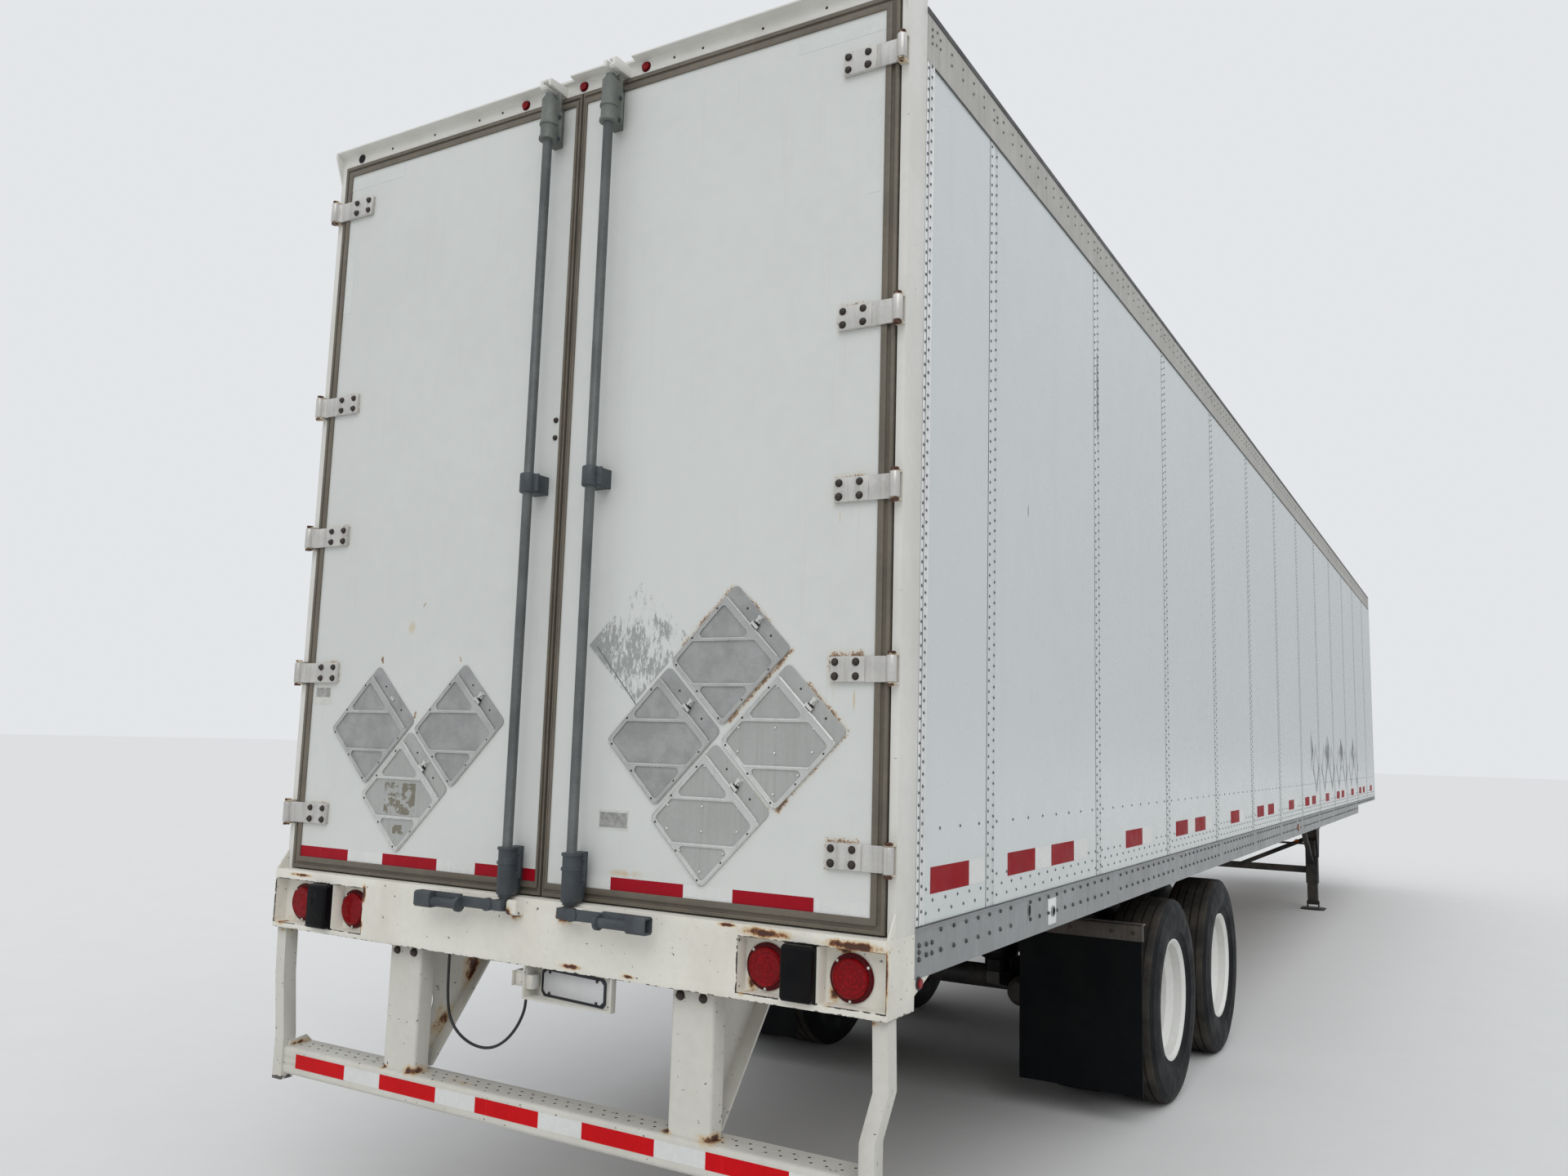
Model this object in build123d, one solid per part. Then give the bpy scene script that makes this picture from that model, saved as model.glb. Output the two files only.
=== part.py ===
from build123d import *
import os
from collections import namedtuple
from math import atan2, cos, degrees, hypot, pi, radians, sin, tan

# A dry freight semi trailer that stands on its landing legs and its tyres.
# Millimetres. X runs across, and +X is the kerb side. Y runs from the rear doors to the nose. Z is up from the ground.
# The pieces are made with Y = 0 on the rear face of the door posts, and written out about the middle of the length.

# Body shell
HALF_WIDTH = 1295.5
BODY_LENGTH = 16154
BODY_TOP = 4115
FLOOR_TOP = 1262
FLOOR_THICK = 30
FLOOR_BOTTOM = FLOOR_TOP - FLOOR_THICK
PANEL_BOTTOM = 1245
PANEL_INSET = 4
WALL_THICK = 8
WALL_OUT = HALF_WIDTH - PANEL_INSET
WALL_IN = WALL_OUT - WALL_THICK
WALL_POST_WIDTH = 60
WALL_POST_PROUD = 10
SEAM_FIRST = 700
SEAM_PITCH = 1288
SEAM_WIDTH = 3
SEAM_DEPTH = 1
NOSE_CORNER = 150
NOSE_RADIUS = 60
NOSE_THICK = 20
NOSE_SEAM = 1

# Rails along the sides
RAIL_BOTTOM = 1110
RAIL_THICK = 6
RAIL_IN = HALF_WIDTH - RAIL_THICK
RAIL_LIP = 12
RAIL_SHORT_BOTTOM = 1205
COUPLER_AREA = 2619
RAIL_FULL_END = BODY_LENGTH - COUPLER_AREA
TOP_RAIL_HEIGHT = 155
TOP_RAIL_BOTTOM = BODY_TOP - TOP_RAIL_HEIGHT
TOP_RAIL_LAP = 30
TOP_RAIL_LIP = 40

# Roof
ROOF_TOP = BODY_TOP - 10
ROOF_THICK = 4
BOW_DEPTH = 26
BOW_WIDTH = 50
BOW_FIRST = 500
BOW_PITCH = 610

# Cross members under the floor
BEAM_HEIGHT = 102
BEAM_WIDTH = 57
BEAM_WEB = 6
BEAM_FLANGE = 7
BEAM_FIRST = 300
BEAM_PITCH = 305
BEAM_BOTTOM = FLOOR_BOTTOM - BEAM_HEIGHT

# Rear frame
POST_DEPTH = 130
POST_WEB = 27
POST_STOP = 50
STOP_FACE = 40
HEADER_RISE = 35
HEADER_TOP = BODY_TOP + HEADER_RISE
HEADER_HEIGHT = 58
HEADER_BOTTOM = HEADER_TOP - HEADER_HEIGHT
HEADER_STOP = 25
GUTTER_REACH = 38
GUTTER_THICK = 12
GUTTER_NOTCH = 116
SILL_REACH = 48
SILL_TOP = 1240
SILL_BOTTOM = 1025
SILL_PLATE = 8
SILL_LIP = 40
SILL_GUSSET_Y = 232
SILL_GUSSET_Z = 1108
SILL_GUSSET_FOOT = 1066
EAR_TOP = 1310
EAR_THICK = 6
CORNER_GUSSET = 130

# Tail lamps and dock bumpers, in a recess at each end of the sill
RECESS_IN = 806
RECESS_OUT = HALF_WIDTH - EAR_THICK
RECESS_BOTTOM = 1045
RECESS_TOP = 1205
RECESS_DEPTH = 54
RECESS_WALL = 5
TAIL_LAMP_Z = 1119
TAIL_LAMP_XS = (880, 1160)
TAIL_FLANGE_R = 69
TAIL_LENS_R = 54
DOCK_X = 1020
DOCK_WIDTH = 102
DOCK_GAP = 1
DOCK_REACH = 82
DOCK_ROUND = 14

# Doors
DOOR_CLEAR = 6
DOOR_BOTTOM = SILL_TOP + DOOR_CLEAR
DOOR_TOP = HEADER_BOTTOM - DOOR_CLEAR
DOOR_OUT = HALF_WIDTH - POST_WEB - DOOR_CLEAR
DOOR_GAP = 10
DOOR_BACK = -6
DOOR_FRONT = STOP_FACE - DOOR_CLEAR
SEAL_WIDTH = 44
SEAL_CENTRE = 20
SEAL_PROUD = 10
SEAL_RIDGE = 12
SEAL_STEP = 4
DOOR_PANEL_THICK = 25
DOOR_PANEL_BACK = -4

# Door hinges: a pin outboard and rearward of each post, so the door folds back along the side
HINGE_X = 1283
HINGE_Y = -30
HINGE_SHARES = (0.0736, 0.2623, 0.4507, 0.6384, 0.9303)
HINGE_ZS = tuple(DOOR_BOTTOM + share * (DOOR_TOP - DOOR_BOTTOM) for share in HINGE_SHARES)
HINGE_PIN_R = 8
HINGE_HEAD_R = 12
HINGE_HEAD = 5
HINGE_BARREL_R = 15
HINGE_HEIGHT = 76
HINGE_RUN = 0.4
STRAP_THICK = 8
STRAP_REACH = 205
BUTT_PLATE = 6
EAR_PLATE = 6
EAR_GAP = 1

# Lock gear, one rod a door: guides, keepers and a folding handle
ROD_R = 17
ROD_Y = -74
LOCK_XS = {"left": -95, "right": 182}
ROD_BOTTOM = 1196
ROD_LAP = 18
ROD_TOP = HEADER_BOTTOM - ROD_LAP
GUIDE_R = 28
GUIDE_RIDGE_R = 32
GUIDE_RIDGE = 9
GUIDE_TALL = 153
GUIDE_LOW_START = DOOR_BOTTOM + 4
GUIDE_HIGH_START = DOOR_TOP - 189
GUIDE_RIDGE_SHARE = 0.36
GUIDE_FLANGE_REACH = 38
GUIDE_FOOT = 10
GUIDE_FLANGE_BACK = -50
GUIDE_FLANGE = 6
GUIDE_NECK = 32
GUIDE_MID_SHARE = 0.49
COLLAR_R = 22
COLLAR = 10
KEEPER_GAP = 10
KEEPER_CHEEK = 12
KEEPER_WIDTH = 40
KEEPER_HALF = 24
KEEPER_SLOT = 7
KEEPER_TIP = ROD_Y - ROD_R - 2
KEEPER_LOW_Z = 1218
KEEPER_HIGH_Z = HEADER_BOTTOM - 2
KEEPER_HIGH_HALF = 20
KEEPER_HIGH_IN = 6
KEEPER_HIGH_WIDTH = 26
HANDLE_Z = 1216
HANDLE_REACH = 350
HANDLE_THICK = 13
HANDLE_TALL = 34
ARM_CLEAR = 6
ARM_FRONT = KEEPER_TIP - ARM_CLEAR
ARM_BACK = ARM_FRONT - HANDLE_THICK
ARM_LENGTH = 165
BOSS_R = 21
GRIP_R = 16
GRIP_RING_R = 24
GRIP_RING = 12
GRIP_DROP = 10
GRIP_Y = ARM_BACK - 10
GRIP_BACK = GRIP_Y - GRIP_R - 4
GRIP_END = 72
GRIP_WALL = 7

# Placard holders on the doors
PLACARD_SIDE = 289
PLACARD_STRIP = 49
PLACARD_BASE = 3
PLACARD_STRIP_DEPTH = 5
PLACARD_RIM = 12
PLACARD_DEPTH = 9
PLACARD_ROUND = 16
PLACARD_RIB = 12
PLACARD_RIBS = (49, -93)
Placard = namedtuple("Placard", "door x z")
PLACARDS = (
    Placard("left", -866, 1796),
    Placard("left", -424, 1801),
    Placard("left", -679, 1556),
    Placard("right", 717, 2039),
    Placard("right", 473, 1784),
    Placard("right", 914, 1791),
    Placard("right", 660, 1545),
)

# Wheels
TYRE_R = 508
BEAD_R = 288
BEAD_WIDTH = 196
RIM_FLANGE_R = 303
RIM_HALF_WIDTH = 113
RIM_WALL = 9
RIM_WELL_R = 258
DISC_THICK = 12
OUTER_TYRE_X = 1153
DUAL_SPACING = 343
INNER_TYRE_X = OUTER_TYRE_X - DUAL_SPACING
DISC_X = (OUTER_TYRE_X + INNER_TYRE_X) / 2
HAND_HOLES = 5
HAND_HOLE_R = 34
HAND_HOLE_PITCH_R = 190
HUB_R = 112
TYRE_SIDES = 30
TYRE_OUTLINE = ((94, TYRE_R), (122, TYRE_R - 28), (137, TYRE_R - 72), (141, TYRE_R - 116),
                (112, BEAD_R + 34), (98, BEAD_R))
HUB_OUT = 1112
HUB_CAP_R = 76
HUB_CAP_OUT = 1150
DRUM_R = 212
DRUM_WALL = 14
DRUM_IN = 722
AXLE_R = 63.5
SPINDLE_R = 38
SPINDLE_RUN = 1
SPINDLE_OUT = 1085
SHOULDER_X = 705
AXLES = {"rear": 3480, "front": 4725}

# Sliding bogie below the body
BODY_RAIL_HEIGHT = 118
BODY_RAIL_WIDTH = 90
BODY_RAIL_WALL = 8
BODY_RAIL_START = 620
BODY_RAIL_END = 6100
BODY_RAIL_BOTTOM = BEAM_BOTTOM - BODY_RAIL_HEIGHT
SLIDER_X = 430
SLIDER_WIDTH = 100
SLIDER_HEIGHT = 140
SLIDER_WALL = 8
SLIDER_TOP = BODY_RAIL_BOTTOM
SLIDER_BOTTOM = SLIDER_TOP - SLIDER_HEIGHT
SLIDER_START = 2860
SLIDER_END = 5420
SLIDER_CROSS = (3020, 4102, 5250)
HANGER_AHEAD = 500
HANGER_LENGTH = 190
HANGER_PIVOT_Z = 590
HANGER_CHEEK = 10
PIVOT_R = 16
PIVOT_RUN = 0.3
ARM_WIDTH = 70
ARM_HEIGHT = 110
ARM_EYE_R = 48
SPRING_BEHIND = 330
SPRING_R = 108
SPRING_SEAT_Z = 606
SHOCK_X = 345
SHOCK_R = 32
CHAMBER_X = 582
CHAMBER_R = 76
CHAMBER_LENGTH = 215
CHAMBER_BEHIND = 215
CHAMBER_Z = 522
TANK_R = 125
TANK_LENGTH = 760
TANK_Y = 5780
TANK_Z = 858

# Rear underride guard
GUARD_X = 621
GUARD_POST_WIDTH = 156
GUARD_POST_DEPTH = 66
GUARD_POST_ROUND = 14
GUARD_Y = 0
GUARD_BAR_TOP = 592
GUARD_BAR_HEIGHT = 100
GUARD_BAR_DEPTH = 118
GUARD_BAR_BACK = GUARD_Y - 18
GUARD_BAR_HALF = 1206
GUARD_BAR_ROUND = 16
GUARD_GROOVE = 2
BRACE_WEB = 8
BRACE_TOE = 40
BRACE_FOOT_Y = 530
BRACE_PLATE = 6
BRACE_HALF = 50
BRACE_HOLE_R = 56
BRACE_HOLE_AHEAD = 24
BRACE_HOLE_Z = 806
STRUT_WIDTH = 48
STRUT_DEPTH = 54
STRUT_Y = -26
STRUT_END = 20
STRUT_LOW_X = GUARD_BAR_HALF + STRUT_WIDTH / 2
STRUT_BENDS = {
    "right": ((SILL_BOTTOM, 1264), (830, 1269), (GUARD_BAR_TOP + 100, STRUT_LOW_X)),
    "left": ((SILL_BOTTOM, 1264), (850, 1257), (GUARD_BAR_TOP + 40, STRUT_LOW_X)),
}
BAR_TAB = 26

# Plate holder under the sill, with a lamp on its left wall and a terminal box outside it
PLATE_LEFT = -14
PLATE_RIGHT = 341
PLATE_HEIGHT = 105
PLATE_BACK = -SILL_REACH
PLATE_DEEP = 20
PLATE_SHALLOW = -24
PLATE_THICK = 6
PLATE_LAMP = 22
BOX_WIDTH = 46
BOX_DEPTH = 40
BOX_HEIGHT = 50
BOX_DROP = 20

# Landing legs
LEG_X = 860
LEG_SETBACK = 3554
LEG_Y = BODY_LENGTH - LEG_SETBACK
LEG_OUTER = 128
LEG_INNER = 108
LEG_JOINT_Z = 300
LEG_TOP = 1000
LEG_PLATE_LOW = 930
LEG_PLATE_HALF = 210
LEG_PLATE_THICK = 10
FOOT_WIDTH = 260
FOOT_LENGTH = 300
FOOT_THICK = 10
FOOT_PIN_Z = 55
CROSS_Z = 452
CROSS_HEIGHT = 76
CROSS_DEPTH = 45
V_BRACE_LOW_X = 70
V_BRACE_TOP_Z = 830
V_BRACE_SIZE = 50
LONG_BRACE_AHEAD = 950
LONG_BRACE_Z = 520
GEARBOX_SIZE = 190
GEARBOX_LOW = 610
GEARBOX_SLOPE = 30
GEARBOX_DEPTH = 70
GEARBOX_HALF = 50
GEAR_LAMP_X = 700
GEAR_LAMP_Z = 776
CRANK_R = 12
CRANK_Z = 760
CRANK_THROW = 300
CRANK_OUT = 150

# Upper coupler and kingpin
COUPLER_BOTTOM = 1195
COUPLER_PLATE = 10
COUPLER_LENGTH = 1824
COUPLER_START = BODY_LENGTH - COUPLER_LENGTH
COUPLER_HALF = 1180
COUPLER_RIB = 60
COUPLER_RIB_PITCH = 260
COUPLER_RAMP = 220
KINGPIN_SETBACK = 914
KINGPIN_Y = BODY_LENGTH - KINGPIN_SETBACK
KINGPIN_NECK_R = 25.4
KINGPIN_SHOULDER_R = 36.5
KINGPIN_FLANGE_R = 35.6
KINGPIN_SHOULDER = 16
KINGPIN_NECK = 37
KINGPIN_LOWER = 31

# Nose: air couplers and electric socket in a shallow box
NOSE_BOX_WIDTH = 520
NOSE_BOX_HEIGHT = 200
NOSE_BOX_Z = 1420
NOSE_BOX_REACH = 28
COUPLER_X = 170
GLAD_R = 32
GLAD_REACH = 62
SOCKET_R = 34
SOCKET_REACH = 56

# Small marker lamps
MARKER_R = 14
MARKER_REACH = 9
MARKER_XS = (-280, 0, 280)
SIDE_MARKER_Y = 157
SIDE_MARKER_Z = 1098
MID_MARKER_Y = 8100

# Mud flaps
FLAP_Y = 2885
FLAP_THICK = 10
FLAP_IN = 645
FLAP_OUT = 1255
FLAP_BOTTOM = 150
FLAP_TOP = 915
FLAP_BAR = 45
FLAP_BAR_TOP = 950

# Wire that hangs from a clip on the sill to the terminal box
WIRE_R = 5
CLIP_X = -452
CLIP_WIDTH = 20
CLIP_DEPTH = 16
CLIP_DROP = 15
WIRE_END_X = PLATE_LEFT - PLATE_THICK - 18
WIRE_END_Y = -5
WIRE_POINTS = (
    (CLIP_X, SILL_LIP + CLIP_DEPTH / 2, SILL_BOTTOM - CLIP_DROP), (CLIP_X, SILL_LIP + CLIP_DEPTH / 2, 930),
    (-446, 46, 852), (-431, 45, 790), (-390, 46, 744), (-330, 44, 718), (-262, 38, 712), (-200, 31, 725), (-145, 24, 756),
    (-99, 17, 799), (-63, 7, 847), (WIRE_END_X, WIRE_END_Y, 893),
    (WIRE_END_X, WIRE_END_Y, SILL_BOTTOM - BOX_DROP - BOX_HEIGHT),
)

# The door handles stand out furthest at the rear, and the air couplers at the nose
REAR_REACH = GRIP_RING_R - GRIP_Y
FRONT_REACH = BODY_LENGTH + GLAD_REACH
Y_SHIFT = -(FRONT_REACH - REAR_REACH) / 2


def block(x0, x1, y0, y1, z0, z1):
    """A box between two corners."""
    return Pos((x0 + x1) / 2, (y0 + y1) / 2, (z0 + z1) / 2) * Box(abs(x1 - x0), abs(y1 - y0), abs(z1 - z0))


def slab_x(points, x0, x1):
    """A (y, z) outline carried from x0 to x1."""
    face = Plane.YZ * make_face(Polyline(*points, close=True))
    return Pos(x0, 0, 0) * extrude(face, x1 - x0)


def slab_y(points, y0, y1):
    """An (x, z) outline carried from y0 to y1."""
    plane = Plane(origin=(0, y1, 0), x_dir=(1, 0, 0), z_dir=(0, -1, 0))
    return extrude(plane * make_face(Polyline(*points, close=True)), y1 - y0)


def slab_z(points, z0, z1):
    """An (x, y) outline carried from z0 to z1."""
    return Pos(0, 0, z0) * extrude(make_face(Polyline(*points, close=True)), z1 - z0)


def rod_x(x0, x1, y, z, r):
    """A round bar along X."""
    return Pos((x0 + x1) / 2, y, z) * Rot(0, 90, 0) * Cylinder(r, abs(x1 - x0))


def rod_y(x, y0, y1, z, r):
    """A round bar along Y."""
    return Pos(x, (y0 + y1) / 2, z) * Rot(90, 0, 0) * Cylinder(r, abs(y1 - y0))


def rod_z(x, y, z0, z1, r):
    """A round bar along Z."""
    return Pos(x, y, (z0 + z1) / 2) * Cylinder(r, abs(z1 - z0))


def bar_between(a, b, width, depth):
    """A square bar from a to b in a plane of constant Y, width across it and depth along Y."""
    dx, dz = b[0] - a[0], b[2] - a[2]
    middle = Pos((a[0] + b[0]) / 2, (a[1] + b[1]) / 2, (a[2] + b[2]) / 2)
    return middle * Rot(0, -degrees(atan2(dz, dx)), 0) * Box(hypot(dx, dz), depth, width)


def lathe_x(points, x, y, z):
    """A (x, radius) outline turned about a line along X."""
    face = Plane.XZ * make_face(Polyline(*points, close=True))
    return Pos(x, y, z) * revolve(face, Axis.X)


def other_side(shape):
    """The same shape on the other side of the centre line."""
    return mirror(shape, about=Plane.YZ)


def both_sides(shape):
    """The shape and its mirror image, as two solids."""
    return Compound(children=[shape, other_side(shape)])


def rear_frame():
    """Two posts, a header with a notched gutter lip, its end gussets and the upper keepers."""
    x_out = HALF_WIDTH
    post = block(x_out - POST_WEB, x_out, 0, STOP_FACE, SILL_TOP, HEADER_TOP)
    post += block(x_out - POST_STOP, x_out, STOP_FACE, POST_DEPTH, SILL_TOP, HEADER_TOP)
    post += slab_x([(0, HEADER_TOP), (-GUTTER_REACH, HEADER_TOP), (-GUTTER_REACH, HEADER_TOP - 2 * GUTTER_THICK),
                    (0, HEADER_TOP - CORNER_GUSSET)], x_out - EAR_THICK, x_out)
    frame = post + other_side(post)
    frame += block(-x_out, x_out, 0, STOP_FACE, HEADER_BOTTOM, HEADER_TOP)
    frame += block(-x_out, x_out, STOP_FACE, POST_DEPTH, HEADER_BOTTOM - HEADER_STOP, HEADER_TOP)
    lip_z = HEADER_TOP - GUTTER_THICK / 2
    lip = slab_x([(0, HEADER_TOP), (-GUTTER_REACH, HEADER_TOP), (-GUTTER_REACH, lip_z), (0, lip_z - GUTTER_THICK / 2)],
                 -x_out, x_out)
    for x in LOCK_XS.values():
        half = GUTTER_NOTCH / 2
        lip -= block(x - half, x + half, -GUTTER_REACH - 1, -GUTTER_REACH / 3, lip_z - GUTTER_THICK, HEADER_TOP + 1)
    frame += lip
    for x in LOCK_XS.values():
        top = keeper(0, KEEPER_HIGH_Z + KEEPER_HIGH_HALF, KEEPER_HIGH_HALF, KEEPER_HIGH_IN, KEEPER_HIGH_WIDTH, True)
        frame += Pos(x, 0, 0) * (top if x > 0 else other_side(top))
    return frame


def keeper(face_y, z, tall, inner, width, is_open):
    """A casting about one end of a lock rod: a plain cheek on its left, and two fingers with a slot on its right."""
    low, high = z - tall, z + tall
    cheek = slab_x([(face_y, low), (KEEPER_TIP, low + tall / 2), (KEEPER_TIP, high - tall / 3), (face_y, high)],
                   -inner - KEEPER_CHEEK, -inner)
    right = block(inner, inner + width, KEEPER_TIP, face_y, low, high)
    right = chamfer(right.edges().filter_by(Axis.X).group_by(Axis.Y)[0], KEEPER_SLOT)
    slot_back = KEEPER_TIP - 1 if is_open else KEEPER_TIP + KEEPER_CHEEK
    right -= block(inner - 1, inner + width - KEEPER_CHEEK, slot_back, face_y - KEEPER_CHEEK, z - KEEPER_SLOT,
                   z + KEEPER_SLOT)
    return cheek + right


def rear_sill():
    """A plate sill with a deep lamp recess at each end, end plates, gussets, a wire clip and the lower keepers."""
    x_out = HALF_WIDTH
    back = -SILL_REACH
    front = back + SILL_PLATE
    section = [(back, SILL_TOP), (POST_DEPTH, SILL_TOP), (POST_DEPTH, FLOOR_BOTTOM), (front, FLOOR_BOTTOM),
               (front, SILL_BOTTOM + SILL_PLATE), (SILL_LIP, SILL_BOTTOM + SILL_PLATE), (SILL_LIP, SILL_BOTTOM),
               (back, SILL_BOTTOM)]
    sill = slab_x(section, -x_out, x_out)
    stop_in = x_out - POST_STOP
    sill += block(-stop_in, stop_in, STOP_FACE, POST_DEPTH, FLOOR_BOTTOM, FLOOR_TOP)
    end = slab_x([(back, SILL_BOTTOM), (POST_DEPTH, SILL_BOTTOM), (POST_DEPTH, SILL_GUSSET_FOOT),
                  (SILL_GUSSET_Y, SILL_GUSSET_Z), (SILL_GUSSET_Y, RAIL_BOTTOM), (POST_DEPTH, RAIL_BOTTOM),
                  (POST_DEPTH, SILL_TOP), (0, SILL_TOP), (back, SILL_TOP)], x_out - EAR_THICK, x_out)
    end += slab_x([(0, SILL_TOP), (0, EAR_TOP), (back, SILL_TOP)], x_out - EAR_THICK, x_out)
    pan_back = back + RECESS_DEPTH
    wall = RECESS_WALL
    window = block(RECESS_IN, RECESS_OUT, back - 1, front + 1, RECESS_BOTTOM, RECESS_TOP)
    pan = block(RECESS_IN - wall, x_out, back, pan_back + wall, RECESS_BOTTOM - wall, RECESS_TOP + wall)
    pan -= block(RECESS_IN, RECESS_OUT, back - 1, pan_back, RECESS_BOTTOM, RECESS_TOP)
    half = DOCK_WIDTH / 2 + DOCK_GAP
    for side in (-1, 1):
        a = DOCK_X + side * half
        b = DOCK_X + side * (half + RECESS_WALL)
        pan += block(min(a, b), max(a, b), back, pan_back, RECESS_BOTTOM, RECESS_TOP)
    sill += end + other_side(end)
    sill = sill - window - other_side(window) + pan + other_side(pan)
    sill += block(CLIP_X - CLIP_WIDTH / 2, CLIP_X + CLIP_WIDTH / 2, SILL_LIP, SILL_LIP + CLIP_DEPTH,
                  SILL_BOTTOM - CLIP_DROP, SILL_BOTTOM + SILL_PLATE)
    for x in LOCK_XS.values():
        low = keeper(back, KEEPER_LOW_Z - KEEPER_SLOT, KEEPER_HALF, ROD_R + KEEPER_GAP, KEEPER_WIDTH, False)
        sill += Pos(x, 0, 0) * low
    return sill


def tail_lamps():
    """Two round lamps in each recess: a flange on the recess's back and a domed lens."""
    seat = -SILL_REACH + RECESS_DEPTH
    lamps = []
    for x in TAIL_LAMP_XS:
        lamp = rod_y(x, seat - 8, seat, TAIL_LAMP_Z, TAIL_FLANGE_R)
        lens = rod_y(x, seat - 24, seat - 8, TAIL_LAMP_Z, TAIL_LENS_R)
        lens = chamfer(lens.faces().sort_by(Axis.Y)[0].edges(), 7)
        lamps += [lamp + lens, other_side(lamp + lens)]
    return Compound(children=lamps)


def dock_bumpers():
    """A rubber block with rounded edges between the lamps of each recess, out past the sill's face."""
    seat = -SILL_REACH + RECESS_DEPTH
    half = DOCK_WIDTH / 2
    bumper = block(DOCK_X - half, DOCK_X + half, -DOCK_REACH, seat, RECESS_BOTTOM + DOCK_GAP, RECESS_TOP - DOCK_GAP)
    bumper = fillet(bumper.edges().filter_by(Axis.X).group_by(Axis.Y)[0], DOCK_ROUND)
    bumper = chamfer(bumper.edges().filter_by(Axis.Z).group_by(Axis.Y)[0], DOCK_ROUND / 2)
    return both_sides(bumper)


def seam_places():
    """Where the side panels meet, from the rear."""
    count = int((BODY_LENGTH - NOSE_CORNER - SEAM_FIRST) / SEAM_PITCH) + 1
    return [SEAM_FIRST + i * SEAM_PITCH for i in range(count)]


def side_wall():
    """The right wall: panels with a groove at each seam and a post inside each seam."""
    end = BODY_LENGTH - NOSE_CORNER
    wall = block(WALL_IN, WALL_OUT, POST_DEPTH, end, PANEL_BOTTOM, TOP_RAIL_BOTTOM)
    half = WALL_POST_WIDTH / 2
    for y in seam_places():
        wall += block(WALL_IN - WALL_POST_PROUD, WALL_IN, y - half, y + half, FLOOR_TOP, TOP_RAIL_BOTTOM)
        wall -= block(WALL_OUT - SEAM_DEPTH, WALL_OUT + 1, y - SEAM_WIDTH / 2, y + SEAM_WIDTH / 2,
                      PANEL_BOTTOM - 1, TOP_RAIL_BOTTOM + 1)
    return wall


def top_rails():
    """A Z section along the top of each wall, with a lip inward over the roof."""
    low = TOP_RAIL_BOTTOM - TOP_RAIL_LAP
    web = HALF_WIDTH - 14
    section = [(HALF_WIDTH, low), (HALF_WIDTH, BODY_TOP - 12), (HALF_WIDTH - 8, BODY_TOP),
               (HALF_WIDTH - TOP_RAIL_LIP, BODY_TOP), (HALF_WIDTH - TOP_RAIL_LIP, ROOF_TOP), (web, ROOF_TOP),
               (web, TOP_RAIL_BOTTOM), (WALL_OUT, TOP_RAIL_BOTTOM), (WALL_OUT, low)]
    return both_sides(slab_y(section, POST_DEPTH, BODY_LENGTH - NOSE_CORNER - NOSE_SEAM))


def bottom_rails():
    """A deep rail along each wall's foot, shallower over the coupler, with a ledge that the floor lies on."""
    end = BODY_LENGTH - NOSE_CORNER - NOSE_SEAM
    top = PANEL_BOTTOM + RAIL_LIP
    rail = block(RAIL_IN, HALF_WIDTH, POST_DEPTH, RAIL_FULL_END, RAIL_BOTTOM, PANEL_BOTTOM)
    rail += block(RAIL_IN, HALF_WIDTH, RAIL_FULL_END, end, RAIL_SHORT_BOTTOM, PANEL_BOTTOM)
    rail += block(WALL_OUT, HALF_WIDTH, POST_DEPTH, end, PANEL_BOTTOM, top)
    return both_sides(rail)


def roof():
    """A sheet over bows."""
    half = HALF_WIDTH - 14
    front = BODY_LENGTH - NOSE_THICK
    sheet = block(-half, half, POST_DEPTH, BODY_LENGTH - NOSE_CORNER, ROOF_TOP - ROOF_THICK, ROOF_TOP)
    inner = half - NOSE_RADIUS
    sheet += block(-inner, inner, BODY_LENGTH - NOSE_CORNER, front, ROOF_TOP - ROOF_THICK, ROOF_TOP)
    count = int((BODY_LENGTH - NOSE_CORNER - BOW_WIDTH - BOW_FIRST) / BOW_PITCH) + 1
    low = ROOF_TOP - ROOF_THICK - BOW_DEPTH
    for i in range(count):
        y = BOW_FIRST + i * BOW_PITCH
        sheet += block(-half, half, y, y + BOW_WIDTH, low, ROOF_TOP - ROOF_THICK)
    return sheet


def nose_outline(inset):
    """The nose in plan, from the left side round to the right, inset from its outer skin."""
    half = HALF_WIDTH - inset
    front = BODY_LENGTH - inset
    back = BODY_LENGTH - NOSE_CORNER
    radius = NOSE_RADIUS - inset
    return [Line((-half, back), (-half, front - radius)),
            RadiusArc((-half, front - radius), (-half + radius, front), radius),
            Line((-half + radius, front), (half - radius, front)),
            RadiusArc((half - radius, front), (half, front - radius), radius),
            Line((half, front - radius), (half, back))]


def front_wall():
    """The nose wall with rounded corner posts and a roof cap."""
    back = BODY_LENGTH - NOSE_CORNER
    outer = nose_outline(0)
    whole = make_face(outer + [Line((HALF_WIDTH, back), (-HALF_WIDTH, back))])
    inner = nose_outline(NOSE_THICK)
    half_in = HALF_WIDTH - NOSE_THICK
    hole = make_face(inner + [Line((half_in, back), (-half_in, back))])
    wall = Pos(0, 0, RAIL_SHORT_BOTTOM) * extrude(whole - hole, BODY_TOP - RAIL_SHORT_BOTTOM)
    cap = Pos(0, 0, ROOF_TOP) * extrude(whole, BODY_TOP - ROOF_TOP)
    cap -= block(-HALF_WIDTH, HALF_WIDTH, back - 1, BODY_LENGTH - 60, ROOF_TOP - 1, BODY_TOP + 1)
    return wall + cap


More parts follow.
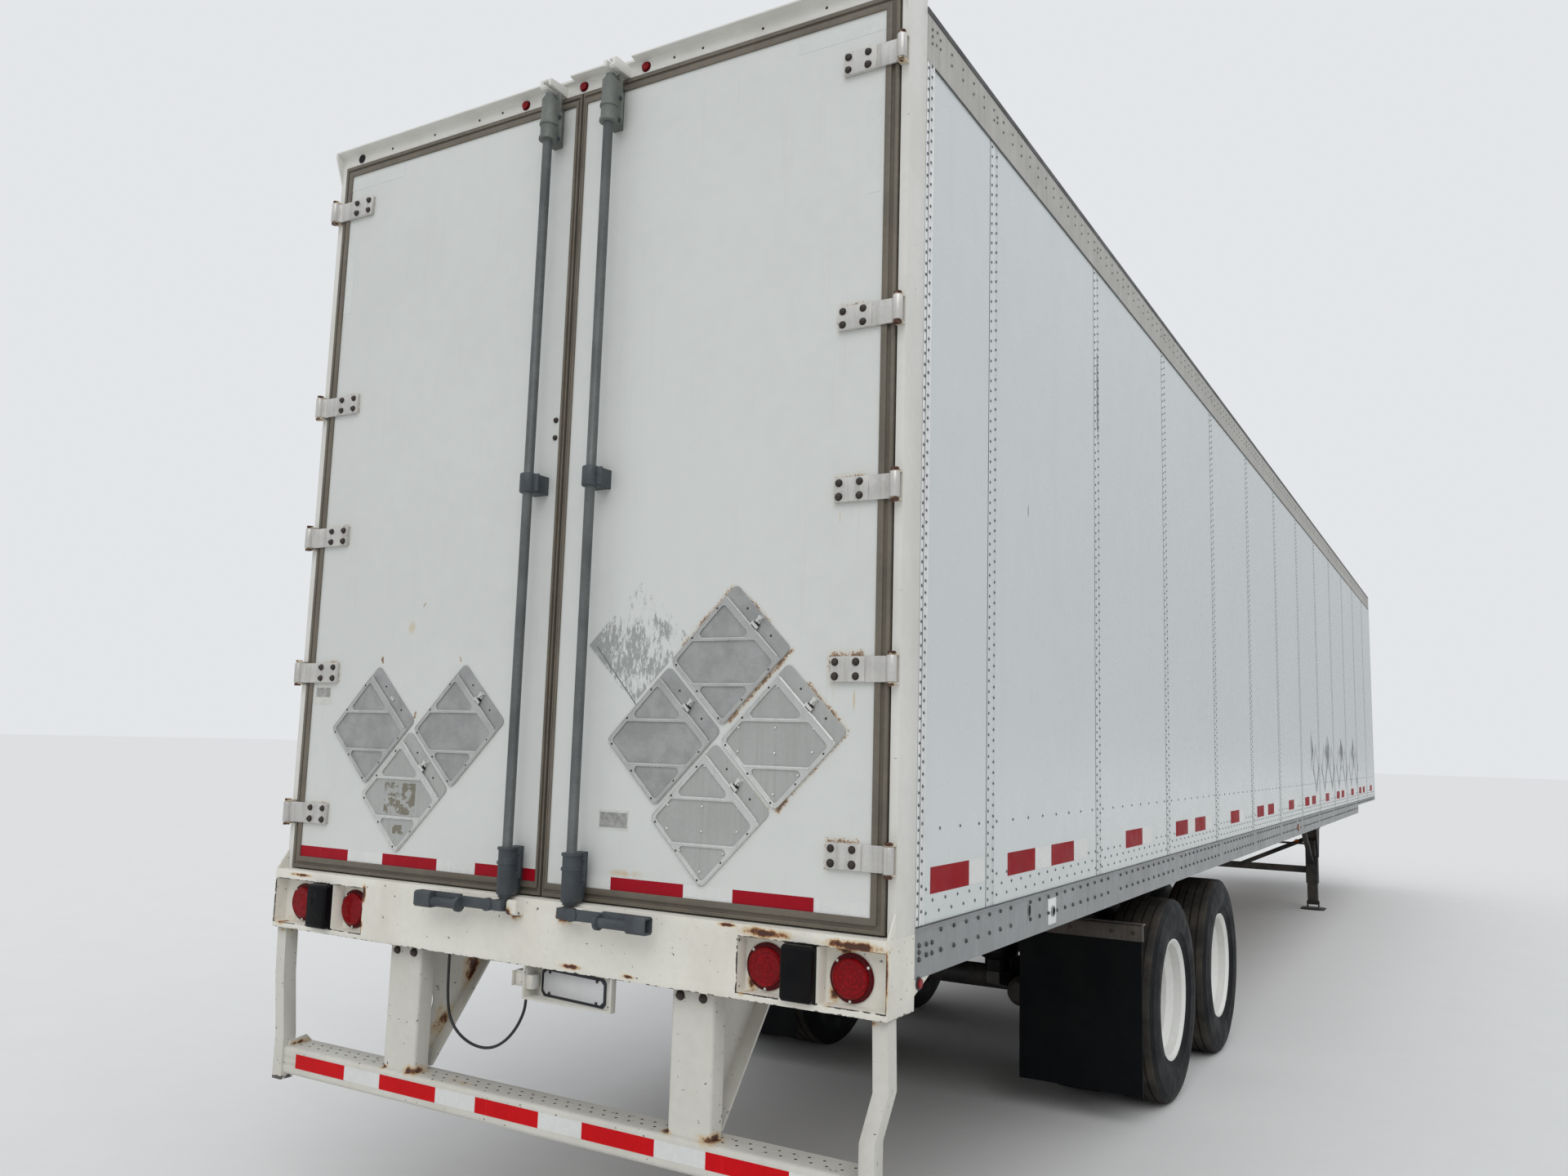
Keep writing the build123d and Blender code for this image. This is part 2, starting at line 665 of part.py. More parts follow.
def floor():
    """The hardwood deck."""
    half = WALL_IN - WALL_POST_PROUD
    front = BODY_LENGTH - NOSE_THICK
    cut = NOSE_RADIUS - NOSE_THICK
    outline = [(-half, POST_DEPTH), (half, POST_DEPTH), (half, front - cut), (half - cut, front), (cut - half, front),
               (-half, front - cut)]
    return slab_z(outline, FLOOR_BOTTOM, FLOOR_TOP)


def crossmembers():
    """I beams across the body, from rail to rail."""
    half = BEAM_WIDTH / 2
    web = BEAM_WEB / 2
    low, high = BEAM_BOTTOM, FLOOR_BOTTOM
    a, b = low + BEAM_FLANGE, high - BEAM_FLANGE
    count = int((RAIL_FULL_END - BEAM_FIRST) / BEAM_PITCH) + 1
    beams = []
    for i in range(count):
        y = BEAM_FIRST + i * BEAM_PITCH
        section = [(y - half, low), (y + half, low), (y + half, a), (y + web, a), (y + web, b), (y + half, b),
                   (y + half, high), (y - half, high), (y - half, b), (y - web, b), (y - web, a), (y - half, a)]
        beams.append(slab_x(section, -RAIL_IN, RAIL_IN))
    return Compound(children=beams)


def upper_coupler():
    """A flat plate with a ramp at its front, under shallow ribs across the nose."""
    low = COUPLER_BOTTOM
    front = BODY_LENGTH - NOSE_THICK
    half = COUPLER_HALF
    top = low + COUPLER_PLATE
    plate = slab_x([(COUPLER_START, low), (front - COUPLER_RAMP, low), (front, low + 8), (front, top + 8),
                    (front, FLOOR_BOTTOM), (front - 12, FLOOR_BOTTOM), (front - 12, top + 6),
                    (front - COUPLER_RAMP, top), (COUPLER_START, top)], -half, half)
    plate -= rod_z(0, KINGPIN_Y, low - 1, top + 1, KINGPIN_SHOULDER_R + 4)
    pitch = COUPLER_RIB_PITCH
    first = KINGPIN_Y - pitch / 2
    behind = int((first - COUPLER_START) / pitch)
    ahead = int((front - COUPLER_RAMP - first) / pitch)
    for i in range(-behind, ahead + 1):
        y = first + i * pitch
        plate += block(-half, half, y - COUPLER_RIB / 2, y + COUPLER_RIB / 2, top, FLOOR_BOTTOM)
    for side in (-1, 1):
        x = side * (half - 40)
        plate += block(x - 40, x + 40, RAIL_FULL_END, COUPLER_START, low + 8, FLOOR_BOTTOM)
    plate += block(-half, half, RAIL_FULL_END, RAIL_FULL_END + 50, low + 8, FLOOR_BOTTOM)
    return plate


def kingpin():
    """A flanged pin: shoulder, neck and lower flange."""
    top = COUPLER_BOTTOM + COUPLER_PLATE
    z1 = COUPLER_BOTTOM - KINGPIN_SHOULDER
    z2 = z1 - KINGPIN_NECK
    z3 = z2 - KINGPIN_LOWER
    pin = rod_z(0, KINGPIN_Y, z1, FLOOR_BOTTOM, KINGPIN_SHOULDER_R)
    pin += rod_z(0, KINGPIN_Y, z2, z1, KINGPIN_NECK_R)
    pin += rod_z(0, KINGPIN_Y, z3, z2, KINGPIN_FLANGE_R)
    pin += rod_z(0, KINGPIN_Y, COUPLER_BOTTOM, top, KINGPIN_SHOULDER_R + 4)
    return pin


def landing_legs():
    """Two telescopic legs with mounting plates, gearboxes and rocking feet, down on the ground."""
    half_o, half_i = LEG_OUTER / 2, LEG_INNER / 2
    leg = block(LEG_X - half_o, LEG_X + half_o, LEG_Y - half_o, LEG_Y + half_o, LEG_JOINT_Z, LEG_TOP)
    leg += block(LEG_X - half_i, LEG_X + half_i, LEG_Y - half_i, LEG_Y + half_i, FOOT_PIN_Z, LEG_JOINT_Z)
    x1 = LEG_X + half_o
    plate = [(LEG_Y - LEG_PLATE_HALF, LEG_PLATE_LOW), (LEG_Y + LEG_PLATE_HALF, LEG_PLATE_LOW),
             (LEG_Y + LEG_PLATE_HALF + 60, BEAM_BOTTOM), (LEG_Y - LEG_PLATE_HALF - 60, BEAM_BOTTOM)]
    leg += slab_x(plate, x1, x1 + LEG_PLATE_THICK)
    leg += slab_x([(LEG_Y - 30, LEG_PLATE_LOW - 330), (LEG_Y + 30, LEG_PLATE_LOW - 330), (LEG_Y + 130, LEG_PLATE_LOW),
                   (LEG_Y - 130, LEG_PLATE_LOW)], x1, x1 + LEG_PLATE_THICK)
    leg += block(LEG_X - half_o, x1 + LEG_PLATE_THICK, LEG_Y - half_o - 80, LEG_Y + half_o + 80,
                 BEAM_BOTTOM - LEG_PLATE_THICK, BEAM_BOTTOM)
    leg += block(LEG_X - half_o, x1, LEG_Y - half_o, LEG_Y + half_o, LEG_TOP, BEAM_BOTTOM)
    foot = block(LEG_X - FOOT_WIDTH / 2, LEG_X + FOOT_WIDTH / 2, LEG_Y - FOOT_LENGTH / 2, LEG_Y + FOOT_LENGTH / 2,
                 0, FOOT_THICK)
    foot = chamfer(foot.edges().filter_by(Axis.Z), 40)
    for side in (-1, 1):
        x = LEG_X + side * (half_i + 6)
        foot += slab_x([(LEG_Y - 55, FOOT_THICK), (LEG_Y + 55, FOOT_THICK), (LEG_Y + 28, FOOT_PIN_Z + 40),
                        (LEG_Y - 28, FOOT_PIN_Z + 40)], x - 5, x + 5)
    foot += rod_x(LEG_X - half_i - 16, LEG_X + half_i + 16, LEG_Y, FOOT_PIN_Z + 22, 13)
    leg += foot
    y0 = LEG_Y - half_o
    low, high = GEARBOX_LOW, GEARBOX_LOW + GEARBOX_SIZE
    gearbox = slab_x([(y0 - GEARBOX_DEPTH, low + GEARBOX_SLOPE), (y0, low), (y0, high + GEARBOX_SLOPE),
                      (y0 - GEARBOX_DEPTH, high)], LEG_X - GEARBOX_HALF, LEG_X + GEARBOX_HALF)
    right = leg
    left = other_side(leg + gearbox)
    return Compound(children=[right + gearbox, left])


def landing_braces():
    """A cross brace, a V of diagonals, two long braces to the cross members and the crank on the road side."""
    inner = LEG_X - LEG_OUTER / 2
    y = LEG_Y
    brace = block(-inner, inner, y - CROSS_DEPTH / 2, y + CROSS_DEPTH / 2, CROSS_Z - CROSS_HEIGHT / 2,
                  CROSS_Z + CROSS_HEIGHT / 2)
    brace -= block(-inner - 1, inner + 1, y - CROSS_DEPTH / 2 + 6, y + CROSS_DEPTH / 2 + 1,
                   CROSS_Z - CROSS_HEIGHT / 2 + 6, CROSS_Z + CROSS_HEIGHT / 2 - 6)
    keep = block(-inner, inner, y - 100, y + 100, CROSS_Z, BEAM_BOTTOM)
    for side in (-1, 1):
        a = (side * V_BRACE_LOW_X, y, CROSS_Z + 20)
        b = (side * (inner + 40), y, V_BRACE_TOP_Z)
        brace += bar_between(a, b, V_BRACE_SIZE, CROSS_DEPTH) & keep
    return brace


def landing_struts():
    """Two struts from the legs back to the cross members, each with a foot plate."""
    y0 = LEG_Y - LEG_OUTER / 2
    y1 = y0 - LONG_BRACE_AHEAD
    strut = slab_x([(y0, LONG_BRACE_Z), (y0, LONG_BRACE_Z + 60), (y1 + 50, BEAM_BOTTOM - 8), (y1, BEAM_BOTTOM - 8)],
                   LEG_X - 25, LEG_X + 25)
    strut += block(LEG_X - 50, LEG_X + 50, y1 - 60, y1 + 110, BEAM_BOTTOM - 8, BEAM_BOTTOM)
    return both_sides(strut)


def landing_crank():
    """A shaft between the gearboxes and a folded crank on the road side."""
    y = LEG_Y - LEG_OUTER / 2 - GEARBOX_DEPTH / 2
    inner = LEG_X - GEARBOX_HALF
    shaft = rod_x(-inner, inner, y, CRANK_Z, CRANK_R)
    x0 = -LEG_X - GEARBOX_HALF
    crank = rod_x(x0 - CRANK_OUT, x0, y, CRANK_Z, CRANK_R)
    crank += rod_z(x0 - CRANK_OUT, y, CRANK_Z - CRANK_THROW, CRANK_Z + CRANK_R, CRANK_R)
    crank += rod_x(x0 - CRANK_OUT, x0 - CRANK_OUT / 5, y, CRANK_Z - CRANK_THROW, CRANK_R)
    return Compound(children=[shaft, crank])


def body_rails():
    """Two channel rails under the cross members with a row of locking holes, which the bogie slides along."""
    x0 = SLIDER_X - BODY_RAIL_WIDTH / 2
    x1 = SLIDER_X + BODY_RAIL_WIDTH / 2
    w = BODY_RAIL_WALL
    low, high = BODY_RAIL_BOTTOM, BEAM_BOTTOM
    section = [(x0, high), (x1, high), (x1, high - w), (x0 + w, high - w), (x0 + w, low + w), (x1, low + w), (x1, low),
               (x0, low)]
    return both_sides(slab_y(section, BODY_RAIL_START, BODY_RAIL_END))


def bogie_frame():
    """The slider: two box rails, cross beams and a pair of hanger cheeks ahead of each axle."""
    half = SLIDER_WIDTH / 2
    low, high = SLIDER_BOTTOM, SLIDER_TOP
    rail = block(SLIDER_X - half, SLIDER_X + half, SLIDER_START, SLIDER_END, low, high)
    for y_axle in AXLES.values():
        y = y_axle + HANGER_AHEAD
        cheek = [(y - HANGER_LENGTH / 2 - 40, low), (y + HANGER_LENGTH / 2 + 20, low),
                 (y + 60, HANGER_PIVOT_Z - 50), (y - 60, HANGER_PIVOT_Z - 50)]
        rail += slab_x(cheek, SLIDER_X - half, SLIDER_X - half + HANGER_CHEEK)
        rail += slab_x(cheek, SLIDER_X + half - HANGER_CHEEK, SLIDER_X + half)
        rail += slab_x([(y + HANGER_LENGTH / 2 + 8, low), (y + HANGER_LENGTH / 2 + 20, low), (y + 60, HANGER_PIVOT_Z - 50),
                        (y + 50, HANGER_PIVOT_Z - 50)], SLIDER_X - half, SLIDER_X + half)
        rail += rod_x(SLIDER_X - half, SLIDER_X + half, y, HANGER_PIVOT_Z, PIVOT_R)
    frame = rail + other_side(rail)
    for y in SLIDER_CROSS:
        frame += block(-SLIDER_X, SLIDER_X, y - 50, y + 50, low + 15, high - 15)
    return frame


def axles():
    """Two axle tubes, each with its spindles, brake flanges and a pair of trailing arms."""
    pieces = []
    for y in AXLES.values():
        z = TYRE_R
        axle = rod_x(-SHOULDER_X, SHOULDER_X, y, z, AXLE_R)
        axle += rod_x(-SPINDLE_OUT, SPINDLE_OUT, y, z, SPINDLE_R)
        for side in (-1, 1):
            a, b = side * (SHOULDER_X - 30), side * (SHOULDER_X - 14)
            axle += rod_x(min(a, b), max(a, b), y, z, 118)
            x = side * SLIDER_X
            half = ARM_WIDTH / 2
            pivot = y + HANGER_AHEAD
            arm = slab_x([(pivot, HANGER_PIVOT_Z - ARM_EYE_R), (pivot, HANGER_PIVOT_Z + ARM_EYE_R),
                          (y + 90, z + ARM_HEIGHT), (y - 90, SPRING_SEAT_Z), (y - SPRING_BEHIND - 70, SPRING_SEAT_Z),
                          (y - SPRING_BEHIND - 70, SPRING_SEAT_Z - 60), (y - 80, z - 40), (y + 80, z - 40)],
                         x - half, x + half)
            arm += rod_x(x - half, x + half, pivot, HANGER_PIVOT_Z, ARM_EYE_R)
            arm -= rod_x(x - half - 1, x + half + 1, pivot, HANGER_PIVOT_Z, PIVOT_R + PIVOT_RUN)
            axle += arm
            cx = side * CHAMBER_X
            axle += block(cx - 40, cx + 40, y - CHAMBER_BEHIND, y - 40, z - 40, z + 40)
        pieces.append(axle)
    return Compound(children=pieces)


def air_springs():
    """Rolling-lobe springs between the arms' ends and the slider rails."""
    springs = []
    r = SPRING_R
    z0, z1 = SPRING_SEAT_Z, SLIDER_BOTTOM
    for y_axle in AXLES.values():
        outline = [(0, z0), (0.62 * r, z0), (0.62 * r, z0 + 60), (0.9 * r, z0 + 75), (r, z0 + 100), (r, z1 - 50),
                   (0.92 * r, z1 - 20), (0.75 * r, z1 - 12), (0.75 * r, z1), (0, z1)]
        face = Plane.XZ * make_face(Polyline(*outline, close=True))
        spring = Pos(SLIDER_X, y_axle - SPRING_BEHIND, 0) * revolve(face, Axis.Z)
        springs += [spring, other_side(spring)]
    return Compound(children=springs)


def brake_chambers():
    """Two-stage chambers behind the axles."""
    chambers = []
    for y_axle in AXLES.values():
        y1 = y_axle - CHAMBER_BEHIND
        y0 = y1 - CHAMBER_LENGTH
        outline = [(0, y0), (50, y0), (CHAMBER_R - 6, y0 + 22), (CHAMBER_R - 6, y0 + 70), (CHAMBER_R, y0 + 74),
                   (CHAMBER_R, y0 + 90), (CHAMBER_R - 10, y0 + 98), (CHAMBER_R - 10, y0 + 125), (CHAMBER_R, y0 + 132),
                   (CHAMBER_R, y0 + 148), (CHAMBER_R - 6, y0 + 152), (CHAMBER_R - 10, y1 - 12), (40, y1), (0, y1)]
        face = make_face(Polyline(*outline, close=True))
        chamber = Pos(CHAMBER_X, 0, CHAMBER_Z) * revolve(face, Axis.Y)
        chambers += [chamber, other_side(chamber)]
    return Compound(children=chambers)


def shock_absorbers():
    """A damper inside each slider rail, from a stub on the arm to a stub on the rail."""
    shocks = []
    for y_axle in AXLES.values():
        y = y_axle + 150
        z0, z1 = TYRE_R + 75, SLIDER_BOTTOM + 60
        x = SLIDER_X - SLIDER_WIDTH / 2 - SHOCK_R - 6
        shock = rod_z(x, y, z0 - 20, z0 + 150, SHOCK_R) + rod_z(x, y, z0 + 120, z1 + 20, SHOCK_R - 8)
        shock += rod_x(x, SLIDER_X - ARM_WIDTH / 2, y, z0, 12)
        shock += rod_x(x, SLIDER_X - SLIDER_WIDTH / 2, y, z1, 12)
        shocks += [shock, other_side(shock)]
    return Compound(children=shocks)


def air_tank():
    """A round tank across the body, in two straps below the cross members."""
    tank = rod_x(-TANK_LENGTH / 2, TANK_LENGTH / 2, TANK_Y, TANK_Z, TANK_R)
    tank = fillet(tank.edges().filter_by(GeomType.CIRCLE), 40)
    for side in (-1, 1):
        x = side * 250
        strap = rod_x(x - 20, x + 20, TANK_Y, TANK_Z, TANK_R + 4)
        strap += block(x - 20, x + 20, TANK_Y - 40, TANK_Y + 40, TANK_Z, BEAM_BOTTOM)
        tank += strap
    return tank


def tyres(y, side):
    """A pair of tyres on one hub, each of flat facets with a corner on the ground."""
    outline = list(TYRE_OUTLINE) + [(-x, r) for x, r in reversed(TYRE_OUTLINE)]
    step = 2 * pi / TYRE_SIDES
    bore = 1 / cos(step / 2)

    def ring(row, i):
        x, r = row
        r = r * bore if r == BEAD_R else r
        return Vector(x, r * sin(i * step), -r * cos(i * step))

    faces = []
    for a, b in zip(outline, outline[1:] + outline[:1]):
        for i in range(TYRE_SIDES):
            faces.append(Face(Wire.make_polygon([ring(a, i), ring(b, i), ring(b, i + 1), ring(a, i + 1)])))
    tyre = Solid(Shell(faces))
    return Compound(children=[Pos(side * x, y, TYRE_R) * tyre for x in (INNER_TYRE_X, OUTER_TYRE_X)])


def wheel(y, side):
    """Two disc rims back to back on a hub, with the brake drum inside."""
    reach = DUAL_SPACING / 2
    w = RIM_WALL
    half = RIM_HALF_WIDTH
    seat = BEAD_R - 0.3
    bead = BEAD_WIDTH / 2 + 1
    barrel = [(reach - half, RIM_FLANGE_R - w), (reach - half, RIM_FLANGE_R), (reach - half + 6, RIM_FLANGE_R),
              (reach - bead, seat), (reach - bead + 26, seat), (reach - 40, RIM_WELL_R), (reach + 20, RIM_WELL_R),
              (reach + 50, seat), (reach + bead, seat), (reach + half - 6, RIM_FLANGE_R), (reach + half, RIM_FLANGE_R),
              (reach + half, RIM_FLANGE_R - w), (reach + bead - 2, seat - w), (reach + 54, seat - w),
              (reach + 22, RIM_WELL_R - w), (reach - 44, RIM_WELL_R - w), (reach - bead + 20, seat - w)]
    disc = [(0, HUB_R - 2), (0, HUB_R + 72), (30, 225), (reach - 92, 262), (reach - bead + 6, seat - w + 2),
            (reach - bead + 22, seat - w + 2), (reach - 78, 262), (42, 218), (DISC_THICK, HUB_R + 62),
            (DISC_THICK, HUB_R - 2)]
    rim = lathe_x(barrel, 0, 0, 0) + lathe_x(disc, 0, 0, 0)
    holes = [Rot(360 * i / HAND_HOLES, 0, 0) * rod_x(-5, 40, 0, HAND_HOLE_PITCH_R, HAND_HOLE_R)
             for i in range(HAND_HOLES)]
    for hole in holes:
        rim -= hole
    outer = Pos(DISC_X, 0, 0) * rim
    inner = Pos(DISC_X, 0, 0) * mirror(rim, about=Plane.YZ)
    drum_x = DISC_X - DISC_THICK - 14
    hub = [(SHOULDER_X + 12, SPINDLE_R + SPINDLE_RUN), (SHOULDER_X + 12, 92), (drum_x - 60, 100), (drum_x, 140),
           (drum_x, 165), (DISC_X - DISC_THICK, 165), (DISC_X - DISC_THICK, HUB_R - 2), (DISC_X + DISC_THICK, HUB_R - 2),
           (HUB_OUT, HUB_R - 14), (HUB_OUT, HUB_CAP_R), (HUB_CAP_OUT, HUB_CAP_R - 10), (HUB_CAP_OUT, 0),
           (SPINDLE_OUT + 8, 0), (SPINDLE_OUT + 8, SPINDLE_R + SPINDLE_RUN)]
    drum = [(DRUM_IN, DRUM_R), (drum_x, DRUM_R), (drum_x + 10, DRUM_R - 30), (drum_x + 10, 150), (drum_x - 4, 150),
            (drum_x - 4, DRUM_R - 32), (drum_x - 10, DRUM_R - DRUM_WALL), (DRUM_IN, DRUM_R - DRUM_WALL)]
    whole = outer + inner + lathe_x(hub, 0, 0, 0) + lathe_x(drum, 0, 0, 0)
    if side < 0:
        whole = mirror(whole, about=Plane.YZ)
    return Pos(0, y, TYRE_R) * whole


def door_panel(side):
    """The flat plate of one door, inside its edge frame."""
    x0 = DOOR_GAP / 2 + SEAL_CENTRE
    x1 = DOOR_OUT - SEAL_WIDTH
    panel = block(x0, x1, DOOR_PANEL_BACK, DOOR_PANEL_BACK + DOOR_PANEL_THICK, DOOR_BOTTOM + SEAL_WIDTH,
                  DOOR_TOP - SEAL_WIDTH)
    return panel if side > 0 else other_side(panel)


def door_edge(side):
    """The edge frame of one door: a channel with two ridges, narrower at the centre of the doorway."""
    x0 = DOOR_GAP / 2
    x1 = DOOR_OUT
    low, high = DOOR_BOTTOM, DOOR_TOP
    share = SEAL_CENTRE / SEAL_WIDTH

    def ring(a, b, y0, y1):
        return (block(x0 + a * share, x1 - a, y0, y1, low + a, high - a)
                - block(x0 + b * share, x1 - b, y0 - 1, y1 + 1, low + b, high - b))

    w = SEAL_WIDTH
    frame = ring(0, w, 0, DOOR_FRONT)
    frame += ring(0, SEAL_RIDGE, SEAL_STEP - SEAL_PROUD, 0)
    frame += ring(2 * SEAL_RIDGE, w, -SEAL_PROUD, 0)
    return frame if side > 0 else other_side(frame)


def door_hinges(side):
    """Five straps on one door, each ending in a barrel on its pin."""
    straps = []
    half = HINGE_HEIGHT / 2
    root = -SEAL_PROUD
    back = root - STRAP_THICK
    edge = DOOR_OUT - SEAL_STEP
    bore = HINGE_PIN_R + HINGE_RUN
    for z in HINGE_ZS:
        strap = block(HINGE_X - STRAP_REACH, edge, back, root, z - half, z + half)
        strap += slab_z([(edge, back), (edge, root), (HINGE_X, HINGE_Y + HINGE_BARREL_R), (HINGE_X, HINGE_Y),
                         (HINGE_X - HINGE_BARREL_R, HINGE_Y)], z - half, z + half)
        strap += rod_z(HINGE_X, HINGE_Y, z - half, z + half, HINGE_BARREL_R)
        strap += block(HINGE_X - STRAP_REACH, DOOR_OUT - SEAL_WIDTH - 1, root, DOOR_PANEL_BACK, z - half, z + half)
        strap -= rod_z(HINGE_X, HINGE_Y, z - half - 1, z + half + 1, bore)
        straps.append(strap if side > 0 else other_side(strap))
    return Compound(children=straps)


def hinge_butts():
    """The fixed halves: a plate on the post, two ears and the headed pin, ten in all."""
    butts = []
    half = HINGE_HEIGHT / 2 + EAR_GAP
    top = half + EAR_PLATE
    for z in HINGE_ZS:
        butt = block(HALF_WIDTH - POST_WEB, HALF_WIDTH, -BUTT_PLATE, 0, z - top, z + top)
        for side in (-1, 1):
            a = z + side * half
            b = z + side * top
            ear = slab_z([(HALF_WIDTH - POST_WEB, -BUTT_PLATE), (HALF_WIDTH, -BUTT_PLATE), (HALF_WIDTH, HINGE_Y),
                          (HINGE_X, HINGE_Y - HINGE_BARREL_R), (HINGE_X - HINGE_BARREL_R, HINGE_Y)], min(a, b), max(a, b))
            butt += ear
            butt += rod_z(HINGE_X, HINGE_Y, min(b, b + side * HINGE_HEAD), max(b, b + side * HINGE_HEAD), HINGE_HEAD_R)
        butt += rod_z(HINGE_X, HINGE_Y, z - top, z + top, HINGE_PIN_R)
        butts += [butt, other_side(butt)]
    return Compound(children=butts)


def guide(x, start, over, neck):
    """A cast guide about a rod: a barrel with a ridge and a rim, feet on the panel and a bolted flange on its right."""
    end = start + GUIDE_TALL
    face = DOOR_PANEL_BACK
    foot_low, foot_high = max(start, DOOR_BOTTOM + SEAL_WIDTH + 1), min(end, DOOR_TOP - SEAL_WIDTH - 1)
    barrel = rod_z(x, ROD_Y, start, end, GUIDE_R)
    barrel += block(x - GUIDE_R, x + GUIDE_R, ROD_Y, GUIDE_FLANGE_BACK + GUIDE_FLANGE, start, end)
    barrel += block(x - GUIDE_R, x + GUIDE_FOOT, GUIDE_FLANGE_BACK, -SEAL_PROUD - 1, start, end)
    ridge_z = start + (1 - GUIDE_RIDGE_SHARE if over else GUIDE_RIDGE_SHARE) * GUIDE_TALL
    rim_z = end - GUIDE_RIDGE if over else start
    for z in (ridge_z, rim_z):
        barrel += rod_z(x, ROD_Y, z, z + GUIDE_RIDGE, GUIDE_RIDGE_R)
    reach = x + GUIDE_FLANGE_REACH
    low = start + (GUIDE_TALL / 3 if over else 0)
    high = end if over else end - GUIDE_TALL / 4
    flange = block(x, reach, GUIDE_FLANGE_BACK, GUIDE_FLANGE_BACK + GUIDE_FLANGE, low, high)
    flange = fillet(flange.edges().filter_by(Axis.Y).group_by(Axis.X)[-1], GUIDE_RIDGE)
    flange += block(x, x + GUIDE_NECK, GUIDE_FLANGE_BACK, GUIDE_FLANGE_BACK + GUIDE_FLANGE, low, end + neck)
    feet = block(x - GUIDE_R, x + GUIDE_FOOT, GUIDE_FLANGE_BACK, face, foot_low, min(end, foot_high))
    return barrel + flange + feet


def door_lock(side_name):
    """The lock of one door: rod, guides, collars and the folding handle."""
    x = LOCK_XS[side_name]
    out = -1 if side_name == "left" else 1
    shape = rod_z(x, ROD_Y, ROD_BOTTOM, ROD_TOP, ROD_R)
    shape += guide(x, GUIDE_LOW_START, True, 0)
    shape += guide(x, GUIDE_HIGH_START, False, GUIDE_NECK)
    ahead = ROD_Y + ROD_R
    for z in (GUIDE_LOW_START - COLLAR, GUIDE_HIGH_START + GUIDE_TALL):
        collar = rod_z(x, ROD_Y, z, z + COLLAR, COLLAR_R)
        shape += collar - block(x - COLLAR_R - 1, x + COLLAR_R + 1, ahead, 0, z - 1, z + COLLAR + 1)
    mid_z = DOOR_BOTTOM + GUIDE_MID_SHARE * (DOOR_TOP - DOOR_BOTTOM)
    shape += block(x - GUIDE_NECK, x + GUIDE_NECK, ROD_Y, DOOR_PANEL_BACK, mid_z - GUIDE_NECK, mid_z + GUIDE_NECK)
    shape += rod_z(x, ROD_Y, mid_z - GUIDE_NECK, mid_z + GUIDE_NECK, GUIDE_R)
    shape += handle(x, out)
    return shape


def handle(x, out):
    """The folding handle: a fork on the rod, a flat arm, a hollow end and a round grip beside the bar."""

    def across(a, b, y0, y1, z0, z1):
        return block(min(x + out * a, x + out * b), max(x + out * a, x + out * b), y0, y1, z0, z1)

    def round_x(a, b, y, z, r):
        return rod_x(min(x + out * a, x + out * b), max(x + out * a, x + out * b), y, z, r)

    half = HANDLE_TALL / 2
    low, high = HANDLE_Z - half, HANDLE_Z + half
    shape = across(-ROD_R - 2, ROD_R + 2, ARM_BACK, ROD_Y, HANDLE_Z - BOSS_R + 4, HANDLE_Z + BOSS_R - 4)
    shape += across(0, ARM_LENGTH, ARM_BACK, ARM_FRONT, low, high)
    shape += rod_y(x + out * 2 * BOSS_R, ARM_BACK - 5, ARM_FRONT, HANDLE_Z, BOSS_R)
    shape += across(ARM_LENGTH, HANDLE_REACH - GRIP_END, ARM_BACK, ARM_FRONT, HANDLE_Z + 2, high + 5)
    grip_z = HANDLE_Z - GRIP_DROP
    ring_x = ARM_LENGTH - GRIP_RING
    shape += round_x(ring_x, ARM_LENGTH, GRIP_Y, grip_z, GRIP_RING_R)
    shape += round_x(ARM_LENGTH, HANDLE_REACH - GRIP_END, GRIP_Y, grip_z, GRIP_R)
    end = across(HANDLE_REACH - GRIP_END, HANDLE_REACH, GRIP_BACK, ARM_FRONT, grip_z - GRIP_R - 4, high + 6)
    end = chamfer(end.edges().filter_by(Axis.X), GRIP_WALL)
    w = GRIP_WALL
    end -= across(HANDLE_REACH - GRIP_END + 3 * w, HANDLE_REACH + 1, GRIP_BACK + w, ARM_FRONT - w / 2,
                  grip_z - GRIP_R - 4 + w, high + 6 - w)
    return shape + end


def door_placards(side_name):
    """Placard holders set on their corners: a rounded tray with a rim, two level ribs and a hinge strip."""
    holders = []
    half, strip = PLACARD_SIDE / 2, PLACARD_STRIP / 2
    left, fold = -half - strip, half - strip
    for row in PLACARDS:
        if row.door != side_name:
            continue
        tray = block(left, half + strip, -PLACARD_DEPTH, 0, -half, half)
        tray = fillet(tray.edges().filter_by(Axis.Y), PLACARD_ROUND)
        tray -= block(left + PLACARD_RIM, fold - PLACARD_RIM, -PLACARD_DEPTH - 1, -PLACARD_BASE, -half + PLACARD_RIM,
                      half - PLACARD_RIM)
        tray -= block(fold, half + strip + 1, -PLACARD_DEPTH - 1, -PLACARD_STRIP_DEPTH, -half - 1, half + 1)
        inside = block(left + 3, fold - 3, -PLACARD_DEPTH + 1, -PLACARD_BASE, -half + 3, half - 3)
        for offset in PLACARD_RIBS:
            rib = Box(PLACARD_SIDE * 1.5, PLACARD_DEPTH - PLACARD_BASE, PLACARD_RIB)
            tray += Rot(0, 45, 0) * Pos(0, -(PLACARD_DEPTH + PLACARD_BASE) / 2, offset) * rib & inside
        holders.append(Pos(row.x, DOOR_PANEL_BACK, row.z) * Rot(0, -45, 0) * tray)
    return Compound(children=holders)


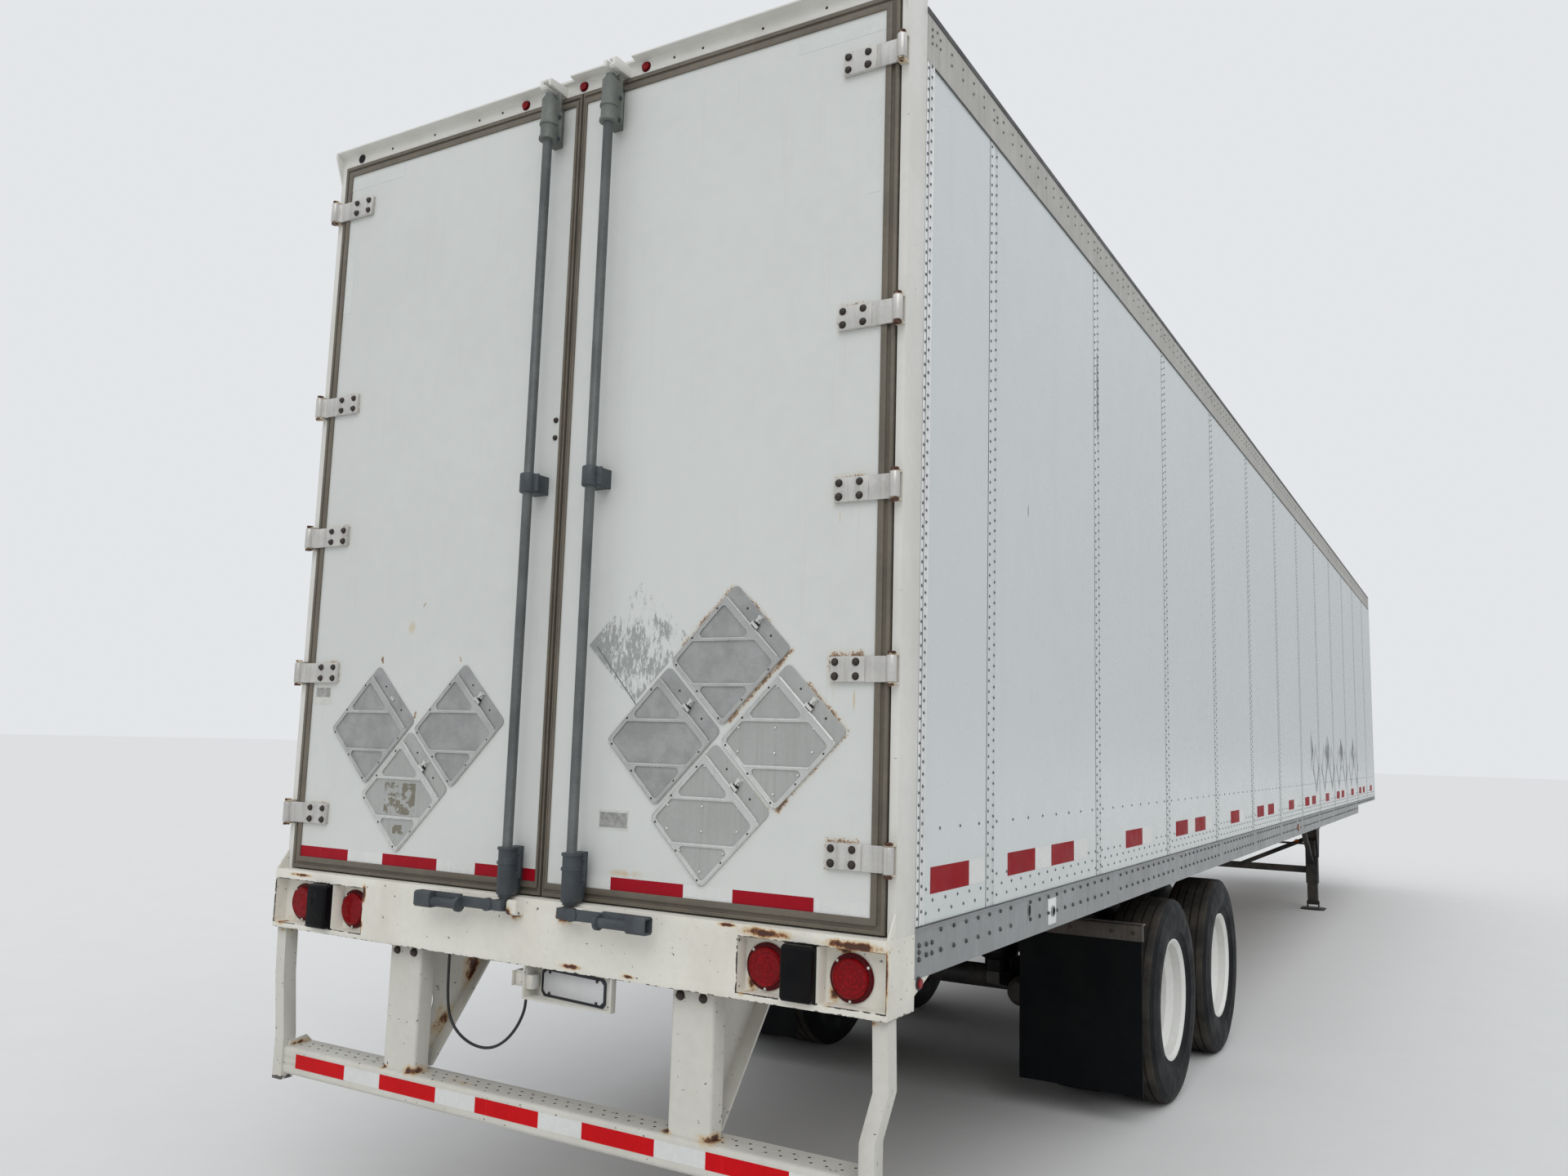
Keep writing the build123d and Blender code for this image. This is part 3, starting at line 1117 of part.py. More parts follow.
def rear_guard():
    """Two posts with pierced braces, a rounded box bar across, a bent strut at each end and a tab on the bar's left."""
    back = GUARD_Y
    half = GUARD_POST_WIDTH / 2
    front = back + GUARD_POST_DEPTH
    post = block(GUARD_X - half, GUARD_X + half, back, front, GUARD_BAR_TOP, SILL_BOTTOM)
    post = fillet(post.edges().filter_by(Axis.Z).group_by(Axis.Y)[0], GUARD_POST_ROUND)
    high = BEAM_BOTTOM - BRACE_PLATE
    toe = front + BRACE_TOE
    web_x = GUARD_X - BRACE_WEB
    brace = slab_x([(front, GUARD_BAR_TOP), (front, high), (BRACE_FOOT_Y, high), (toe, GUARD_BAR_TOP)],
                   web_x, web_x + BRACE_WEB)
    brace -= rod_x(web_x - 1, web_x + BRACE_WEB + 1, front + BRACE_HOLE_AHEAD, BRACE_HOLE_Z, BRACE_HOLE_R)
    brace += block(GUARD_X - BRACE_HALF, GUARD_X + BRACE_HALF, front, BRACE_FOOT_Y + BRACE_TOE, high, BEAM_BOTTOM)
    brace += slab_x([(toe, GUARD_BAR_TOP), (BRACE_FOOT_Y, high), (BRACE_FOOT_Y + 12, high), (toe + 12, GUARD_BAR_TOP)],
                    GUARD_X - BRACE_HALF, GUARD_X + BRACE_HALF)
    low = GUARD_BAR_TOP - GUARD_BAR_HEIGHT
    bar_back = GUARD_BAR_BACK
    bar = block(-GUARD_BAR_HALF, GUARD_BAR_HALF, bar_back, bar_back + GUARD_BAR_DEPTH, low, GUARD_BAR_TOP)
    bar = fillet(bar.edges().filter_by(Axis.X).group_by(Axis.Y)[0], GUARD_BAR_ROUND)
    for share in (0.38, 0.62):
        z = low + share * GUARD_BAR_HEIGHT
        bar -= block(-GUARD_BAR_HALF - 1, GUARD_BAR_HALF + 1, bar_back - 1, bar_back + GUARD_GROOVE, z - 4, z + 4)
    tab_back = bar_back + GUARD_BAR_ROUND
    tab_front = bar_back + GUARD_BAR_DEPTH
    tab = slab_x([(tab_back, GUARD_BAR_TOP), (tab_back + 4, GUARD_BAR_TOP + BAR_TAB * 0.6),
                  (tab_front - BAR_TAB, GUARD_BAR_TOP + BAR_TAB), (tab_front, GUARD_BAR_TOP)],
                 -GUARD_BAR_HALF, -GUARD_BAR_HALF + BRACE_PLATE)
    guard = bar + tab + post + brace + other_side(post + brace)
    guard += strut("right") + other_side(strut("left"))
    return guard


def strut(side_name):
    """A square tube from the sill's end down past the bar's end, bent on the way."""
    w = STRUT_WIDTH / 2
    low = GUARD_BAR_TOP - GUARD_BAR_HEIGHT - STRUT_END
    rows = list(STRUT_BENDS[side_name]) + [(low, STRUT_LOW_X)]
    points = [(x + w, z) for z, x in rows] + [(x - w, z) for z, x in reversed(rows)]
    return slab_y(points, STRUT_Y, STRUT_Y + STRUT_DEPTH)


def plate_holder():
    """A slanting back plate between two walls and a lip, a lamp on the left wall and a terminal box outside it."""
    t = PLATE_THICK
    z1 = SILL_BOTTOM
    z0 = z1 - PLATE_HEIGHT
    x0, x1 = PLATE_LEFT, PLATE_RIGHT
    holder = block(x0 - t, x0, PLATE_BACK, PLATE_DEEP, z0, z1)
    holder += block(x1, x1 + t, PLATE_BACK, PLATE_SHALLOW, z0, z1)
    holder += slab_z([(x0, PLATE_DEEP - t), (x1, PLATE_SHALLOW - t), (x1, PLATE_SHALLOW), (x0, PLATE_DEEP)], z0, z1)
    holder += slab_z([(x0 - t, PLATE_BACK), (x1 + t, PLATE_BACK), (x1 + t, PLATE_SHALLOW), (x0, PLATE_DEEP),
                      (x0 - t, PLATE_DEEP)], z0, z0 + t)
    lamp_z = (z0 + z1) / 2
    holder += block(x0, x0 + PLATE_LAMP, PLATE_BACK + 2 * t, PLATE_DEEP - 3 * t, lamp_z - PLATE_LAMP, lamp_z + PLATE_LAMP)
    box_top = z1 - BOX_DROP
    box_y = WIRE_END_Y - BOX_DEPTH / 2
    box = block(x0 - t - BOX_WIDTH, x0 - t, box_y - BOX_DEPTH / 4, box_y + BOX_DEPTH * 0.75, box_top - BOX_HEIGHT, box_top)
    box = chamfer(box.edges().filter_by(Axis.Z).group_by(Axis.X)[0], t)
    return holder + box


def red_lamps():
    """Round red lamps: three on the header and one below each rail's rear end, with its bracket."""
    lamps = []
    z = (HEADER_BOTTOM + HEADER_TOP - GUTTER_THICK) / 2
    for x in MARKER_XS:
        lamps.append(rod_y(x, -MARKER_REACH, 0, z, MARKER_R))
    side = rod_x(HALF_WIDTH, HALF_WIDTH + MARKER_REACH, SIDE_MARKER_Y, SIDE_MARKER_Z, MARKER_R)
    lamps += [side, other_side(side)]
    return Compound(children=lamps)


def amber_lamps():
    """Amber lamps: mid length on each rail, on the nose's upper corners and on the landing gear's diagonals."""
    lamps = []
    side = rod_x(HALF_WIDTH, HALF_WIDTH + MARKER_REACH, MID_MARKER_Y, (RAIL_BOTTOM + PANEL_BOTTOM) / 2, 22)
    nose = rod_y(HALF_WIDTH - NOSE_RADIUS - 60, BODY_LENGTH, BODY_LENGTH + MARKER_REACH, BODY_TOP - 70, 22)
    gear = rod_y(GEAR_LAMP_X, LEG_Y - CROSS_DEPTH / 2 - 22, LEG_Y - CROSS_DEPTH / 2, GEAR_LAMP_Z, 26)
    for lamp in (side, nose, gear):
        lamps += [lamp, other_side(lamp)]
    return Compound(children=lamps)


def mud_flaps():
    """A rubber flap behind each rear pair of tyres."""
    flap = block(FLAP_IN, FLAP_OUT, FLAP_Y, FLAP_Y + FLAP_THICK, FLAP_BOTTOM, FLAP_TOP)
    return both_sides(flap)


def flap_brackets():
    """An angle bar behind each flap's top, out from the slider rail."""
    y0 = FLAP_Y + FLAP_THICK
    bar = block(SLIDER_X + SLIDER_WIDTH / 2, FLAP_OUT + 6, y0, y0 + 6, FLAP_BAR_TOP - 80, FLAP_BAR_TOP)
    bar += block(SLIDER_X + SLIDER_WIDTH / 2, FLAP_OUT + 6, y0, y0 + FLAP_BAR, FLAP_BAR_TOP - 6, FLAP_BAR_TOP)
    return both_sides(bar)


def nose_box():
    """A shallow box on the nose wall that carries the couplers and the socket."""
    half = NOSE_BOX_WIDTH / 2
    box = block(-half, half, BODY_LENGTH, BODY_LENGTH + NOSE_BOX_REACH, NOSE_BOX_Z - NOSE_BOX_HEIGHT / 2,
                NOSE_BOX_Z + NOSE_BOX_HEIGHT / 2)
    return chamfer(box.edges().filter_by(Axis.Y), 20)


def air_couplers():
    """Two quick couplers for the brake hoses, each a stem and a flat face with an open port."""
    pieces = []
    y0 = BODY_LENGTH + NOSE_BOX_REACH
    for x in (-COUPLER_X, COUPLER_X):
        body = rod_y(x, y0, BODY_LENGTH + GLAD_REACH - 22, NOSE_BOX_Z, 16)
        body += block(x - GLAD_R, x + GLAD_R, BODY_LENGTH + GLAD_REACH - 22, BODY_LENGTH + GLAD_REACH, NOSE_BOX_Z - 26,
                      NOSE_BOX_Z + 26)
        body -= rod_y(x, BODY_LENGTH + GLAD_REACH - 12, BODY_LENGTH + GLAD_REACH + 1, NOSE_BOX_Z, 11)
        pieces.append(body)
    return Compound(children=pieces)


def electric_socket():
    """A round socket with a hinged cover."""
    y0 = BODY_LENGTH + NOSE_BOX_REACH
    y1 = BODY_LENGTH + SOCKET_REACH
    body = rod_y(0, y0, y1, NOSE_BOX_Z, SOCKET_R)
    body += block(-24, 24, y0, y1 + 4, NOSE_BOX_Z + SOCKET_R - 6, NOSE_BOX_Z + SOCKET_R + 12)
    return body


def wire():
    """The wire that hangs in a loop from the clip on the sill to the terminal box."""
    points = [Vector(*p) for p in WIRE_POINTS]
    radii = []
    for a, b, c in zip(points, points[1:], points[2:]):
        turn = (b - a).get_angle(c - b)
        run = min((b - a).length, (c - b).length)
        radii.append(0.45 * run / tan(radians(turn / 2)))
    print("wire radii", [round(r) for r in radii])
    path = FilletPolyline(*points, radius=radii)
    print("wire length", round(path.length))
    section = Plane(origin=path @ 0, z_dir=path % 0) * Circle(WIRE_R)
    tube = sweep(section, path)
    print("wire volume share", round(tube.volume / (section.area * path.length), 4))
    return tube


def write(node, shape):
    """One STEP file for a node, moved so that the length is centred on the origin."""
    export_step(Pos(0, Y_SHIFT, 0) * shape, os.path.join("parts", node + ".step"))


def main():
    os.makedirs("parts", exist_ok=True)
    right_wall = side_wall()
    fixed = {
        "rear_frame": rear_frame(),
        "rear_sill": rear_sill(),
        "tail_lamps": tail_lamps(),
        "dock_bumpers": dock_bumpers(),
        "side_wall_right": right_wall,
        "side_wall_left": other_side(right_wall),
        "top_rails": top_rails(),
        "bottom_rails": bottom_rails(),
        "roof": roof(),
        "front_wall": front_wall(),
        "floor": floor(),
        "crossmembers": crossmembers(),
        "upper_coupler": upper_coupler(),
        "kingpin": kingpin(),
        "landing_legs": landing_legs(),
        "landing_braces": landing_braces(),
        "landing_struts": landing_struts(),
        "landing_crank": landing_crank(),
        "body_rails": body_rails(),
        "bogie_frame": bogie_frame(),
        "axles": axles(),
        "air_springs": air_springs(),
        "brake_chambers": brake_chambers(),
        "shock_absorbers": shock_absorbers(),
        "air_tank": air_tank(),
        "rear_guard": rear_guard(),
        "plate_holder": plate_holder(),
        "red_lamps": red_lamps(),
        "amber_lamps": amber_lamps(),
        "mud_flaps": mud_flaps(),
        "flap_brackets": flap_brackets(),
        "nose_box": nose_box(),
        "air_couplers": air_couplers(),
        "electric_socket": electric_socket(),
        "hinge_butts": hinge_butts(),
        "plate_lamp_wire": wire(),
    }
    for node, shape in fixed.items():
        write(node, shape)
    for name, side in (("left", -1), ("right", 1)):
        write("door_panel_" + name, door_panel(side))
        write("door_edge_" + name, door_edge(side))
        write("door_hinges_" + name, door_hinges(side))
        write("door_lock_" + name, door_lock(name))
        write("door_placards_" + name, door_placards(name))
        for place, y in AXLES.items():
            write(f"tyres_{place}_{name}", tyres(y, side))
            write(f"wheel_{place}_{name}", wheel(y, side))


main()
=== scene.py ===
import logging
from dataclasses import dataclass, field
from enum import Enum
from math import cos, hypot, inf, pi, radians, sin, tan
from typing import Callable, Iterable, Sequence

import bmesh
import bpy
from mathutils import Matrix, Quaternion, Vector


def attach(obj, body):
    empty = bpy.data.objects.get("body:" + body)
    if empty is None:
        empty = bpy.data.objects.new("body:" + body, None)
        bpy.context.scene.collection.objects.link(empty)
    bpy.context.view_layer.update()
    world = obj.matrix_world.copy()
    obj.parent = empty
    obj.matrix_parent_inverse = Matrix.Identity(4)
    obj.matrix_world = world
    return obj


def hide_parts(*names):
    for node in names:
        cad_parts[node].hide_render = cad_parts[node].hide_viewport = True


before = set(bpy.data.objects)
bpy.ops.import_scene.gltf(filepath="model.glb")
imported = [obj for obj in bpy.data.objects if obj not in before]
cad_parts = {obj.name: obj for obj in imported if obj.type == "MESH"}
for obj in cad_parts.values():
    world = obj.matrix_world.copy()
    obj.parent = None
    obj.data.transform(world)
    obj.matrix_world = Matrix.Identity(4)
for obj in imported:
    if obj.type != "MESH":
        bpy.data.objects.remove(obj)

log = logging.getLogger("trailer")

Point = tuple[float, float, float]
Pair = tuple[float, float]
Colour = tuple[float, float, float]
Socket = bpy.types.NodeSocket
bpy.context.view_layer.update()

# The classes below use millimetres, with y = 0 on the rear face of the door posts.
MILLIMETRE = 0.001
POST_FACE = -8.035

HALF_WIDTH = 1295.5
WALL_FACE = 1291.5
LENGTH = 16154.0
RAIL_TOP = 1257.0
TOP_RAIL_LOW = 3930.0
DOOR_FACE = -4.0
DOOR_BOTTOM = 1246.0
DOOR_TOP = 4086.0
SILL_FACE = -48.0
AXLE_Z = 508.0
AXLE_YS = {"rear": 3480.0, "front": 4725.0}
SEAMS = tuple(700.0 + 1288.0 * i for i in range(12))
LOCK_XS = {"left": -95.0, "right": 182.0}
ROD_Y = -74.0
HINGE_SHARES = (0.0736, 0.2623, 0.4507, 0.6384, 0.9303)
HINGE_ZS = tuple(DOOR_BOTTOM + share * (DOOR_TOP - DOOR_BOTTOM) for share in HINGE_SHARES)

SIDES = (-1, 1)
HALF_ROOT = 0.5 ** 0.5
REARWARDS: Point = (0.0, -1.0, 0.0)
FORWARDS: Point = (0.0, 1.0, 0.0)
UPWARDS: Point = (0.0, 0.0, 1.0)


def metres(x: float, y: float, z: float) -> Vector:
    """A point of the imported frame, in metres, for one in the classes' millimetres."""
    return Vector((x * MILLIMETRE, y * MILLIMETRE + POST_FACE, z * MILLIMETRE))


def depth(y: float) -> float:
    """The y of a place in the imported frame, in metres, for one in the classes' millimetres."""
    return metres(0.0, y, 0.0).y


def srgb(red: int, green: int, blue: int) -> Colour:
    """The linear colour of three screen values from 0 to 255."""
    def one(value: int) -> float:
        """One channel's linear value."""
        share = value / 255
        return share / 12.92 if share <= 0.04045 else ((share + 0.055) / 1.055) ** 2.4
    return one(red), one(green), one(blue)


class Body(Enum):
    """The CAD bodies that a piece may ride on."""

    FIXED = "body"
    DOOR_LEFT = "door_left"
    DOOR_RIGHT = "door_right"
    WHEELS_REAR_LEFT = "wheels_rear_left"
    WHEELS_REAR_RIGHT = "wheels_rear_right"
    WHEELS_FRONT_LEFT = "wheels_front_left"
    WHEELS_FRONT_RIGHT = "wheels_front_right"


class Slot(Enum):
    """The record's material slots that the pieces here use."""

    COMPOSITE = "white_composite"
    PAINT = "white_paint"
    DOOR = "door_skin"
    SEAL = "seal_rubber"
    ALUMINIUM = "grey_aluminium"
    GALVANISED = "galvanised"
    LOCK = "lock_paint"
    BLACK_STEEL = "black_steel"
    RED = "red_lens"
    RUBBER = "black_rubber"
    TYRE = "tyre_rubber"
    CAST = "cast_parts"
    PLASTIC = "dark_plastic"


class Graph:
    """The node tree of one material. Its methods return sockets, and take sockets or plain numbers."""

    def __init__(self, name: str) -> None:
        """Starts a material with a Principled shader and Object coordinates.

        Args:
            name: The material's name.
        """
        self.material = bpy.data.materials.new(name)
        self.material.use_nodes = True
        self.tree = self.material.node_tree
        self.tree.nodes.clear()
        output = self.tree.nodes.new("ShaderNodeOutputMaterial")
        self.shader = self.tree.nodes.new("ShaderNodeBsdfPrincipled")
        self.tree.links.new(self.shader.outputs["BSDF"], output.inputs["Surface"])
        self.place = self.tree.nodes.new("ShaderNodeTexCoord").outputs["Object"]

    def feed(self, target: Socket, value: object) -> None:
        """Links a socket to an input, or sets the input's own value."""
        if isinstance(value, bpy.types.NodeSocket):
            self.tree.links.new(value, target)
        elif isinstance(value, tuple) and len(value) == 3 and target.type == "RGBA":
            target.default_value = (*value, 1.0)
        else:
            target.default_value = value

    def math(self, operation: str, *values: object) -> Socket:
        """One Math node.

        Args:
            operation: The node's operation, such as MULTIPLY.
            values: Its inputs in order.

        Returns:
            The result's socket.
        """
        node = self.tree.nodes.new("ShaderNodeMath")
        node.operation = operation
        for target, value in zip(node.inputs, values):
            self.feed(target, value)
        return node.outputs[0]

    def plus(self, first: object, second: object) -> Socket:
        """The sum of two values."""
        return self.math("ADD", first, second)

    def minus(self, first: object, second: object) -> Socket:
        """The first value less the second."""
        return self.math("SUBTRACT", first, second)

    def times(self, first: object, second: object) -> Socket:
        """The product of two values."""
        return self.math("MULTIPLY", first, second)

    def size(self, value: object) -> Socket:
        """A value without its sign."""
        return self.math("ABSOLUTE", value)

    def length(self, across: object, up: object) -> Socket:
        """The length of the long side of a right triangle."""
        return self.math("SQRT", self.plus(self.times(across, across), self.times(up, up)))

    def vector(self, operation: str, first: object, second: object) -> bpy.types.Node:
        """One Vector Math node with two inputs."""
        node = self.tree.nodes.new("ShaderNodeVectorMath")
        node.operation = operation
        self.feed(node.inputs[0], first)
        self.feed(node.inputs[1], second)
        return node

    def axes(self) -> tuple[Socket, Socket, Socket]:
        """The x, y and z of the Object coordinates, in metres."""
        node = self.tree.nodes.new("ShaderNodeSeparateXYZ")
        self.feed(node.inputs[0], self.place)
        return node.outputs[0], node.outputs[1], node.outputs[2]

    def stretched(self, stretch: Point, shift: Point = (0.0, 0.0, 0.0)) -> Socket:
        """Object coordinates scaled by a factor along each axis."""
        node = self.tree.nodes.new("ShaderNodeMapping")
        self.feed(node.inputs["Vector"], self.place)
        node.inputs["Scale"].default_value = stretch
        node.inputs["Location"].default_value = shift
        return node.outputs[0]

    def noise(self, scale: float, detail: float = 3.0, stretch: Point = (1.0, 1.0, 1.0), shift: float = 0.0,
              rough: float = 0.55) -> Socket:
        """Noise from about 0.2 to 0.8.

        Args:
            scale: Cells to a metre.
            detail: Octaves.
            stretch: Factors along the axes.
            shift: Moves the pattern, so that two noises differ.
            rough: The share of each finer octave.

        Returns:
            The noise's value.
        """
        node = self.tree.nodes.new("ShaderNodeTexNoise")
        self.feed(node.inputs["Vector"], self.stretched(stretch, (shift, shift, shift)))
        node.inputs["Scale"].default_value = scale
        node.inputs["Detail"].default_value = detail
        node.inputs["Roughness"].default_value = rough
        return node.outputs[0]

    def cells(self, scale: float, stretch: Point = (1.0, 1.0, 1.0)) -> Socket:
        """The distance to the nearest point of a cell pattern."""
        node = self.tree.nodes.new("ShaderNodeTexVoronoi")
        self.feed(node.inputs["Vector"], self.stretched(stretch))
        node.inputs["Scale"].default_value = scale
        return node.outputs["Distance"]

    def span(self, value: object, low: float, high: float, start: float = 0.0, end: float = 1.0) -> Socket:
        """A smooth step from start, at low, to end, at high."""
        node = self.tree.nodes.new("ShaderNodeMapRange")
        node.interpolation_type = "SMOOTHSTEP"
        turned = low > high
        limits = (high, low, end, start) if turned else (low, high, start, end)
        self.feed(node.inputs[0], value)
        for target, limit in zip(node.inputs[1:5], limits):
            target.default_value = limit
        return node.outputs[0]

    def blend(self, share: object, first: object, second: object) -> Socket:
        """A colour from first, at 0, to second, at 1."""
        node = self.tree.nodes.new("ShaderNodeMix")
        node.data_type = "RGBA"
        for target, value in zip((node.inputs[0], node.inputs[6], node.inputs[7]), (share, first, second)):
            self.feed(target, value)
        return node.outputs[2]

    def bump(self, height: Socket, strength: float, distance: float, under: Socket | None = None) -> Socket:
        """A bumped normal.

        Args:
            height: The relief.
            strength: How much of it shows.
            distance: The relief's height in metres.
            under: A normal to add it to.

        Returns:
            The normal's socket.
        """
        node = self.tree.nodes.new("ShaderNodeBump")
        node.inputs["Strength"].default_value = strength
        node.inputs["Distance"].default_value = distance
        self.feed(node.inputs["Height"], height)
        if under is not None:
            self.feed(node.inputs["Normal"], under)
        return node.outputs[0]

    def nearness(self, spots: Sequence["Spot"]) -> Socket:
        """How near a place is to the nearest spot: 1 at its middle, 0 on its edge, below 0 outside.

        Args:
            spots: Ellipsoids, each with a centre and half sizes.

        Returns:
            The value's socket.
        """
        nearest: Socket | None = None
        for spot in spots:
            away = self.vector("SUBTRACT", self.place, tuple(metres(*spot.centre)))
            scaled = self.vector("DIVIDE", away.outputs[0], tuple(size * MILLIMETRE for size in spot.half))
            length = self.vector("LENGTH", scaled.outputs[0], (0.0, 0.0, 0.0)).outputs["Value"]
            nearest = length if nearest is None else self.math("MINIMUM", nearest, length)
        return self.minus(1.0, nearest)

    def alongside(self, marks: Sequence["Mark"]) -> Socket:
        """How near a place is to the nearest mark: its strength on its line, 0 at its width.

        Args:
            marks: Lines across the x and z axes.

        Returns:
            The value's socket.
        """
        x, _, z = self.axes()
        nearest: Socket | None = None
        for mark in marks:
            (x0, z0), (x1, z1) = mark.start, mark.end
            dx, dz = (x1 - x0) * MILLIMETRE, (z1 - z0) * MILLIMETRE
            ax, az = self.minus(x, x0 * MILLIMETRE), self.minus(z, z0 * MILLIMETRE)
            square = dx * dx + dz * dz
            share = self.plus(self.times(ax, dx / square), self.times(az, dz / square))
            share = self.math("MINIMUM", self.math("MAXIMUM", share, 0.0), 1.0)
            gx = self.minus(ax, self.times(share, dx))
            gz = self.minus(az, self.times(share, dz))
            gap = self.length(gx, gz)
            near = self.minus(mark.strength, self.times(gap, mark.strength / (mark.width * MILLIMETRE)))
            nearest = near if nearest is None else self.math("MAXIMUM", nearest, near)
        return nearest

    def outside(self, middle: Pair, half: Pair, turned: bool = False, mirrored: bool = False) -> Socket:
        """The distance outside an upright rectangle's edge across x and z, below 0 inside it, in metres.

        Args:
            middle: The rectangle's middle in millimetres.
            half: Its half sizes, along and across.
            turned: Whether it stands on its corner, turned by 45 degrees.
            mirrored: Whether the same rectangle is on both sides of x = 0.

        Returns:
            The distance's socket.
        """
        x, _, z = self.axes()
        across = self.minus(self.size(x) if mirrored else x, middle[0] * MILLIMETRE)
        up = self.minus(z, middle[1] * MILLIMETRE)
        if turned:
            across, up = (self.times(self.plus(across, up), HALF_ROOT), self.times(self.minus(up, across), HALF_ROOT))
        return self.math("MAXIMUM", self.minus(self.size(across), half[0] * MILLIMETRE),
                         self.minus(self.size(up), half[1] * MILLIMETRE))


@dataclass(frozen=True)
class Mark:
    """A line of rust or wear across a door, in millimetres."""

    start: Pair
    end: Pair
    width: float
    strength: float = 1.0


@dataclass(frozen=True)
class Spot:
    """A place that weather or wear has marked, as an ellipsoid in millimetres."""

    centre: Point
    half: Point


RUST_DARK = srgb(72, 36, 20)
RUST_BRIGHT = srgb(186, 112, 52)
BARE_STEEL = srgb(52, 47, 44)
ROAD_DUST = srgb(128, 117, 103)
WALL_STREAK = srgb(180, 184, 182)
WALL_DIRT = srgb(160, 158, 150)
SEAM_RUB = srgb(96, 100, 102)
SCRATCH_DARK = srgb(40, 40, 40)
OLD_MARK = srgb(62, 66, 70)
DOOR_STREAK = srgb(168, 166, 156)
DOOR_STAIN = srgb(196, 170, 120)
RESIDUE_GREY = srgb(136, 139, 137)
DOOR_SCRATCH = srgb(96, 98, 98)
RUST_PALE = srgb(164, 124, 80)
RUST_BROWN = srgb(88, 58, 38)
RUST_TINGE = srgb(200, 176, 132)
GRIME = srgb(176, 166, 146)
RUST_RIM = srgb(198, 164, 104)
SPOT_BROWN = srgb(92, 66, 46)
GLUE_GREY = srgb(122, 117, 100)
WOOD_DARK = srgb(96, 62, 36)
WOOD_JOINT = srgb(40, 26, 18)
WOOD_GRAIN = srgb(122, 90, 60)
MADE: dict[str, bpy.types.Material] = {}


@dataclass(frozen=True)
class Finish:
    """A surface: its colour, gloss, uneven tone and fine relief."""

    name: str
    colour: Colour
    roughness: float = 0.5
    metallic: float = 0.0
    tone: float = 0.10
    tone_scale: float = 2.5
    dust: float = 0.0
    grain: float = 0.15
    grain_scale: float = 180.0
    grain_stretch: Point = (1.0, 1.0, 1.0)
    specular: float = 0.5

    def material(self) -> bpy.types.Material:
        """The finish's material, made once."""
        if self.name not in MADE:
            MADE[self.name] = self.build()
        return MADE[self.name]

    def build(self) -> bpy.types.Material:
        """Makes the material.

        Returns:
            A material of nodes.
        """
        graph = Graph(self.name)
        colour = self.dress(graph, self.base(graph))
        graph.feed(graph.shader.inputs["Base Color"], colour)
        graph.feed(graph.shader.inputs["Roughness"], self.gloss(graph))
        graph.shader.inputs["Metallic"].default_value = self.metallic
        graph.shader.inputs["Specular IOR Level"].default_value = self.specular
        graph.feed(graph.shader.inputs["Normal"], self.relief(graph))
        self.extra(graph)
        return graph.material

    def base(self, graph: Graph) -> Socket:
        """The colour with its uneven tone and dust."""
        dark = tuple(value * (1 - self.tone) for value in self.colour)
        light = tuple(min(1.0, value * (1 + self.tone * 0.6)) for value in self.colour)
        wide = graph.noise(self.tone_scale, 4.0)
        fine = graph.noise(self.tone_scale * 14, 3.0, shift=7.0)
        mixed = graph.plus(graph.times(wide, 0.65), graph.times(fine, 0.35))
        colour = graph.blend(graph.span(mixed, 0.36, 0.64), dark, light)
        if self.dust > 0:
            share = graph.span(graph.noise(5.0, 5.0, shift=3.0), 0.38, 0.72, 0.0, self.dust)
            colour = graph.blend(share, colour, ROAD_DUST)
        return colour

    def dress(self, graph: Graph, colour: Socket) -> Socket:
        """What lies over the base colour: nothing, unless a kind of finish adds it."""
        return colour

    def gloss(self, graph: Graph) -> Socket:
        """The roughness, a little uneven."""
        return graph.span(graph.noise(9.0, 3.0, shift=11.0), 0.3, 0.7, self.roughness * 0.85,
                          min(1.0, self.roughness * 1.15))

    def relief(self, graph: Graph) -> Socket:
        """The fine relief's normal."""
        return graph.bump(graph.noise(self.grain_scale, 3.0, self.grain_stretch), self.grain, 0.001)

    def extra(self, graph: Graph) -> None:
        """Sets shader values that only some finishes have."""


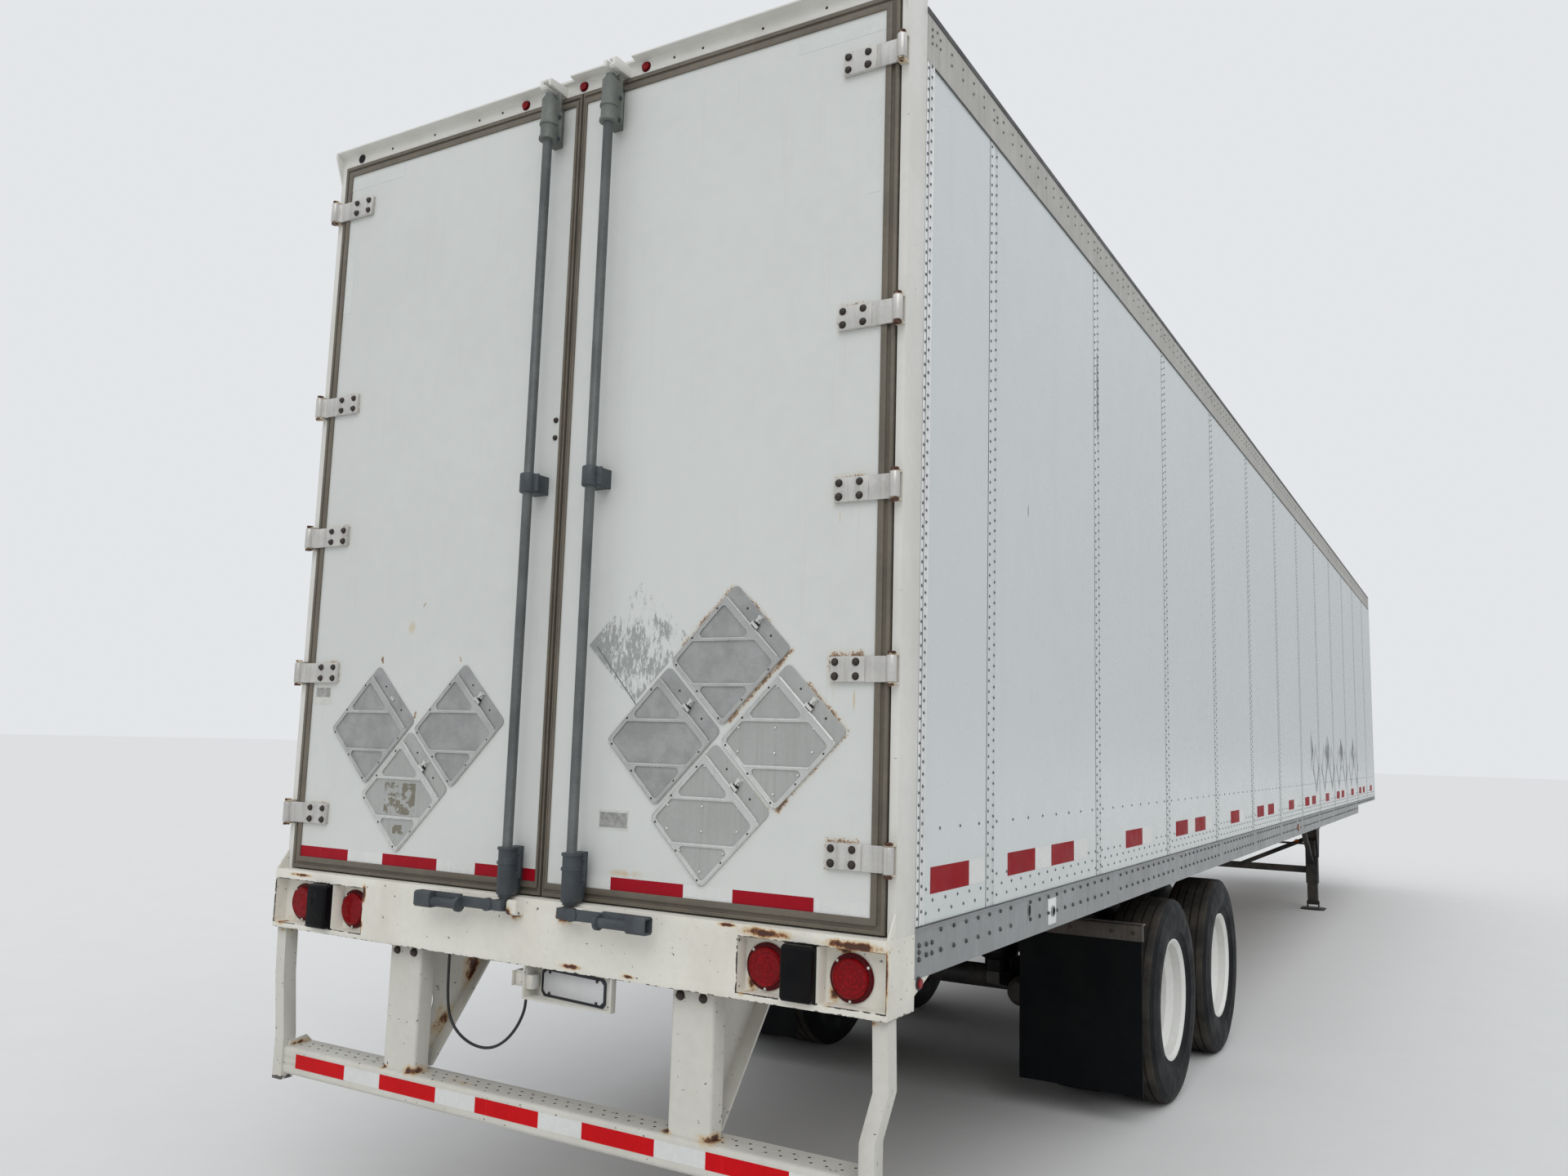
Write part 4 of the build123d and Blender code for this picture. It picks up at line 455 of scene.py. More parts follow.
@dataclass(frozen=True)
class Composite(Finish):
    """The side walls' glossy skin, with faint waves, a rubbed seam and the marks of holders taken off.

    The marks are on the kerb side only. Their sizes are in metres, apart from the first one's place.
    """

    kerb_face: float = 1.288
    marks_start: float = 10152.0
    marks_reach: Pair = (-0.9, 3.6)
    mark_pitch: float = 0.67
    mark_half: float = 0.205
    mark_level: float = 1.670
    upper_level: float = 1.840
    upper_shift: float = 0.31

    def dress(self, graph: Graph, colour: Socket) -> Socket:
        """Adds light streaks and low dirt, then rubbed dirt along a seam, a scratch and the old holders' marks."""
        x, y, z = graph.axes()
        kerb_side = graph.span(x, self.kerb_face - MILLIMETRE, self.kerb_face + MILLIMETRE)
        streak = graph.span(graph.noise(1.4, 3.0, (1.0, 6.0, 0.25), 5.0), 0.56, 0.8, 0.0, 0.10)
        colour = graph.blend(streak, colour, WALL_STREAK)
        low = graph.span(z, 1.55, 1.25, 0.0, 0.22)
        colour = graph.blend(graph.times(low, graph.noise(3.0, 4.0, shift=2.0)), colour, WALL_DIRT)
        near = graph.nearness([Spot((0.0, 2043.0, 3350.0), (9000.0, 30.0, 340.0))])
        torn = graph.noise(20.0, 4.0, (1.0, 0.8, 2.4), 1.0, 0.7)
        rub = graph.span(graph.plus(near, graph.times(torn, 1.4)), 0.98, 1.20, 0.0, 0.85)
        rub = graph.times(graph.times(rub, graph.span(near, 0.0, 0.15)), kerb_side)
        colour = graph.blend(rub, colour, SEAM_RUB)
        scratch = graph.nearness([Spot((1291.0, 1115.0, 2656.0), (60.0, 4.0, 30.0))])
        colour = graph.blend(graph.span(scratch, 0.05, 0.3), colour, SCRATCH_DARK)
        first = depth(self.marks_start)
        start, end = (first + reach for reach in self.marks_reach)
        ragged = graph.noise(11.0, 5.0, (1.0, 1.0, 0.5), 4.0)
        inside = graph.times(graph.span(y, start - 0.2, start), graph.span(y, end + 0.2, end))
        level = graph.size(graph.minus(z, self.mark_level))
        along = graph.math("PINGPONG", graph.minus(y, first), self.mark_pitch / 2)
        edge = graph.minus(graph.plus(along, level), self.mark_half)
        outline = graph.times(graph.span(graph.size(edge), 0.048, 0.030), graph.span(z, 1.74, 1.67, 0.45, 1.0))
        over = graph.size(graph.minus(z, self.upper_level))
        along = graph.math("PINGPONG", graph.minus(y, first + self.upper_shift), self.mark_pitch)
        filled = graph.minus(graph.plus(along, over), self.mark_half)
        filled = graph.times(graph.span(filled, 0.01, -0.03), graph.span(ragged, 0.40, 0.50))
        mark = graph.times(graph.times(graph.math("MAXIMUM", outline, filled), inside), kerb_side)
        mark = graph.times(mark, graph.span(ragged, 0.34, 0.42, 0.0, 0.95))
        return graph.blend(mark, colour, OLD_MARK)

    def relief(self, graph: Graph) -> Socket:
        """Long shallow waves in the gel coat."""
        return graph.bump(graph.noise(0.9, 1.0, (1.0, 1.0, 0.5)), 0.22, 0.012)

    def extra(self, graph: Graph) -> None:
        """A clear coat over the skin."""
        graph.shader.inputs["Coat Weight"].default_value = 0.12
        graph.shader.inputs["Coat Roughness"].default_value = 0.2


@dataclass(frozen=True)
class DoorSkin(Finish):
    """A door's skin, with rust beside the hinge straps and placard holders, and grey marks."""

    marks: tuple[Mark, ...] = ()
    residue: Pair | None = None
    scratches: tuple[Mark, ...] = ()
    stains: tuple[Spot, ...] = ()

    def dress(self, graph: Graph, colour: Socket) -> Socket:
        """Adds stains and streaks, the residue of a holder taken off, then speckled rust along the marks."""
        plain = colour
        _, y, _ = graph.axes()
        outer_face = graph.span(y, depth(DOOR_FACE + 6), depth(DOOR_FACE + 4))
        streak = graph.span(graph.noise(3.0, 4.0, (14.0, 1.0, 0.5), 5.0), 0.58, 0.8, 0.0, 0.10)
        colour = graph.blend(streak, colour, DOOR_STREAK)
        if self.stains:
            stain = graph.plus(graph.nearness(self.stains), graph.noise(16.0, 5.0, (1.6, 1.0, 0.6), 9.0))
            colour = graph.blend(graph.span(stain, 1.0, 1.5, 0.0, 0.7), colour, DOOR_STAIN)
        if self.residue:
            edge = graph.outside(self.residue, (150.0, 138.0), True)
            ragged = graph.noise(24.0, 8.0, (2.4, 1.0, 0.8), 2.0, 0.85)
            patchy = graph.noise(5.0, 3.0, (1.3, 1.0, 0.9), 6.0)
            ragged = graph.plus(ragged, graph.times(patchy, 0.8))
            mark = graph.times(graph.span(edge, 0.004, -0.004), graph.span(ragged, 0.93, 0.96, 0.0, 0.8))
            colour = graph.blend(mark, colour, RESIDUE_GREY)
        if self.scratches:
            colour = graph.blend(graph.span(graph.alongside(self.scratches), 0.1, 0.7), colour, DOOR_SCRATCH)
        near = graph.alongside(self.marks)
        fine = graph.noise(170.0, 4.0, shift=6.0, rough=0.75)
        wide = graph.noise(20.0, 3.0, shift=2.0)
        rough = graph.plus(graph.times(fine, 1.9), graph.times(wide, 1.1))
        level = graph.plus(near, graph.minus(rough, 1.5))
        rust = graph.times(graph.span(level, 0.62, 0.80, 0.0, 0.88), graph.span(near, 0.0, 0.08))
        shade = graph.blend(graph.span(level, 0.74, 1.08), RUST_PALE, RUST_BROWN)
        colour = graph.blend(graph.span(near, 0.1, 0.9, 0.0, 0.22), colour, RUST_TINGE)
        return graph.blend(outer_face, plain, graph.blend(rust, colour, shade))


@dataclass(frozen=True)
class OldPaint(Finish):
    """White paint on steel, with chips, scratches, grime and rust."""

    chips: float = 0.71
    spots: tuple[Spot, ...] = ()
    worn_edge: float | None = None
    windows: tuple[Pair, Pair] | None = None
    rust_level: float = 1.15
    rust_tint: Colour = RUST_BRIGHT

    def dress(self, graph: Graph, colour: Socket) -> Socket:
        """Adds grime, then scratches and chips, then rust with a stained rim round each spot."""
        _, y, z = graph.axes()
        grime = graph.span(graph.noise(4.0, 5.0, (1.0, 1.0, 0.5), 8.0), 0.45, 0.75, 0.0, 0.22)
        colour = graph.blend(grime, colour, GRIME)
        speck = graph.noise(34.0, 5.0, (1.0, 1.0, 0.8), 1.0, 0.65)
        scratch = graph.noise(22.0, 3.0, (0.9, 1.0, 7.0), 3.0)
        worn = graph.math("MAXIMUM", graph.span(speck, self.chips, self.chips + 0.02),
                          graph.span(scratch, 0.745, 0.765, 0.0, 0.8))
        face = graph.span(y, depth(SILL_FACE + 4), depth(SILL_FACE + 2))
        if self.worn_edge is not None:
            edge = graph.span(z, (self.worn_edge + 5) * MILLIMETRE, (self.worn_edge - 2) * MILLIMETRE, 0.0, 0.24)
            chip = graph.noise(60.0, 3.0, (0.8, 1.0, 1.0), 5.0)
            worn = graph.math("MAXIMUM", worn, graph.span(graph.plus(chip, edge), 0.68, 0.72, 0.0, 0.9))
        if self.windows is not None:
            rim = graph.size(graph.outside(*self.windows, mirrored=True))
            rim = graph.span(rim, 0.006, 0.001, 0.0, 0.3)
            chip = graph.times(graph.span(graph.plus(speck, rim), 0.70, 0.74), face)
            worn = graph.math("MAXIMUM", worn, graph.times(chip, graph.span(rim, 0.02, 0.05)))
        colour = graph.blend(worn, colour, BARE_STEEL)
        if self.spots:
            near = graph.nearness(self.spots)
            torn = graph.noise(24.0, 5.0, shift=6.0, rough=0.65)
            level = graph.plus(graph.times(near, 0.75), graph.times(torn, 1.3))
            stain = graph.span(level, self.rust_level - 0.40, self.rust_level - 0.04, 0.0, 0.6)
            colour = graph.blend(stain, colour, RUST_RIM)
            colour = graph.blend(graph.span(level, self.rust_level - 0.10, self.rust_level + 0.04), colour,
                                 self.rust_tint)
            colour = graph.blend(graph.span(level, self.rust_level, self.rust_level + 0.16), colour, RUST_DARK)
        return colour


@dataclass(frozen=True)
class Weathered(Finish):
    """Bare or zinc-coated metal, with upright streaks and dull blooms."""

    streak: float = 0.3
    bloom: Colour = srgb(120, 120, 116)
    rust: float = 0.0
    run: Point = (9.0, 9.0, 0.6)
    spots: tuple[Spot, ...] = ()
    patches: tuple[tuple[Pair, Pair], ...] = ()

    def dress(self, graph: Graph, colour: Socket) -> Socket:
        """Adds the streaks, and rust where there is any."""
        share = graph.span(graph.noise(5.0, 4.0, self.run, 2.0), 0.42, 0.74, 0.0, self.streak)
        colour = graph.blend(share, colour, self.bloom)
        if self.rust > 0:
            torn = graph.noise(30.0, 5.0, shift=4.0, rough=0.65)
            colour = graph.blend(graph.span(torn, 0.70 - self.rust * 0.2, 0.76 - self.rust * 0.1), colour, RUST_DARK)
        if self.spots:
            near = graph.plus(graph.nearness(self.spots), graph.noise(40.0, 4.0, shift=9.0, rough=0.65))
            colour = graph.blend(graph.span(near, 0.7, 0.95), colour, SPOT_BROWN)
        for middle, half in self.patches:
            ragged = graph.plus(graph.noise(22.0, 6.0, (1.0, 1.0, 1.3), 3.0, 0.7),
                                graph.span(graph.outside(middle, half), 0.004, -0.006, 0.0, 0.5))
            colour = graph.blend(graph.span(ragged, 0.96, 1.00, 0.0, 0.9), colour, GLUE_GREY)
        return colour


@dataclass(frozen=True)
class Tape(Finish):
    """Retroreflective tape, with its fine cells and scuffed upright lines."""

    grain: float = 0.06
    grain_scale: float = 500.0
    scuff: float = 0.2

    def dress(self, graph: Graph, colour: Socket) -> Socket:
        """Adds the cells and the lines."""
        cell = graph.span(graph.cells(260.0), 0.25, 0.55, 0.0, 0.14)
        colour = graph.blend(cell, colour, tuple(value * 0.55 for value in self.colour))
        line = graph.span(graph.noise(60.0, 2.0, (1.0, 1.0, 0.03), 3.0), 0.62, 0.72, 0.0, self.scuff)
        return graph.blend(line, colour, tuple(min(1.0, value * 1.2 + 0.02) for value in self.colour))

    def extra(self, graph: Graph) -> None:
        """Little surface reflection, so that the colour stays deep."""
        graph.shader.inputs["Specular IOR Level"].default_value = 0.1


@dataclass(frozen=True)
class Lens(Finish):
    """A moulded lamp lens, with the rings and cells of its optics."""

    rings: tuple[Pair, ...] = ()
    rings_per_metre: float = 70.0

    def dress(self, graph: Graph, colour: Socket) -> Socket:
        """Adds darker cells and rings under the lens."""
        cell = graph.span(graph.cells(95.0), 0.15, 0.65, 0.0, 0.45)
        colour = graph.blend(cell, colour, tuple(value * 0.3 for value in self.colour))
        x, _, z = graph.axes()
        for cx, cz in self.rings:
            dx = graph.minus(graph.size(x), cx * MILLIMETRE)
            dz = graph.minus(z, cz * MILLIMETRE)
            reach = graph.length(dx, dz)
            wave = graph.math("FRACT", graph.times(reach, self.rings_per_metre))
            ring = graph.size(graph.minus(wave, 0.5))
            ring = graph.times(graph.span(ring, 0.30, 0.48, 0.0, 0.4), graph.span(reach, 0.060, 0.056))
            colour = graph.blend(ring, colour, tuple(value * 0.25 for value in self.colour))
        return colour

    def relief(self, graph: Graph) -> Socket:
        """The moulded cells' relief."""
        return graph.bump(graph.cells(95.0), self.grain, 0.002)

    def extra(self, graph: Graph) -> None:
        """A clear top."""
        graph.shader.inputs["Specular IOR Level"].default_value = 0.12
        graph.shader.inputs["Coat Weight"].default_value = 0.12
        graph.shader.inputs["Coat Roughness"].default_value = 0.06


@dataclass(frozen=True)
class Planks(Finish):
    """Laminated hardwood strips along the floor."""

    strip: float = 0.032

    def dress(self, graph: Graph, colour: Socket) -> Socket:
        """Gives each strip its own tone, with dark joints and long grain."""
        x, _, _ = graph.axes()
        row = graph.math("DIVIDE", x, self.strip)
        node = graph.tree.nodes.new("ShaderNodeTexWhiteNoise")
        node.noise_dimensions = "1D"
        graph.feed(node.inputs["W"], graph.math("FLOOR", row))
        colour = graph.blend(graph.times(node.outputs["Value"], 0.45), colour, WOOD_DARK)
        joint = graph.size(graph.minus(graph.math("FRACT", row), 0.5))
        colour = graph.blend(graph.span(joint, 0.465, 0.495, 0.0, 0.8), colour, WOOD_JOINT)
        return graph.blend(graph.span(graph.noise(8.0, 4.0, (8.0, 0.4, 1.0)), 0.5, 0.75, 0.0, 0.4), colour,
                           WOOD_GRAIN)


@dataclass(frozen=True)
class Holder:
    """A placard holder: its middle, its finish's number, and whether it has studs and a whole clip."""

    x: float
    z: float
    finish: int = 0
    studs: bool = False
    clip: bool = True


HOLDERS = {
    "left": (Holder(-866.0, 1796.0, clip=False), Holder(-424.0, 1801.0), Holder(-679.0, 1556.0, 1)),
    "right": (Holder(717.0, 2039.0), Holder(473.0, 1784.0), Holder(914.0, 1791.0, 1, True),
              Holder(660.0, 1545.0, 1, True)),
}
LONG, SHORT = 169.0, 144.5


def corner(holder: Holder, along: float, across: float) -> Pair:
    """The x and z of a place on a holder, from its long axis, towards the upper right, and its short one."""
    return holder.x + (along - across) * HALF_ROOT, holder.z + (along + across) * HALF_ROOT


def hinge_marks(side: int, strengths: Sequence[float]) -> tuple[Mark, ...]:
    """The rust over and outside each hinge strap of one door, from the lowest strap up."""
    marks = []
    for z, strength in zip(HINGE_ZS, strengths):
        end, root = side * 1079.0, side * 1168.0
        marks.append(Mark((end, z + 41), (root, z + 41), 14 + 18 * strength, 0.45 + 0.5 * strength))
        upright = end - side * 3
        marks.append(Mark((upright, z + 38), (upright, z - 36), 10 + 18 * strength, 0.42 + 0.5 * strength))
    return tuple(marks)


R_TOP, _, R_RIGHT, R_LOW = HOLDERS["right"]
RIGHT_MARKS = (
    Mark(corner(R_TOP, -100, SHORT + 3), corner(R_TOP, 150, SHORT + 3), 20, 0.80),
    Mark(corner(R_TOP, LONG + 2, 100), corner(R_TOP, LONG + 2, -30), 18, 0.62),
    Mark(corner(R_TOP, -140, -SHORT - 4), corner(R_TOP, 165, -SHORT - 4), 18, 0.95),
    Mark(corner(R_RIGHT, LONG + 3, 50), corner(R_RIGHT, LONG + 3, -140), 20, 0.78),
    Mark(corner(R_RIGHT, -90, -SHORT - 3), corner(R_RIGHT, 160, -SHORT - 3), 13, 0.72),
    Mark(corner(R_RIGHT, -158, -SHORT - 3), corner(R_RIGHT, -120, -SHORT - 3), 24, 0.98),
    Mark(corner(R_LOW, LONG + 3, -60), corner(R_LOW, LONG + 3, -130), 12, 0.60),
)
LEFT_MARKS = (
    Mark((-842.0, 2046.0), (-838.0, 2030.0), 11, 1.1), Mark((-437.0, 2043.0), (-434.0, 2032.0), 9, 1.05),
    Mark((-646.0, 1846.0), (-650.0, 1828.0), 13, 0.9), Mark((-632.0, 2246.0), (-640.0, 2236.0), 8, 0.9),
)
SILL_SPOTS = (
    Spot((897, -48, 1222), (100, 60, 18)), Spot((1188, -48, 1216), (118, 60, 20)),
    Spot((1103, -20, 1068), (20, 70, 34)), Spot((826, -20, 1062), (20, 70, 28)), Spot((1138, -10, 1192), (44, 60, 14)),
    Spot((-66, -60, 1190), (30, 70, 32)), Spot((150, -60, 1196), (46, 70, 30)), Spot((-1140, -48, 1226), (80, 60, 9)),
    Spot((-1252, -48, 1055), (40, 60, 26)), Spot((-800, -48, 1190), (14, 60, 44)),
    Spot((-806, -48, 1075), (12, 60, 30)), Spot((771, -48, 1233), (40, 50, 8)), Spot((1292, -47, 1150), (6, 8, 100)),
    Spot((178, -48, 1044), (52, 60, 11)), Spot((410, -48, 1040), (26, 60, 8)),
)
GUARD_SPOTS = (
    Spot((-560, 20, 598), (56, 60, 26)), Spot((690, 20, 598), (64, 70, 26)), Spot((535, 20, 597), (30, 60, 14)),
    Spot((-690, 20, 597), (26, 60, 12)), Spot((-621, 330, 870), (26, 60, 260)), Spot((-621, 200, 700), (24, 90, 120)),
    Spot((621, 420, 1060), (30, 90, 50)), Spot((-1206, 40, 596), (22, 60, 16)), Spot((-340, 30, 596), (120, 30, 6)),
    Spot((1234, 0, 1012), (40, 50, 12)), Spot((-1250, 0, 1012), (40, 50, 12)),
)


class Look:
    """The trailer's finishes, one for each kind of surface."""

    COMPOSITE = Composite("white_composite_skin", srgb(208, 213, 213), 0.30, tone=0.02, tone_scale=0.5, grain=0.0,
                          specular=0.3)
    DOOR_RIGHT = DoorSkin("door_skin_right", srgb(211, 213, 209), 0.42, tone=0.03, tone_scale=1.2, grain=0.06,
                          marks=RIGHT_MARKS + hinge_marks(1, (0.75, 1.0, 0.72, 0.5, 0.35)), residue=(358.0, 2086.0),
                          scratches=(Mark((190.0, 2072.0), (362.0, 1880.0), 3.0),),
                          stains=(Spot((340, 0, 1345), (190, 30, 30)), Spot((1084, 0, 1915), (7, 30, 60)),
                                  Spot((1152, 0, 1905), (9, 30, 80)), Spot((1092, 0, 2450), (6, 30, 60))))
    DOOR_LEFT = DoorSkin("door_skin_left", srgb(210, 212, 208), 0.42, tone=0.03, tone_scale=1.2, grain=0.06,
                         marks=LEFT_MARKS + hinge_marks(-1, (0.3, 0.42, 0.3, 0.25, 0.2)),
                         stains=(Spot((-690, 0, 2160), (60, 30, 70)),))
    SILL = OldPaint("sill_paint", srgb(226, 223, 212), 0.46, tone=0.05, grain=0.2, grain_scale=90.0, chips=0.70,
                    spots=SILL_SPOTS, worn_edge=1026.0, windows=((1047.75, 1125.0), (241.75, 80.0)), rust_level=0.98,
                    rust_tint=srgb(146, 96, 52))
    FRAME = OldPaint("post_paint", srgb(220, 219, 213), 0.42, tone=0.04, grain=0.12, chips=0.76)
    # Darker than the posts' same white paint: painted shade for the guard's low place near the ground, set against the
    # light that the pale floor throws up.
    GUARD = OldPaint("guard_paint", srgb(206, 204, 195), 0.44, tone=0.05, grain=0.18, chips=0.71, spots=GUARD_SPOTS,
                     worn_edge=484.0, rust_level=1.10, rust_tint=srgb(120, 76, 44))
    BUTT = OldPaint("hinge_butt_paint", srgb(205, 201, 190), 0.42, tone=0.06, grain=0.15, chips=0.68,
                    spots=tuple(Spot((side * 1284, -34, z + off), (26, 26, 9)) for side in SIDES for z in HINGE_ZS
                                for off in (-46, 46)), rust_level=0.95, rust_tint=srgb(74, 54, 42))
    RAIL = Weathered("rail_aluminium", srgb(148, 151, 152), 0.42, metallic=0.35, tone=0.07, tone_scale=1.3, dust=0.12,
                     grain=0.1, grain_scale=260.0, streak=0.35, bloom=srgb(124, 125, 124))
    TOP_RAIL = Weathered("top_rail_aluminium", srgb(182, 180, 174), 0.48, metallic=0.3, tone=0.08, tone_scale=1.2,
                         grain=0.1, grain_scale=260.0, streak=0.4, bloom=srgb(150, 146, 140))
    STRIP = Weathered("corner_aluminium", srgb(230, 231, 230), 0.36, metallic=0.15, tone=0.06, streak=0.3,
                      bloom=srgb(196, 198, 198))
    # Dark grey boxes of painted shadow: at each joint strip's left edge, beside the rear strip and its ridges, and
    # along the rails' edges.
    SHADOW_LINE = Finish("sealant_line", srgb(78, 80, 80), 0.6, tone=0.2, tone_scale=6.0, specular=0.2)
    ROOF = Weathered("roof_sheet", srgb(186, 189, 190), 0.45, metallic=0.35, tone=0.08, tone_scale=0.8, dust=0.25,
                     streak=0.25, run=(0.6, 0.3, 1.0))
    SEAL = Finish("seal_rubber", srgb(105, 98, 86), 0.55, tone=0.16, tone_scale=4.0, dust=0.15, grain=0.2,
                  grain_scale=120.0)
    HINGE = Weathered("hinge_zinc", srgb(206, 204, 200), 0.34, metallic=0.4, tone=0.10, tone_scale=9.0, grain=0.16,
                      grain_scale=160.0, grain_stretch=(6.0, 1.0, 0.3), streak=0.5, bloom=srgb(160, 157, 151),
                      rust=0.03)
    # HOLDER_RIM and BRIGHT_RIM, the pressed frames' finishes, are set lighter than their sheets' finishes: a painted
    # highlight on the frames and their beads.
    HOLDER = Weathered("holder_sheet", srgb(162, 163, 162), 0.42, metallic=0.3, tone=0.16, tone_scale=16.0,
                       grain=0.8, grain_scale=260.0, streak=0.4, bloom=srgb(146, 147, 146), run=(2.0, 2.0, 1.2))
    HOLDER_RIM = Weathered("holder_frame", srgb(192, 192, 190), 0.30, metallic=0.65, tone=0.10, tone_scale=9.0,
                           grain=0.3, grain_scale=260.0, streak=0.4, bloom=srgb(164, 164, 162), run=(2.0, 2.0, 1.2))
    HOLDER_BRIGHT = Weathered("holder_bright", srgb(178, 179, 176), 0.34, metallic=0.4, tone=0.06, tone_scale=5.0,
                              grain=0.3, grain_scale=300.0, streak=0.5, bloom=srgb(164, 164, 160),
                              run=(14.0, 14.0, 0.5),
                              patches=(((-697.0, 1531.0), (84.0, 60.0)), ((-693.0, 1420.0), (34.0, 20.0))))
    BRIGHT_RIM = Weathered("holder_bright_frame", srgb(212, 213, 210), 0.24, metallic=0.7, tone=0.06, tone_scale=5.0,
                           grain=0.15, grain_scale=300.0, streak=0.4, bloom=srgb(184, 184, 180))
    ROD = Weathered("rod_zinc", srgb(98, 101, 100), 0.45, metallic=0.2, tone=0.18, tone_scale=7.0, grain=0.2,
                    grain_scale=70.0, streak=0.6, bloom=srgb(72, 76, 76), run=(2.0, 2.0, 1.0),
                    spots=tuple(Spot((x, ROD_Y, 1225), (40, 60, 20)) for x in (182, -95)))
    GUIDE = Weathered("guide_casting", srgb(62, 68, 73), 0.56, tone=0.2, tone_scale=12.0, grain=0.5, grain_scale=170.0,
                      streak=0.4, bloom=srgb(88, 92, 94), run=(3.0, 3.0, 1.0), rust=0.1)
    GUIDE_HIGH = Weathered("guide_casting_high", srgb(108, 112, 106), 0.56, tone=0.2, tone_scale=12.0, grain=0.5,
                           grain_scale=170.0, streak=0.5, bloom=srgb(78, 82, 80), run=(3.0, 3.0, 1.0), rust=0.05)
    BOLT = Weathered("old_bolt", srgb(56, 49, 45), 0.55, metallic=0.3, tone=0.3, tone_scale=30.0, streak=0.4,
                     bloom=srgb(84, 68, 56), rust=0.4)
    RIVET = Finish("rivet_aluminium", srgb(112, 115, 116), 0.5, metallic=0.5, tone=0.25, tone_scale=14.0)
    RAIL_BOLT = Finish("rail_bolt", srgb(84, 84, 82), 0.5, metallic=0.4, tone=0.3, tone_scale=14.0)
    SCREW = Finish("bright_screw", srgb(226, 226, 222), 0.3, metallic=0.7, tone=0.1)
    RED_TAPE = Tape("red_tape", srgb(160, 20, 36), 0.4, tone=0.08)
    GUARD_TAPE = Tape("guard_red_tape", srgb(204, 12, 22), 0.30, tone=0.08)
    SIDE_TAPE = Tape("side_red_tape", srgb(148, 10, 24), 0.5, tone=0.10, scuff=0.35)
    WHITE_TAPE = Tape("white_tape", srgb(222, 223, 220), 0.28, tone=0.05)
    SIDE_STRIP = Tape("corner_strip", srgb(216, 219, 216), 0.34, tone=0.04, grain=0.04)
    LABEL = Finish("blank_label", srgb(206, 206, 200), 0.4, tone=0.10, tone_scale=40.0, grain=0.05)
    FOIL = Finish("worn_foil_label", srgb(168, 168, 164), 0.34, metallic=0.3, tone=0.28, tone_scale=60.0,
                  grain_stretch=(1.0, 1.0, 0.05))
    LENS = Lens("red_lens", srgb(146, 4, 16), 0.30, tone=0.12, tone_scale=20.0, grain=0.35,
                rings=((892.0, 1119.0), (1170.0, 1119.0)))
    FLANGE = Lens("red_lamp_flange", srgb(92, 4, 14), 0.34, tone=0.12, grain=0.05)
    AMBER = Lens("amber_lens", srgb(214, 112, 20), 0.2, tone=0.1, grain=0.1)
    # BUMPER, FLAP and SIDEWALL are darker than the rubber's own black: partly its own colour and partly painted shade,
    # set against the light that the pale floor throws up onto these low, shaded parts.
    BUMPER = Finish("bumper_rubber", srgb(7, 8, 11), 0.40, tone=0.3, tone_scale=10.0, dust=0.02, grain=0.5,
                    grain_scale=60.0, specular=0.12)
    FLAP = Finish("flap_rubber", srgb(6, 9, 12), 0.60, tone=0.2, tone_scale=3.0, dust=0.01, grain=0.3, specular=0.12)
    TREAD = Finish("tyre_tread", srgb(50, 48, 45), 0.85, tone=0.3, tone_scale=8.0, dust=0.20, grain=0.5,
                   grain_scale=120.0, specular=0.2)
    SIDEWALL = Finish("tyre_sidewall", srgb(17, 20, 23), 0.62, tone=0.25, tone_scale=5.0, dust=0.03, grain=0.25,
                      grain_scale=150.0, specular=0.2)
    WHEEL = OldPaint("wheel_paint", srgb(226, 226, 222), 0.38, tone=0.05, grain=0.1, chips=0.76)
    NUT = Weathered("wheel_nut", srgb(150, 140, 128), 0.45, metallic=0.6, tone=0.2, tone_scale=20.0, rust=0.5)
    CHASSIS = Weathered("chassis_black", srgb(34, 33, 33), 0.6, tone=0.3, tone_scale=3.0, dust=0.30, grain=0.25,
                        grain_scale=90.0, streak=0.3, bloom=srgb(60, 55, 50), rust=0.25)
    CLAMP = Weathered("flap_clamp_steel", srgb(78, 72, 66), 0.55, metallic=0.3, tone=0.25, tone_scale=8.0, streak=0.5,
                      bloom=srgb(58, 48, 42), rust=0.3)
    BEAMS = Weathered("cross_member_zinc", srgb(122, 124, 124), 0.55, metallic=0.4, tone=0.15, dust=0.35, streak=0.4,
                      bloom=srgb(92, 90, 86), rust=0.1)
    CAST = Weathered("cast_iron", srgb(60, 56, 52), 0.65, metallic=0.3, tone=0.25, tone_scale=8.0, grain=0.5,
                     grain_scale=120.0, streak=0.3, bloom=srgb(92, 70, 54), rust=0.45)
    WOOD = Planks("laminated_floor", srgb(150, 112, 74), 0.55, tone=0.12, tone_scale=1.5, dust=0.15, grain=0.15)
    PLASTIC = Finish("black_plastic", srgb(26, 26, 28), 0.42, tone=0.2, tone_scale=12.0, grain=0.15)
    PLATE = OldPaint("blank_plate", srgb(200, 201, 202), 0.34, tone=0.05, chips=0.78)
    PLATE_RIM = Finish("plate_rim", srgb(28, 32, 42), 0.4, tone=0.25, tone_scale=20.0)
    # A near-black finish of painted shade, put where a hole or a hollow would be dark.
    HOLE_SHADOW = Finish("hole_shadow", srgb(18, 17, 16), 0.9, tone=0.2)


